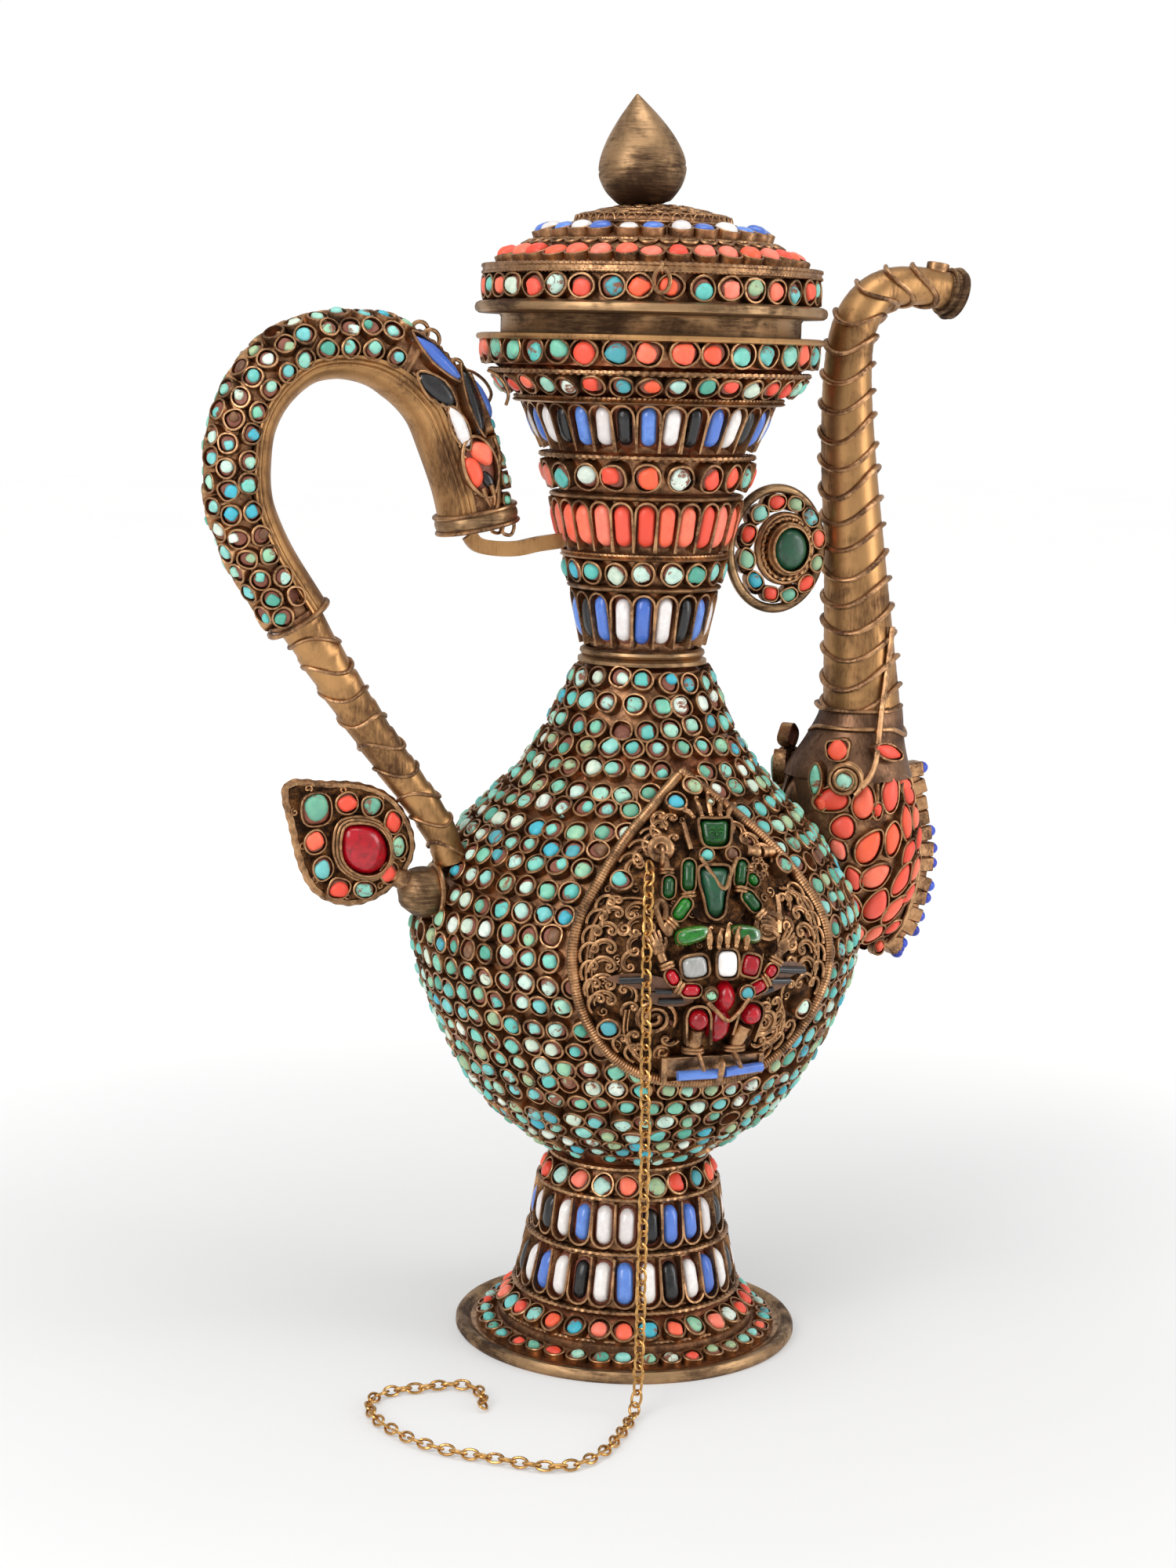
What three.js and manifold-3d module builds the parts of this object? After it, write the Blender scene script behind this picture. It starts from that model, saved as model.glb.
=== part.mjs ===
// A stone-covered copper ewer, in millimetres, +Z up.
// The origin is the middle of the underside of the foot plate. The spout is towards +X, the handle
// towards -X, and the medallion with its two figures faces about -Y.
// Every piece of revolution has the same number of steps round the axis, so that neighbours keep
// an even gap.

import * as THREE from 'three';
import { mergeVertices } from 'three/addons/utils/BufferGeometryUtils.js';
import Module from 'manifold-3d';

const wasm = await Module();
wasm.setup();

// Shared sizes
const SEAT_GAP = 0.3;
const SHEET = 1.2;
const JACKET = 4.5;
const STONE_RISE = 1.7;
const LEDGE_HEIGHT = 2.2;
const CUT_OVERRUN = 4;
const RING_STEPS = 20;

// Foot
const PLATE_RADIUS = 62.9;
const PLATE_THICKNESS = 2.4;
const PLATE_RIM_WIDTH = 5;
const PLATE_RIM_HEIGHT = 4.4;
const FOOT_HEIGHT = 69.6;
const FOOT_TOP_RADIUS = 29.6;
const HEM_RADIUS = 50;
const HEM_HEIGHT = 9;
const HEM_BEAD_RADIUS = 57;
const HEM_BEAD_HEIGHT = 5;

// Vessel
const BODY_HEIGHT = 180.3;
const BODY_RADIUS = 82.5;
const TURQUOISE_ROWS = 20;
const TURQUOISE_GROOVE = 1.5;
const TURQUOISE_PITCH = 8.9;
const COLLAR_HEIGHT = 6.1;
const COLLAR_RADIUS = 22.6;
const COLLAR_GROOVE = 1;

// Neck and mouth
const NECK_HEIGHT = 110.7;
const MOUTH_RADIUS = 62;
const MOUTH_FLANGE = 2.5;
const MOUTH_OVERHANG = 2;

// Lid
const LID_GAP = 7;
const LID_CLEARANCE = 0.8;
const LID_OVERHANG = 2.5;
const LID_FLANGE = 4;
const LID_DRUM_HEIGHT = 9.7;
const LID_WIRE = 2.8;
const LID_DOME_HEIGHT = 20.6;
const LID_CORAL_DEPTH = 5;
const LID_GLASS_DEPTH = 4.4;
const LID_CAP_HEIGHT = 3.4;
const FINIAL_HEIGHT = 38.2;
const FINIAL_RADIUS = 15.5;
const FINIAL_SHIFT = 3.6;
const FINIAL_LEAN_DEGREES = 6;
const LOOP_AZIMUTH_DEGREES = -112;
const STAPLE_REACH = 2.8;
const STAPLE_HALF_HEIGHT = 1.5;
const STAPLE_WIRE = 1;
const STAPLE_STEPS = 6;
const LOOP_WIRE = 0.9;
const LOOP_SEAT_SHARE = 0.32;
const LOOP_HALF_WIDTH = 2.7;
const LOOP_HALF_HEIGHT = 4.3;

// Handle
const HANDLE_REACH = 152;
const HANDLE_RISE = 184.7;
const GRIP_DIAMETER = 15.8;
const GRIP_END_DIAMETER = 11.4;
const GRIP_WALL = 1.4;
const CROOK_WIDTH = 22.4;
const CROOK_DEPTH = 20;
const CROOK_SHEET = 1.4;
const CROOK_STONES = 3.8;
const CASING_HALF_ANGLE_DEGREES = 72;
const CASING_GAP_DEGREES = 2;
const HEAD_WIDTH = 27;
const HEAD_DEPTH = 24;
const HEAD_SHELL = 5;
const JAW_CAP = 3;
const BRACKET_HEIGHT = 6;
const BRACKET_THICKNESS = 3.4;
const SLEEVE_RADIUS = 9.5;
const LEAF_STEM_RADIUS = 4;
const LEAF_STAND = 33.4;
const LEAF_LIFT = 19;
const LEAF_WIDTH = 46;
const LEAF_HEIGHT = 42;
const LEAF_WIRE = 3.2;
const LEAF_PLATE = 2.6;
const LEAF_STONE_RISE = 4;

// Spout
const SPOUT_STAND = 9;
const SPOUT_TO_LID = 18;
const SPOUT_HOOK = 50.5;
const SPOUT_RISE = 152.5;
const SPOUT_FOOT_DIAMETER = 28.6;
const SPOUT_END_DIAMETER = 14;
const SPOUT_LIP_DIAMETER = 18.6;
const SPOUT_WALL = 1.3;
const FUNNEL_HEIGHT = 26;
const FUNNEL_RADIUS = 24.2;
const FUNNEL_TOP_RADIUS = 15.6;
const BULB_HEIGHT = 65;
const BULB_WIDTH = 56;
const BULB_DEPTH = 46;
const PORT_RADIUS = 6;
const CREST_WIDTH = 5;
const CREST_DEPTH = 9;
const CREST_BEADS = 11;
const CREST_BEAD_RISE = 1.6;
const SCROLL_RADIUS = 6.4;
const SCROLL_HEIGHT = 4.4;
const SCROLL_ANGLE_DEGREES = 122;
const ROSETTE_HALF_HEIGHT = 24;
const ROSETTE_RIM = 3.4;
const ROSETTE_PLATE = 2.4;
const ROSETTE_STONE_RADIUS = 8.2;
const ROSETTE_STONE_RISE = 5;

// Medallion
const MEDALLION_AZIMUTH_DEGREES = -95;
const MEDALLION_HALF_WIDTH = 50;
const MEDALLION_HEIGHT = 104;
const MEDALLION_STAND = 1.2;
const MEDALLION_PLATE = 1.3;
const MEDALLION_WIRE = 3.2;
const FIGURE_OFFSET = 3.5;
const FIGURE_WIDTH = 34;
const FIGURE_DEPTH = 9;
const UPPER_FIGURE_HEIGHT = 55;
const LOWER_FIGURE_HEIGHT = 44;
const PLINTH_WIDTH = 38;
const PLINTH_HEIGHT = 8;
const HOOK_RADIUS = 3.6;
const HOOK_WIRE = 1.4;

// Chain
const CHAIN_DIAMETER = 3.7;
const CHAIN_STEPS = 56;
const CHAIN_SIDES = 8;

// Heights and widths that follow from the sizes above
const BODY_BOTTOM = FOOT_HEIGHT + SEAT_GAP;
const BODY_TOP = BODY_BOTTOM + BODY_HEIGHT;
const NECK_BOTTOM = BODY_TOP + COLLAR_HEIGHT;
const MOUTH_TOP = NECK_BOTTOM + NECK_HEIGHT;
const LID_BOTTOM = MOUTH_TOP + LID_GAP;
const DRUM_BOTTOM = LID_BOTTOM + LID_FLANGE;
const DOME_BOTTOM = DRUM_BOTTOM + LID_DRUM_HEIGHT;
const DOME_TOP = DOME_BOTTOM + LID_DOME_HEIGHT;
const MOUTH_ROW_RADIUS = MOUTH_RADIUS - MOUTH_OVERHANG;
const LID_DRUM_RADIUS = MOUTH_ROW_RADIUS;
const LID_RADIUS = LID_DRUM_RADIUS + LID_OVERHANG;
const SPOUT_LEAN = BODY_RADIUS + SPOUT_STAND - LID_RADIUS - SPOUT_TO_LID;

// Where the handle, the spout and the medallion meet the vessel, as shares of its height
const GRIP_FOOT_SHARE = 0.59;
const SLEEVE_SHARE = 0.556;
const BULB_TOP_SHARE = 0.755;
const PORT_SHARE = 0.555;
const MEDALLION_BOTTOM_SHARE = 0.234;
const SEAM_SHARE = 0.456;

// Ledge rings of the foot: share of its height, and of the way from its top radius to its hem
const FOOT_LEDGE_SHARES = [
  { height: 0.984, radius: 0 },
  { height: 0.839, radius: 0.21 },
  { height: 0.562, radius: 0.387 },
  { height: 0.27, radius: 0.618 },
];

// Ledge rings of the neck: share of its height, and of the way from the collar's radius to the mouth's
const NECK_LEDGE_SHARES = [
  { height: 0.2, radius: 0.1345 },
  { height: 0.302, radius: 0.203 },
  { height: 0.493, radius: 0.3147 },
  { height: 0.62, radius: 0.4061 },
  { height: 0.796, radius: 0.6648 },
  { height: 0.883, radius: 0.8804 },
];

// Rows of set stones: how many stones, and whether they are round studs or upright rods
const FOOT_ROWS = [
  { name: 'foot_row_round_top', count: 20, kind: 'stud' },
  { name: 'foot_row_rods_upper', count: 25, kind: 'rod' },
  { name: 'foot_row_rods_lower', count: 28, kind: 'rod' },
];
const NECK_ROWS = [
  { name: 'neck_row_rods_bottom', count: 19, kind: 'rod' },
  { name: 'neck_row_turquoise', count: 18, kind: 'stud' },
  { name: 'neck_row_coral_rods', count: 26, kind: 'rod' },
  { name: 'neck_row_round_mixed', count: 20, kind: 'stud' },
  { name: 'neck_row_rods_flared', count: 32, kind: 'rod' },
  { name: 'neck_row_under_mouth', count: 33, kind: 'stud' },
];
const FOOT_HEM_COUNT = 32;
const HEM_BEAD_COUNT = 48;
const MOUTH_ROW_COUNT = 34;
const LID_DRUM_COUNT = 36;
const LID_CORAL_COUNT = 39;
const LID_GLASS_COUNT = 32;

// Outline of the vessel over its stones: share of its greatest radius, and of its height
const BODY_SHARES = [
  [0.358, 0], [0.436, 0.022], [0.552, 0.061], [0.67, 0.111], [0.785, 0.183], [0.861, 0.25],
  [0.939, 0.333], [0.985, 0.406], [1, 0.456], [0.97, 0.528], [0.895, 0.6], [0.795, 0.667],
  [0.697, 0.717], [0.57, 0.778], [0.492, 0.823], [0.422, 0.878], [0.352, 0.945], [0.305, 1],
];

// Outline of the lid's dome: share of the drum's sheet radius, and of the dome's height
const DOME_SHARES = [
  [1, 0], [0.965, 0.13], [0.86, 0.4], [0.72, 0.61], [0.52, 0.82], [0.25, 0.96], [0, 1],
];

// Where the rings of stones lie along the dome's outline
const CORAL_SPAN_SHARES = [0.06, 0.38];
const GLASS_SPAN_SHARES = [0.43, 0.64];
const CAP_SPAN_SHARES = [0.69, 1];

// Outline of the onion finial: share of its greatest radius, and of its height
const FINIAL_SHARES = [
  [0.42, 0], [0.62, 0.03], [0.86, 0.14], [0.985, 0.26], [1, 0.35], [0.93, 0.47], [0.75, 0.62],
  [0.5, 0.77], [0.26, 0.89], [0.07, 0.975],
];

// Centre line of the handle from the vessel up, over and down to the jaw: share of the way out to the
// handle's reach, from a line that curves from the vessel's side to the lid's edge, and of the rise
const HANDLE_SHARES = [
  [-0.026, 0.023], [0.021, 0.074], [0.107, 0.131], [0.234, 0.201], [0.427, 0.31], [0.593, 0.41],
  [0.743, 0.507], [0.876, 0.594], [0.951, 0.659], [0.991, 0.713], [1, 0.778], [0.977, 0.859],
  [0.896, 0.93], [0.762, 0.984], [0.605, 1], [0.446, 0.992], [0.305, 0.959], [0.179, 0.903],
  [0.087, 0.827], [0.003, 0.745], [-0.055, 0.665],
];
const GRIP_SPAN_SHARE = 0.335;
const HEAD_SPAN_SHARE = 0.79;
const HEAD_BLEND_SHARE = 0.08;
const BOW_STEPS = 13;
const HEAD_STEPS = 5;

// Line of the bracket from under the jaw to the neck: share of the way, and sag against its height
const BRACKET_SHARES = [[-0.08, 0], [0.12, 0.5], [0.35, 0.5], [0.7, 0.25], [1, 0]];
const BRACKET_SEAT_SHARE = 0.27;
const BRACKET_DROP_SHARE = 0.56;

// Outline of the leaf with its tip up and outwards: shares of its width and height
const LEAF_SHARES = [
  [-0.5, 0.5], [-0.2, 0.5], [0.065, 0.476], [0.3, 0.37], [0.45, 0.16], [0.5, -0.07], [0.42, -0.27],
  [0.24, -0.44], [0, -0.5], [-0.24, -0.4], [-0.37, -0.18], [-0.45, 0.15],
];

const LEAF_STONE_SHARE = 0.44;
const LEAF_STONE_SHIFT_SHARE = 0.12;
const LEAF_STEPS = 20;
const LEAF_SEAT_STEP = 10;
const SLEEVE_FLARE_SHARE = 0.3;

// Centre line of the spout above its funnel: shares of its backward lean, forward hook and rise
const SPOUT_SHARES = [
  { lean: 0, hook: 0, rise: 0, width: 1 },
  { lean: 0.46, hook: 0, rise: 0.34, width: 0.61 },
  { lean: 0.86, hook: 0, rise: 0.6, width: 0.42 },
  { lean: 1, hook: 0, rise: 0.79, width: 0.26 },
  { lean: 1, hook: 0.04, rise: 0.9, width: 0.18 },
  { lean: 1, hook: 0.16, rise: 0.965, width: 0.12 },
  { lean: 1, hook: 0.32, rise: 0.997, width: 0.04 },
  { lean: 1, hook: 0.52, rise: 1.005, width: 0 },
  { lean: 1, hook: 0.72, rise: 1, width: 0 },
  { lean: 1, hook: 0.9, rise: 0.985, width: 0 },
];

// Outline of the spout's bulb from its foot up: share of its height, sideways shift of its middle
// against the spout's foot and its own width, both as shares of its greatest width, and its depth
const BULB_SHARES = [
  { height: 0, shift: 0.13, width: 0.24, depth: 0.3 },
  { height: 0.1, shift: 0.05, width: 0.62, depth: 0.58 },
  { height: 0.29, shift: 0.02, width: 0.84, depth: 0.82 },
  { height: 0.48, shift: -0.02, width: 0.98, depth: 0.96 },
  { height: 0.68, shift: -0.06, width: 1, depth: 1 },
  { height: 0.88, shift: -0.08, width: 0.96, depth: 1 },
  { height: 1, shift: -0.08, width: 0.88, depth: 0.98 },
];

const SPOUT_STEPS = 14;

// Outline of the funnel from the bulb up: share of its height, of its narrowing, and of the way that
// its middle moves from the bulb's middle to the spout's
const FUNNEL_SHARES = [
  { up: 0, narrow: 0, across: 0 },
  { up: 0.14, narrow: 0.14, across: 0 },
  { up: 0.5, narrow: 0.62, across: 0.5 },
  { up: 0.86, narrow: 0.95, across: 1 },
  { up: 1, narrow: 1, across: 1 },
];
const CREST_FOOT_SHARE = 0.5;
const ROSETTE_SEAT_SHARE = 0.07;
const ROSETTE_TOUCH_SHARE = 0.22;
const ROSETTE_COLLAR_SHARE = 1.35;
const ROSETTE_STEPS = 18;

// Outline of the medallion from its apex down one side: share of half its width, and of its height
const MEDALLION_SHARES = [
  [0, 1], [0.2, 0.925], [0.52, 0.8], [0.76, 0.675], [0.93, 0.565], [1, 0.45], [0.97, 0.33],
  [0.85, 0.205], [0.63, 0.09], [0.34, 0.02], [0, 0],
];

// Pieces of each figure as boxes that its rounded parts fill: middle and half sizes, as shares of
// the figure's width, depth and height
const UPPER_FIGURE_PARTS_SHARES = [
  { at: [0, 0.3, 0.5], half: [0.2, 0.3, 0.5] },
  { at: [0, 0.5, 0.1], half: [0.5, 0.5, 0.1] },
  { at: [0, 0.5, 0.36], half: [0.22, 0.45, 0.24] },
  { at: [0, 0.55, 0.7], half: [0.16, 0.5, 0.12] },
  { at: [0, 0.45, 0.88], half: [0.19, 0.4, 0.12] },
  { at: [-0.3, 0.45, 0.5], half: [0.2, 0.3, 0.08] },
  { at: [-0.47, 0.5, 0.54], half: [0.09, 0.25, 0.05] },
  { at: [0.3, 0.45, 0.5], half: [0.2, 0.3, 0.08] },
  { at: [-0.42, 0.5, 0.34], half: [0.1, 0.35, 0.18] },
  { at: [0.42, 0.5, 0.34], half: [0.1, 0.35, 0.18] },
];
const LOWER_FIGURE_PARTS_SHARES = [
  { at: [0, 0.3, 0.5], half: [0.25, 0.3, 0.5] },
  { at: [0, 0.6, 0.36], half: [0.2, 0.6, 0.24] },
  { at: [0, 0.6, 0.73], half: [0.17, 0.55, 0.14] },
  { at: [0, 0.5, 0.92], half: [0.18, 0.4, 0.1] },
  { at: [-0.3, 0.5, 0.52], half: [0.16, 0.4, 0.16] },
  { at: [0.3, 0.5, 0.52], half: [0.16, 0.4, 0.16] },
  { at: [-0.22, 0.6, 0.16], half: [0.12, 0.45, 0.2] },
  { at: [0.22, 0.6, 0.16], half: [0.12, 0.45, 0.2] },
];
const MEDALLION_MIDDLE_SHARE = 0.45;
const MEDALLION_STEPS = 11;
const MEDALLION_SCALE_SHARES = [0.22, 0.44, 0.63, 0.82, 1];
const FIGURE_PARTING = 1.6;
const FIGURE_SINK = 4;
const UPRIGHT_SHARE = 0.84;
const HOOK_PLACE_SHARES = [-0.58, 0.5, 0.56];

// Route of the chain: from its hook, over the vessel's widest part, down to the table and along it
const CHAIN_ROUTE = [
  [-27.1, -68.8, 189.8], [-29.4, -73.3, 185.6], [-31.6, -77.8, 178.5], [-32.9, -80.5, 171],
  [-33.6, -81.9, 161.9], [-33.7, -82.4, 149.9], [-33.3, -82.5, 133.7], [-33.2, -82.6, 117.4],
  [-32.8, -82.8, 101], [-32.6, -82.9, 80.1], [-32.7, -82.8, 56.8], [-32.6, -82.8, 32],
  [-32.8, -82.8, 16], [-33.6, -84, 8], [-37, -88.6, 2.7], [-45.1, -98.7, 2], [-56.3, -111.3, 2],
  [-63.4, -116.5, 2], [-71.1, -120.5, 2], [-78.9, -120.3, 2], [-85.5, -116.5, 2],
  [-92.2, -109.8, 2], [-98.6, -103.8, 2], [-104.7, -98, 2], [-110.3, -91.1, 2],
  [-115, -82.5, 2], [-118.4, -72, 2], [-120.2, -62, 2], [-119.2, -51.2, 2], [-115.2, -43, 2],
  [-109.4, -39.4, 2], [-103, -38.4, 2], [-95.5, -39.6, 2], [-87.4, -39.4, 2],
  [-80.2, -42.6, 2], [-78.2, -51.8, 2], [-82.6, -63.7, 2],
];

const RADIANS = Math.PI / 180;

// Finish of each material as it shows
const FINISHES = {
  brass: { color: 0x7a6142, roughness: 0.45, metalness: 0.9 },
  copper: { color: 0x8a5a3c, roughness: 0.5, metalness: 0.9 },
  turquoise: { color: 0x7fc8b8, roughness: 0.4, metalness: 0 },
  coral: { color: 0xe0604a, roughness: 0.35, metalness: 0 },
  enamel: { color: 0x6f86c4, roughness: 0.25, metalness: 0 },
  red: { color: 0xb01028, roughness: 0.15, metalness: 0 },
  green: { color: 0x1f5c38, roughness: 0.2, metalness: 0 },
  lapis: { color: 0x2a3fb0, roughness: 0.3, metalness: 0 },
  chain: { color: 0xb8965a, roughness: 0.35, metalness: 1 },
};

// One shared vertex for each corner, and no face that has closed up to a line
function clean(geometry) {
  geometry.deleteAttribute('normal');
  geometry.deleteAttribute('uv');
  const merged = mergeVertices(geometry);
  const corners = merged.index.array;
  const kept = [];
  for (let i = 0; i < corners.length; i += 3) {
    const [a, b, c] = [corners[i], corners[i + 1], corners[i + 2]];
    if (a !== b && b !== c && c !== a) kept.push(a, b, c);
  }
  merged.setIndex(kept);
  return facingOut(merged);
}

// Turns every face over where the enclosed volume comes out negative
function facingOut(geometry) {
  const place = geometry.attributes.position;
  const corners = geometry.index.array;
  const [a, b, c] = [new THREE.Vector3(), new THREE.Vector3(), new THREE.Vector3()];
  let volume = 0;
  for (let i = 0; i < corners.length; i += 3) {
    a.fromBufferAttribute(place, corners[i]);
    b.fromBufferAttribute(place, corners[i + 1]);
    c.fromBufferAttribute(place, corners[i + 2]);
    volume += a.dot(b.cross(c));
  }
  if (volume < 0) geometry.setIndex(Array.from(corners).reverse());
  return geometry;
}

function meshFrom(points, faces) {
  const geometry = new THREE.BufferGeometry();
  geometry.setAttribute('position', new THREE.Float32BufferAttribute(points.flat(), 3));
  geometry.setIndex(faces);
  return clean(geometry);
}

function toSolid(geometry) {
  const closed = clean(geometry.clone());
  const vertProperties = new Float32Array(closed.attributes.position.array);
  const triVerts = new Uint32Array(closed.index.array);
  return new wasm.Manifold(new wasm.Mesh({ numProp: 3, vertProperties, triVerts }));
}

function fromSolid(solid) {
  const { vertProperties, triVerts } = solid.getMesh();
  const geometry = new THREE.BufferGeometry();
  geometry.setAttribute('position', new THREE.BufferAttribute(vertProperties, 3));
  geometry.setIndex(Array.from(triVerts));
  return geometry;
}

function joined(geometries) {
  return fromSolid(geometries.map(toSolid).reduce((whole, piece) => whole.add(piece)));
}

function cut(geometry, ...cutters) {
  return fromSolid(cutters.map(toSolid).reduce((rest, cutter) => rest.subtract(cutter), toSolid(geometry)));
}

// Faces between two rings of points, which may have different counts
function strip(lower, upper, faces) {
  let i = 0;
  let j = 0;
  while (i < lower.length || j < upper.length) {
    const lowerTurn = (i + 1) / lower.length;
    const upperTurn = (j + 1) / upper.length;
    if (j >= upper.length || (i < lower.length && lowerTurn <= upperTurn)) {
      faces.push(lower[i % lower.length], lower[(i + 1) % lower.length], upper[j % upper.length]);
      i += 1;
    } else {
      faces.push(lower[i % lower.length], upper[(j + 1) % upper.length], upper[j % upper.length]);
      j += 1;
    }
  }
}

// Joins rings of points in their order. A wheel runs back to its first ring, a bar has flat ends.
function stitch(rings, isWheel) {
  const points = rings.flat();
  const faces = [];
  let count = 0;
  const numbered = rings.map((ring) => ring.map(() => count++));
  numbered.forEach((ring, k) => {
    if (isWheel || k + 1 < numbered.length) strip(ring, numbered[(k + 1) % numbered.length], faces);
  });
  return { points, faces, numbered };
}

// A closed ring about the upright axis, from levels of a radius and a height
function band(levels) {
  const { points, faces } = stitch(levels.map(pointsAtLevel), true);
  return meshFrom(points, faces);
}

// The points of one level: plain, or with one raised point for each stone
function pointsAtLevel({ radius, height, count = 0, rise = [0, 0] }) {
  const steps = count || RING_STEPS;
  const points = [];
  for (let k = 0; k < steps; k += 1) {
    points.push(polar(radius, k / steps, height));
    if (count) points.push(polar(radius + rise[0], (k + 0.5) / steps, height + rise[1]));
  }
  return points;
}

function polar(radius, turn, height) {
  const angle = 2 * Math.PI * turn;
  return [radius * Math.cos(angle), radius * Math.sin(angle), height];
}

// A turned piece from its closed outline of radius and height pairs
function revolve(outline, steps = RING_STEPS) {
  const profile = [...outline, outline[0]].map(([radius, height]) => new THREE.Vector2(radius, height));
  return clean(new THREE.LatheGeometry(profile, steps).rotateX(Math.PI / 2));
}

// The outline moved to its left by the distance, with mitred corners
function offset(outline, distance) {
  return outline.map(([x, y], k) => {
    const [before, after] = [outline[Math.max(k - 1, 0)], outline[Math.min(k + 1, outline.length - 1)]];
    const arriving = unit(x - before[0], y - before[1], after[0] - x, after[1] - y);
    const leaving = unit(after[0] - x, after[1] - y, x - before[0], y - before[1]);
    const middle = unit(arriving[0] + leaving[0], arriving[1] + leaving[1], 1, 0);
    const reach = distance / (middle[0] * leaving[0] + middle[1] * leaving[1]);
    return [x - middle[1] * reach, y + middle[0] * reach];
  });
}

// A direction of length one, or the spare direction where the first has no length
function unit(x, y, spareX, spareY) {
  const length = Math.hypot(x, y);
  return length > 0 ? [x / length, y / length] : unit(spareX, spareY, 1, 0);
}

function smooth(outline, steps) {
  const curve = new THREE.SplineCurve(outline.map(([x, y]) => new THREE.Vector2(x, y)));
  return curve.getSpacedPoints(steps).map((point) => [point.x, point.y]);
}

function between(from, to, share) {
  return from + (to - from) * share;
}

// Reads a table of shares of radius and height in real sizes
function sized(shares, radius, bottom, height) {
  return shares.map(([across, up]) => [across * radius, bottom + up * height]);
}

function radiusOn(outline, height) {
  const next = Math.max(1, outline.findIndex((point) => point[1] >= height));
  const [lower, upper] = [outline[next - 1], outline[next]];
  return between(lower[0], upper[0], (height - lower[1]) / (upper[1] - lower[1]));
}

const bodyOutline = smooth(sized(BODY_SHARES, BODY_RADIUS, BODY_BOTTOM, BODY_HEIGHT), 2 * TURQUOISE_ROWS);

function bodyHeightAt(share) {
  return between(BODY_BOTTOM, BODY_TOP, share);
}

// Everything inside the vessel's stones, grown by the seat gap: what the attached pieces are cut by
function bodyEnvelope() {
  const grown = offset(bodyOutline, -SEAT_GAP);
  return revolve([[0, BODY_BOTTOM], ...grown, [0, BODY_TOP]]);
}

// Sections of a bar that follows a path in the upright plane of handle and spout. Each gives its
// points as the distance to the path's right and the distance to the back.
function roundSection(sides) {
  return ({ width, depth }) => arc(width, depth, 0, 2 * Math.PI * (1 - 1 / sides), sides - 1);
}

function arc(width, depth, from, to, steps) {
  const points = [];
  for (let k = 0; k <= steps; k += 1) {
    const angle = between(from, to, k / steps);
    points.push([(width / 2) * Math.cos(angle), (depth / 2) * Math.sin(angle)]);
  }
  return points;
}

function shellSection(from, to, steps, wall) {
  return ({ width, depth }) => [
    ...arc(width, depth, from, to, steps),
    ...arc(width - 2 * wall, depth - 2 * wall, to, from, steps),
  ];
}

function sectionRings(stations, sectionOf) {
  return stations.map((station, k) => {
    const before = stations[Math.max(k - 1, 0)];
    const after = stations[Math.min(k + 1, stations.length - 1)];
    const [alongX, alongZ] = station.along || unit(after.x - before.x, after.z - before.z, 0, 1);
    return sectionOf(station, k).map(([right, back]) => [
      station.x + right * alongZ,
      back,
      station.z - right * alongX,
    ]);
  });
}

// A solid bar through the stations
function sweep(stations, sectionOf) {
  const { points, faces, numbered } = stitch(sectionRings(stations, sectionOf), false);
  const ends = [[numbered[0], sectionOf(stations[0], 0), true]];
  const last = stations.length - 1;
  ends.push([numbered[last], sectionOf(stations[last], last), false]);
  ends.forEach(([ring, section, isStart]) => {
    const contour = section.map(([x, y]) => new THREE.Vector2(x, y));
    THREE.ShapeUtils.triangulateShape(contour, []).forEach(([a, b, c]) => {
      const isLeftTurn = THREE.ShapeUtils.area([contour[a], contour[b], contour[c]]) > 0;
      faces.push(...(isLeftTurn === isStart ? [ring[a], ring[c], ring[b]] : [ring[a], ring[b], ring[c]]));
    });
  });
  return meshFrom(points, faces);
}

// A tube through the stations that is open at both ends
function pipe(stations, sides, wall) {
  const outer = sectionRings(stations, roundSection(sides));
  const bored = stations.map((s) => ({ ...s, width: s.width - 2 * wall, depth: s.depth - 2 * wall }));
  const inner = sectionRings(bored, roundSection(sides)).reverse();
  const { points, faces } = stitch([...outer, ...inner], true);
  return meshFrom(points, faces);
}

// Stations at even steps of a path, with width and depth read from functions of the share
function stationsAlong(curve, from, to, steps, widthAt, depthAt) {
  const stations = [];
  for (let k = 0; k <= steps; k += 1) {
    const share = between(from, to, k / steps);
    const point = curve.getPointAt(share);
    const tangent = curve.getTangentAt(share);
    const along = [tangent.x, tangent.z];
    stations.push({ x: point.x, z: point.z, width: widthAt(share), depth: depthAt(share), along });
  }
  return stations;
}

// A round wire along a closed line of points, each with the direction that its section faces
function closedWire(points, facings, radius, sides) {
  const rings = points.map((point, k) => {
    const after = points[(k + 1) % points.length];
    const before = points[(k + points.length - 1) % points.length];
    const along = after.clone().sub(before).normalize();
    const side = along.clone().cross(facings[k]).normalize();
    const facing = side.clone().cross(along);
    return Array.from({ length: sides }, (_, step) => {
      const angle = (2 * Math.PI * step) / sides;
      const reach = facing.clone().multiplyScalar(radius * Math.cos(angle));
      return point.clone().add(reach).addScaledVector(side, radius * Math.sin(angle)).toArray();
    });
  });
  const { points: corners, faces } = stitch(rings, true);
  return meshFrom(corners, faces);
}

// Foot
function footLedges() {
  return FOOT_LEDGE_SHARES.map(({ height, radius }) => ({
    height: FOOT_HEIGHT * height,
    radius: between(FOOT_TOP_RADIUS, HEM_RADIUS, radius),
  }));
}

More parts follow.
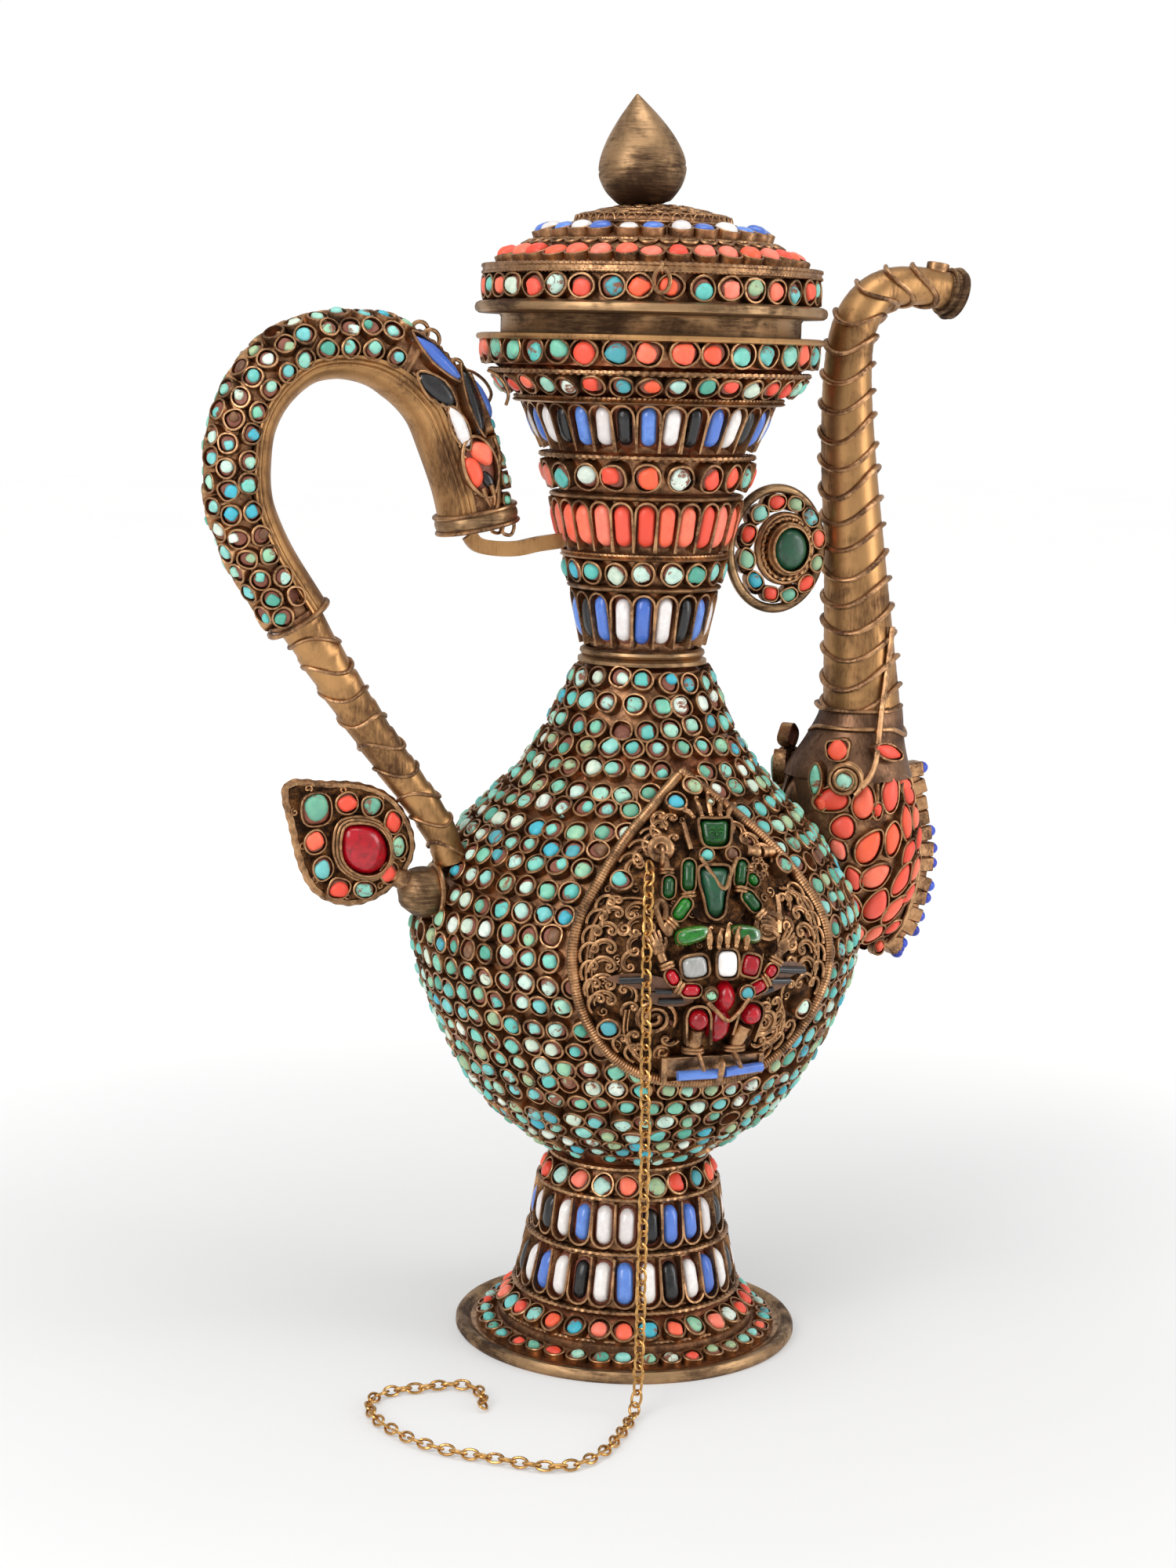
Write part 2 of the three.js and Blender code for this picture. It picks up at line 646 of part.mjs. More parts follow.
function footPlate() {
  const rimRound = PLATE_RIM_HEIGHT / 4;
  return revolve([
    [0, 0],
    [PLATE_RADIUS - rimRound, 0],
    [PLATE_RADIUS, rimRound],
    [PLATE_RADIUS, PLATE_RIM_HEIGHT - rimRound],
    [PLATE_RADIUS - rimRound, PLATE_RIM_HEIGHT],
    [PLATE_RADIUS - PLATE_RIM_WIDTH + rimRound, PLATE_RIM_HEIGHT],
    [PLATE_RADIUS - PLATE_RIM_WIDTH, PLATE_THICKNESS],
    [0, PLATE_THICKNESS],
  ]);
}

// Outside of the foot's sheet, from the plate to the vessel
function footWall() {
  const seats = footLedges().reverse().map(({ radius, height }) => [radius - JACKET, height]);
  const hem = HEM_RADIUS - JACKET;
  const top = [FOOT_TOP_RADIUS - JACKET, FOOT_HEIGHT];
  return [[hem, PLATE_THICKNESS + SEAT_GAP], [hem, HEM_HEIGHT], ...seats, top];
}

function footCone() {
  const outer = footWall();
  const inner = outer.map(([radius, height]) => [radius - SHEET, height]).reverse();
  return revolve([...outer, ...inner]);
}

// A flat ring round a wall, which parts two rows of stones
function ledge({ radius, height }, wall) {
  const [bottom, top] = [height - LEDGE_HEIGHT / 2, height + LEDGE_HEIGHT / 2];
  const [low, high] = [bottom, top].map((level) => radiusOn(wall, level) + SEAT_GAP);
  return revolve([[low, bottom], [radius, bottom], [radius, top], [high, top]]);
}

// A row of stones between two ledges, over the sheet that carries it
function stoneRow(lower, upper, count, kind) {
  const margin = LEDGE_HEIGHT / 2 + SEAT_GAP;
  const heights = [lower.height + margin, upper.height - margin];
  const radiusAt = (height) => between(
    lower.radius,
    upper.radius,
    (height - lower.height) / (upper.height - lower.height),
  );
  const [bottom, top] = heights.map((height) => ({ radius: radiusAt(height), height }));
  const inner = [top, bottom].map(({ radius, height }) => ({ radius: radius - JACKET + SEAT_GAP, height }));
  const outer = [bottom, top].map(({ radius, height }) => ({ radius: radius - STONE_RISE, height }));
  if (kind === 'rod') {
    const rods = outer.map((level) => ({ ...level, count, rise: [STONE_RISE, 0] }));
    return band([...rods, ...inner]);
  }
  const height = (heights[0] + heights[1]) / 2;
  const studs = { radius: radiusAt(height) - STONE_RISE, height, count, rise: [STONE_RISE, 0] };
  return band([outer[0], studs, outer[1], ...inner]);
}

// The ring of beads on the plate, with the ledge that the lowest row of round stones stands on
function hemBeads() {
  const bottom = PLATE_THICKNESS + SEAT_GAP;
  const edge = HEM_BEAD_RADIUS - STONE_RISE;
  const inner = HEM_RADIUS - JACKET + SEAT_GAP;
  const beads = { count: HEM_BEAD_COUNT, rise: [STONE_RISE, 0] };
  return band([
    { radius: inner, height: bottom },
    { radius: edge, height: bottom },
    { radius: edge, height: bottom + HEM_BEAD_HEIGHT / 2, ...beads },
    { radius: edge - STONE_RISE, height: bottom + HEM_BEAD_HEIGHT },
    { radius: HEM_RADIUS, height: bottom + HEM_BEAD_HEIGHT },
    { radius: HEM_RADIUS, height: HEM_HEIGHT + LEDGE_HEIGHT / 2 },
    { radius: inner, height: HEM_HEIGHT + LEDGE_HEIGHT / 2 },
  ]);
}

// Vessel
function neckTubeRadius() {
  return COLLAR_RADIUS - JACKET;
}

function collarMiddle() {
  return BODY_TOP + COLLAR_HEIGHT / 2;
}

// A round hole through the vessel's side, behind the spout
function spoutPort() {
  const from = bodyOutline[0][0];
  const length = spoutAxis() - from;
  const port = new THREE.CylinderGeometry(PORT_RADIUS, PORT_RADIUS, length, 10).rotateZ(Math.PI / 2);
  return port.translate(from + length / 2, 0, bodyHeightAt(PORT_SHARE));
}

// The vessel's outline at a depth under its stones, with fewer corners than the stones have
function sheetLine(depth) {
  return offset(bodyOutline, depth).filter((_, k) => k % 4 === 0);
}

// Outside of the vessel's sheet, from its floor to the middle of the collar
function vesselWall() {
  const outer = sheetLine(JACKET);
  const tube = neckTubeRadius();
  const top = collarMiddle() - SEAT_GAP / 2;
  return [[outer[0][0] - SHEET, BODY_BOTTOM], ...outer, [tube, BODY_TOP + SEAT_GAP], [tube, top]];
}

// The lower bowl of the vessel, up to the seam at its widest
function vesselLower() {
  const seam = bodyHeightAt(SEAM_SHARE) - SEAT_GAP / 2;
  const whole = vesselWall();
  const wall = [...whole.filter(([, height]) => height < seam), [radiusOn(whole, seam), seam]];
  const inner = offset(wall, SHEET).slice(1).map(([radius, height]) => [radius, Math.min(height, seam)]);
  const floor = wall[0][0] - SHEET;
  const inside = [...inner.reverse(), [floor, BODY_BOTTOM + SHEET], [0, BODY_BOTTOM + SHEET]];
  return revolve([[0, BODY_BOTTOM], ...wall, ...inside]);
}

// The upper bowl of the vessel with its short tube, open towards the spout
function vesselUpper() {
  const seam = bodyHeightAt(SEAM_SHARE) + SEAT_GAP / 2;
  const whole = vesselWall();
  const top = whole[whole.length - 1][1];
  const wall = [[radiusOn(whole, seam), seam], ...whole.filter(([, height]) => height > seam)];
  const inner = offset(wall, SHEET).map(([radius, height]) => (
    [radius, Math.min(Math.max(height, seam), top)]
  ));
  return cut(revolve([...wall, ...inner.reverse()]), spoutPort());
}

// Draws a ring's extra corners in to the flat sides that every turned piece has
function flatSided(geometry) {
  const place = geometry.attributes.position;
  const side = (2 * Math.PI) / RING_STEPS;
  for (let i = 0; i < place.count; i += 1) {
    const [x, y] = [place.getX(i), place.getY(i)];
    const turn = Math.atan2(y, x) / side;
    const reach = Math.cos(side / 2) / Math.cos((turn - Math.floor(turn) - 1 / 2) * side);
    place.setXY(i, x * reach, y * reach);
  }
  return geometry;
}

// The stones that cover the vessel, raised one by one in rows with a groove between them
function turquoiseJacket() {
  const grooves = offset(bodyOutline, TURQUOISE_GROOVE);
  const outer = bodyOutline.map(([radius, height], k) => {
    const [low, level] = grooves[k];
    const count = k % 2 ? Math.round((2 * Math.PI * radius) / TURQUOISE_PITCH) : 0;
    return { radius: low, height: level, count, rise: [radius - low, height - level] };
  });
  const inner = sheetLine(JACKET - SEAT_GAP).reverse().map(([radius, height]) => ({ radius, height }));
  return cut(flatSided(band([...outer, ...inner])), spoutPort());
}

function neckCollar() {
  const bottom = BODY_TOP + SEAT_GAP;
  const top = NECK_BOTTOM - SEAT_GAP;
  const inner = neckTubeRadius() + SEAT_GAP;
  const groove = (bottom + top) / 2;
  return revolve([
    [inner, bottom],
    [COLLAR_RADIUS - COLLAR_GROOVE / 2, bottom],
    [COLLAR_RADIUS, bottom + COLLAR_GROOVE],
    [COLLAR_RADIUS, groove - COLLAR_GROOVE],
    [COLLAR_RADIUS - COLLAR_GROOVE, groove],
    [COLLAR_RADIUS, groove + COLLAR_GROOVE],
    [COLLAR_RADIUS - COLLAR_GROOVE / 2, top],
    [inner, top],
  ]);
}

// Neck and mouth
function neckLedges() {
  return NECK_LEDGE_SHARES.map(({ height, radius }) => ({
    height: NECK_BOTTOM + NECK_HEIGHT * height,
    radius: between(COLLAR_RADIUS, MOUTH_RADIUS, radius),
  }));
}

function neckStart() {
  return { radius: COLLAR_RADIUS, height: NECK_BOTTOM - LEDGE_HEIGHT / 2 };
}

// Outside of the neck's sheet, from the collar to the mouth
function neckWall() {
  const tube = neckTubeRadius();
  const rowWall = MOUTH_ROW_RADIUS - JACKET;
  const ledges = neckLedges();
  const rowFoot = ledges[ledges.length - 1].height + LEDGE_HEIGHT;
  return [
    [tube, collarMiddle() + SEAT_GAP / 2],
    [tube, NECK_BOTTOM],
    ...ledges.map(({ radius, height }) => [radius - JACKET, height]),
    [rowWall, rowFoot],
    [rowWall, MOUTH_TOP - MOUTH_FLANGE - SEAT_GAP],
  ];
}

function neckShell() {
  const wall = neckWall();
  const inner = wall.map(([radius, height]) => [radius - SHEET, height]).reverse();
  return revolve([...wall, ...inner]);
}

function mouthRow() {
  const ledges = neckLedges();
  const lower = { radius: MOUTH_ROW_RADIUS, height: ledges[ledges.length - 1].height };
  const upper = { radius: MOUTH_ROW_RADIUS, height: MOUTH_TOP - MOUTH_FLANGE + LEDGE_HEIGHT / 2 };
  return stoneRow(lower, upper, MOUTH_ROW_COUNT, 'stud');
}

function mouthFlange() {
  const bottom = MOUTH_TOP - MOUTH_FLANGE;
  const inner = MOUTH_ROW_RADIUS - JACKET - SHEET;
  const edge = MOUTH_FLANGE / 3;
  return revolve([
    [inner, bottom],
    [MOUTH_RADIUS - edge, bottom],
    [MOUTH_RADIUS, bottom + edge],
    [MOUTH_RADIUS, MOUTH_TOP - edge],
    [MOUTH_RADIUS - edge, MOUTH_TOP],
    [inner, MOUTH_TOP],
  ]);
}

// Lid
function lidSkirtRadius() {
  return MOUTH_ROW_RADIUS - JACKET - SHEET - LID_CLEARANCE;
}

// The height where the skirt's lower edge comes to rest in the widening of the neck
function lidSeatHeight() {
  const inside = neckWall().map(([radius, height]) => [radius - SHEET, height]);
  const next = inside.findIndex(([radius]) => radius > lidSkirtRadius());
  const [lower, upper] = [inside[next - 1], inside[next]];
  const share = (lidSkirtRadius() - lower[0]) / (upper[0] - lower[0]);
  return between(lower[1], upper[1], share) + 2 * SEAT_GAP;
}

function lidFlange() {
  const skirt = lidSkirtRadius();
  const edge = LID_FLANGE / 3;
  const seat = lidSeatHeight();
  return revolve([
    [skirt - SHEET, seat],
    [skirt, seat],
    [skirt, LID_BOTTOM],
    [LID_RADIUS - edge, LID_BOTTOM],
    [LID_RADIUS, LID_BOTTOM + edge],
    [LID_RADIUS, DRUM_BOTTOM - edge],
    [LID_RADIUS - edge, DRUM_BOTTOM],
    [skirt - SHEET, DRUM_BOTTOM],
  ]);
}

function domeOutline() {
  const radius = LID_DRUM_RADIUS - JACKET;
  return smooth(sized(DOME_SHARES, radius, DOME_BOTTOM, LID_DOME_HEIGHT), 8);
}

// The stretch of an outline between two shares of its corners
function stretch(outline, from, to) {
  const pointAt = (share) => {
    const place = share * (outline.length - 1);
    const k = Math.min(Math.floor(place), outline.length - 2);
    return [0, 1].map((axis) => between(outline[k][axis], outline[k + 1][axis], place - k));
  };
  const isInside = (_, k) => k > from * (outline.length - 1) && k < to * (outline.length - 1);
  return [pointAt(from), ...outline.filter(isInside), pointAt(to)];
}

function lidDome() {
  const radius = LID_DRUM_RADIUS - JACKET;
  const outer = [[radius, DRUM_BOTTOM + SEAT_GAP], ...domeOutline()];
  const inner = offset(outer, SHEET).map(([across, height], k) => [
    k === outer.length - 1 ? 0 : Math.max(across, 0),
    k === 0 ? outer[0][1] : height,
  ]);
  return revolve([...outer, ...inner.reverse()]);
}

function lidDrumRow() {
  const lower = { radius: LID_DRUM_RADIUS, height: DRUM_BOTTOM - LEDGE_HEIGHT / 2 };
  const upper = { radius: LID_DRUM_RADIUS, height: DOME_BOTTOM + LEDGE_HEIGHT / 2 };
  return stoneRow(lower, upper, LID_DRUM_COUNT, 'stud');
}

// A ring of stones that lies on the dome between two shares of its outline
function domeRow([from, to], depth, count) {
  const base = stretch(domeOutline(), from, to);
  const seat = offset(base, -SEAT_GAP);
  const wall = offset(base, -depth + STONE_RISE);
  const crown = offset(base, -depth);
  const middle = Math.floor(base.length / 2);
  const rise = [crown[middle][0] - wall[middle][0], crown[middle][1] - wall[middle][1]];
  const levels = wall.map(([radius, height], k) => (
    k === middle ? { radius, height, count, rise } : { radius, height }
  ));
  const under = seat.reverse().map(([radius, height]) => ({ radius, height }));
  return band([...levels, ...under]);
}

function lidCap() {
  const base = stretch(domeOutline(), ...CAP_SPAN_SHARES);
  const seat = offset(base, -SEAT_GAP);
  const crown = offset(base, -LID_CAP_HEIGHT);
  [seat, crown].forEach((line) => { line[line.length - 1][0] = 0; });
  return revolve([...crown, ...seat.reverse()]);
}

function lidWireLevel() {
  return { radius: LID_DRUM_RADIUS + SEAT_GAP, height: DOME_BOTTOM + LID_WIRE / 2 };
}

// The wired ring at the foot of the dome, with the staple that the small hanging ring swings in
function lidWire() {
  const { radius, height } = lidWireLevel();
  const half = LID_WIRE / 2;
  const edge = half / 3;
  const inner = LID_DRUM_RADIUS - JACKET + SEAT_GAP;
  const ring = revolve([
    [inner, height - half],
    [radius - edge, height - half],
    [radius, height - 2 * edge],
    [radius, height + 2 * edge],
    [radius - edge, height + half],
    [inner, height + half],
  ]);
  const stations = [];
  for (let k = 0; k <= STAPLE_STEPS; k += 1) {
    const angle = between(-Math.PI / 2, Math.PI / 2, k / STAPLE_STEPS);
    const x = radius - half + (STAPLE_REACH + half) * Math.cos(angle);
    const z = height + STAPLE_HALF_HEIGHT * Math.sin(angle);
    stations.push({ x, z, width: STAPLE_WIRE, depth: STAPLE_WIRE });
  }
  const staple = sweep(stations, roundSection(6)).rotateZ(LOOP_AZIMUTH_DEGREES * RADIANS);
  return joined([ring, staple]);
}

// The hanging ring, with the middle of its top wire at its own origin
function lidLoop() {
  const steps = 16;
  const points = [];
  const facings = [];
  for (let k = 0; k < steps; k += 1) {
    const angle = (2 * Math.PI * k) / steps;
    const down = LOOP_HALF_HEIGHT * (Math.cos(angle) - 1);
    points.push(new THREE.Vector3(0, LOOP_HALF_WIDTH * Math.sin(angle), down));
    facings.push(new THREE.Vector3(1, 0, 0));
  }
  return closedWire(points, facings, LOOP_WIRE / 2, 6);
}

function finial() {
  const lean = FINIAL_LEAN_DEGREES * RADIANS;
  const base = sized(FINIAL_SHARES, FINIAL_RADIUS, 0, FINIAL_HEIGHT);
  const onion = revolve([[0, 0], ...base, [0, FINIAL_HEIGHT]], 16);
  const lift = base[0][0] * Math.sin(lean);
  const seat = DOME_TOP + LID_CAP_HEIGHT + SEAT_GAP;
  return onion.rotateY(-lean).translate(-FINIAL_SHIFT, 0, seat + lift);
}

// Handle
function vesselSideAt(share) {
  return radiusOn(bodyOutline, bodyHeightAt(share));
}

function handleCurve() {
  const side = vesselSideAt(GRIP_FOOT_SHARE);
  const foot = bodyHeightAt(GRIP_FOOT_SHARE);
  return new THREE.CatmullRomCurve3(HANDLE_SHARES.map(([out, up]) => {
    const near = between(side, LID_RADIUS, up * up);
    return new THREE.Vector3(-between(near, HANDLE_REACH, out), 0, foot + HANDLE_RISE * up);
  }), false, 'centripetal');
}

// Half of the small gap between two pieces that follow each other along the handle
function handleGapShare() {
  return SEAT_GAP / handleCurve().getLength();
}

function sleeveMiddle() {
  return { x: -vesselSideAt(SLEEVE_SHARE) - SEAT_GAP, z: bodyHeightAt(SLEEVE_SHARE) };
}

function sleeveBall(radius) {
  const { x, z } = sleeveMiddle();
  return new THREE.SphereGeometry(radius, 12, 8).translate(x, 0, z);
}

function handleGrip() {
  const widthAt = (share) => between(GRIP_END_DIAMETER, GRIP_DIAMETER, share / GRIP_SPAN_SHARE);
  const end = GRIP_SPAN_SHARE - handleGapShare();
  const stations = stationsAlong(handleCurve(), 0, end, 6, widthAt, widthAt);
  return cut(pipe(stations, 10, GRIP_WALL), sleeveBall(SLEEVE_RADIUS + SEAT_GAP), bodyEnvelope());
}

// Width and depth of the crook, which swells where it becomes the dragon's head
function swell(share, plain, head) {
  const grown = Math.min(Math.max((share - HEAD_SPAN_SHARE + HEAD_BLEND_SHARE) / HEAD_BLEND_SHARE, 0), 1);
  return between(plain, head, grown);
}

function crookStations(from, to, steps) {
  const widthAt = (share) => swell(share, CROOK_WIDTH, HEAD_WIDTH);
  const depthAt = (share) => swell(share, CROOK_DEPTH, HEAD_DEPTH);
  return stationsAlong(handleCurve(), from, to, steps, widthAt, depthAt);
}

function bowStations() {
  const gap = handleGapShare();
  return crookStations(GRIP_SPAN_SHARE + gap, HEAD_SPAN_SHARE - gap, BOW_STEPS);
}

function headStations() {
  const gap = handleGapShare();
  return crookStations(HEAD_SPAN_SHARE + gap, jawShare() - gap, HEAD_STEPS);
}

function jawShare() {
  return 1 - JAW_CAP / handleCurve().getLength();
}

// The plain sheet on the inner side of the crook, closed by a cap under the jaw
function crookCasing() {
  const half = CASING_HALF_ANGLE_DEGREES * RADIANS;
  const jaw = crookStations(jawShare(), 1, 1);
  const stations = [...bowStations(), ...headStations(), ...jaw];
  const casing = sweep(stations, shellSection(-half, half, 4, CROOK_SHEET));
  return joined([casing, sweep(jaw, roundSection(12))]);
}

function crookCover(stations, wall) {
  const half = (CASING_HALF_ANGLE_DEGREES + CASING_GAP_DEGREES) * RADIANS;
  return sweep(stations, shellSection(half, 2 * Math.PI - half, 6, wall));
}

// The flat bar that ties the jaw to the neck
function handleBracket() {
  const jaw = handleCurve().getPointAt(1);
  const [, lower, upper] = neckLedges();
  const seat = between(lower.height, upper.height, BRACKET_SEAT_SHARE);
  const touch = (seat + BRACKET_HEIGHT / 2 - lower.height) / (upper.height - lower.height);
  const neckSide = -between(lower.radius, upper.radius, touch) - SEAT_GAP;
  const start = jaw.z - BRACKET_HEIGHT * BRACKET_DROP_SHARE;
  const stations = BRACKET_SHARES.map(([along, sag]) => ({
    x: between(jaw.x, neckSide, along),
    z: between(start, seat, along) - BRACKET_HEIGHT * sag,
    width: BRACKET_HEIGHT,
    depth: BRACKET_THICKNESS,
  }));
  return sweep(stations, boxSection);
}

function boxSection({ width, depth }) {
  const [right, back] = [width / 2, depth / 2];
  return [[right, -back], [right, back], [-right, back], [-right, -back]];
}

// Leaf beside the handle's foot
function leafOutline(scale) {
  const { x, z } = sleeveMiddle();
  const [middleX, middleZ] = [x - LEAF_STAND, z + LEAF_LIFT];
  const corners = LEAF_SHARES.map(([across, up]) => (
    new THREE.Vector3(middleX + LEAF_WIDTH * across * scale, 0, middleZ + LEAF_HEIGHT * up * scale)
  ));
  return new THREE.CatmullRomCurve3(corners, true, 'catmullrom', 0.6).getPoints(LEAF_STEPS).slice(1);
}

// A flat slab in the upright plane of handle and spout, from a closed line, towards the front
function slab(line, depth, bevel) {
  const shape = new THREE.Shape(line.map(({ x, z }) => new THREE.Vector2(x, z)));
  const options = { depth, bevelEnabled: bevel > 0, bevelThickness: bevel, bevelSize: -bevel };
  options.bevelSegments = 1;
  options.bevelOffset = 0;
  return new THREE.ExtrudeGeometry(shape, options).rotateX(Math.PI / 2);
}

// A wire along a closed line in the upright plane, round a flat plate
function wiredPlate(line, wireRadius, plateDepth) {
  const facings = line.map(() => new THREE.Vector3(0, -1, 0));
  const plate = slab(line, plateDepth, 0).translate(0, plateDepth / 2, 0);
  return joined([closedWire(line, facings, wireRadius, 6), plate]);
}

function leafStone() {
  const bevel = LEAF_STONE_RISE / 4;
  const stone = slab(leafOutline(LEAF_STONE_SHARE), LEAF_STONE_RISE - 2 * bevel, bevel);
  const front = -LEAF_PLATE / 2 - SEAT_GAP - bevel;
  return stone.translate(LEAF_STONE_SHIFT_SHARE * LEAF_WIDTH, front, 0);
}

// The boss on the vessel's side that the grip and the leaf's stem grow out of
function handleSleeve() {
  const line = leafOutline(1);
  const stations = [sleeveMiddle(), line[LEAF_SEAT_STEP]].map(({ x, z }, k) => ({
    x,
    z,
    width: 2 * LEAF_STEM_RADIUS * (1 + SLEEVE_FLARE_SHARE * (1 - k)),
    depth: 2 * LEAF_STEM_RADIUS * (1 + SLEEVE_FLARE_SHARE * (1 - k)),
  }));
  const seat = wiredPlate(line, LEAF_WIRE / 2 + SEAT_GAP, 3 * LEAF_STEM_RADIUS);
  return cut(joined([sleeveBall(SLEEVE_RADIUS), sweep(stations, roundSection(8))]), bodyEnvelope(), seat);
}

// Spout
function spoutAxis() {
  return BODY_RADIUS + SPOUT_STAND;
}

function funnelTop() {
  return bodyHeightAt(BULB_TOP_SHARE) + FUNNEL_HEIGHT;
}

function spoutTube() {
  const foot = { x: spoutAxis(), z: funnelTop() + SEAT_GAP };
  const bottom = foot.z + 2 * SPOUT_WALL;
  const corners = SPOUT_SHARES.map(({ lean, hook, rise }) => (
    new THREE.Vector3(spoutAxis() - SPOUT_LEAN * lean + SPOUT_HOOK * hook, 0, bottom + SPOUT_RISE * rise)
  ));
  const curve = new THREE.CatmullRomCurve3(corners, false, 'centripetal');
  const last = SPOUT_SHARES.length - 1;
  const widthAt = (share) => {
    const place = curve.getUtoTmapping(share) * last;
    const k = Math.min(Math.floor(place), last - 1);
    const wide = between(SPOUT_SHARES[k].width, SPOUT_SHARES[k + 1].width, place - k);
    return between(SPOUT_END_DIAMETER, SPOUT_FOOT_DIAMETER, wide);
  };
  const stations = stationsAlong(curve, 0, 1, SPOUT_STEPS, widthAt, widthAt);
  const start = { ...foot, width: SPOUT_FOOT_DIAMETER, depth: SPOUT_FOOT_DIAMETER };
  return pipe([start, ...stations, ...spoutLip(stations)], 10, SPOUT_WALL);
}

// The flared lip beyond the tube's last station
function spoutLip(stations) {
  const [before, end] = stations.slice(-2);
  const [alongX, alongZ] = unit(end.x - before.x, end.z - before.z, 1, 0);
  const flare = SPOUT_LIP_DIAMETER - SPOUT_END_DIAMETER;
  return [0.5, 1].map((share) => ({
    x: end.x + alongX * flare * share,
    z: end.z + alongZ * flare * share,
    width: SPOUT_LIP_DIAMETER,
    depth: SPOUT_LIP_DIAMETER,
  }));
}

function spoutFunnel() {
  const bottom = bodyHeightAt(BULB_TOP_SHARE) + SEAT_GAP;
  const shift = BULB_SHARES[BULB_SHARES.length - 1].shift * BULB_WIDTH;
  const stations = FUNNEL_SHARES.map(({ up, narrow, across }) => {
    const width = 2 * between(FUNNEL_RADIUS, FUNNEL_TOP_RADIUS, narrow);
    const x = spoutAxis() + shift * (1 - across);
    return { x, z: between(bottom, funnelTop(), up), width, depth: width };
  });
  return cut(pipe(stations, 16, SPOUT_WALL), bodyEnvelope());
}

function bulbStations() {
  const top = bodyHeightAt(BULB_TOP_SHARE);
  return BULB_SHARES.map(({ height, shift, width, depth }) => ({
    x: spoutAxis() + BULB_WIDTH * shift,
    z: top - BULB_HEIGHT * (1 - height),
    width: BULB_WIDTH * width,
    depth: BULB_DEPTH * depth,
  }));
}

// The bulb that carries the spout, with the way through it from the vessel up into the funnel
function spoutBulb() {
  const top = bodyHeightAt(BULB_TOP_SHARE);
  const port = bodyHeightAt(PORT_SHARE);
  const length = top - port + CUT_OVERRUN;
  const rise = new THREE.CylinderGeometry(PORT_RADIUS, PORT_RADIUS, length, 10).rotateX(Math.PI / 2);
  rise.translate(spoutAxis(), 0, port + length / 2);
  return cut(sweep(bulbStations(), roundSection(14)), bodyEnvelope(), spoutPort(), rise);
}

// The beaded strip along the outer edge of the bulb
function spoutCrest() {
  const edge = bulbStations().map(({ x, z, width }) => [x + width / 2, z]).reverse();
  const foot = bulbStations()[0];
  edge.push([foot.x + CREST_WIDTH * CREST_FOOT_SHARE, foot.z - SEAT_GAP]);
  const path = offset(edge, CREST_WIDTH / 2 + SEAT_GAP);
  const line = smooth(path, 2 * CREST_BEADS);
  const stations = line.map(([x, z]) => ({ x, z, width: CREST_WIDTH, depth: CREST_DEPTH }));
  return cut(sweep(stations, ({ width, depth }, k) => {
    const rise = k % 2 ? CREST_BEAD_RISE : 0;
    const [side, back] = [width / 2, depth / 2];
    return [[side, -back], [side, back], [-side, back], [-side - rise, 0], [-side, -back]];
  }), bodyEnvelope());
}

// The scroll on one side of the bulb's shoulder
function spoutScroll(side) {
  const angle = side * SCROLL_ANGLE_DEGREES * RADIANS;
  const step = SCROLL_HEIGHT / 3;
  const boss = revolve([
    [0, 0],
    [SCROLL_RADIUS, 0],
    [SCROLL_RADIUS, 2 * step],
    [SCROLL_RADIUS - step, 2 * step],
    [SCROLL_RADIUS - 2 * step, SCROLL_HEIGHT],
    [0, SCROLL_HEIGHT + step],
  ], 12);
  const shift = BULB_SHARES[BULB_SHARES.length - 1].shift * BULB_WIDTH;
  const reach = FUNNEL_RADIUS + 2 * SEAT_GAP;
  boss.rotateY(Math.PI / 2).translate(reach, 0, 0).rotateZ(angle);
  return boss.translate(spoutAxis() + shift, 0, bodyHeightAt(BULB_TOP_SHARE));
}

// The openwork rosette between neck and spout
function rosetteFrame() {
  const [, lower, upper] = neckLedges();
  const height = between(lower.height, upper.height, ROSETTE_SEAT_SHARE);
  const tube = sectionAtHeight(height);
  const neckSide = between(lower.radius, upper.radius, ROSETTE_TOUCH_SHARE) + SEAT_GAP;
  const middle = (neckSide + tube) / 2;
  return { x: middle, z: height, halfWidth: (tube - neckSide) / 2 - ROSETTE_RIM / 2 };
}

// Where the spout's near side stands at a height
function sectionAtHeight(height) {
  const share = (height - funnelTop()) / SPOUT_RISE;
  const next = SPOUT_SHARES.findIndex(({ rise }) => rise >= share);
  const [a, b] = [SPOUT_SHARES[next - 1], SPOUT_SHARES[next]];
  const part = (share - a.rise) / (b.rise - a.rise);
  const width = between(SPOUT_END_DIAMETER, SPOUT_FOOT_DIAMETER, between(a.width, b.width, part));
  return spoutAxis() - SPOUT_LEAN * between(a.lean, b.lean, part) - width / 2 - SEAT_GAP;
}

function rosette() {
  const { x, z, halfWidth } = rosetteFrame();
  const halfHeight = ROSETTE_HALF_HEIGHT - ROSETTE_RIM / 2;
  const line = [];
  for (let k = 0; k < ROSETTE_STEPS; k += 1) {
    const angle = (2 * Math.PI * k) / ROSETTE_STEPS;
    line.push(new THREE.Vector3(x + halfWidth * Math.sin(angle), 0, z + halfHeight * Math.cos(angle)));
  }
  return wiredPlate(line, ROSETTE_RIM / 2, ROSETTE_PLATE);
}

function rosetteStone() {
  const { x, z } = rosetteFrame();
  const collar = ROSETTE_STONE_RADIUS * ROSETTE_COLLAR_SHARE;
  const step = ROSETTE_STONE_RISE / 3;
  const stone = revolve([
    [0, 0],
    [collar, 0],
    [collar, step],
    [ROSETTE_STONE_RADIUS + step, 2 * step],
    [ROSETTE_STONE_RADIUS, ROSETTE_STONE_RISE],
    [0, ROSETTE_STONE_RISE],
  ], 16);
  return stone.rotateX(Math.PI / 2).translate(x, -ROSETTE_PLATE / 2 - SEAT_GAP, z);
}

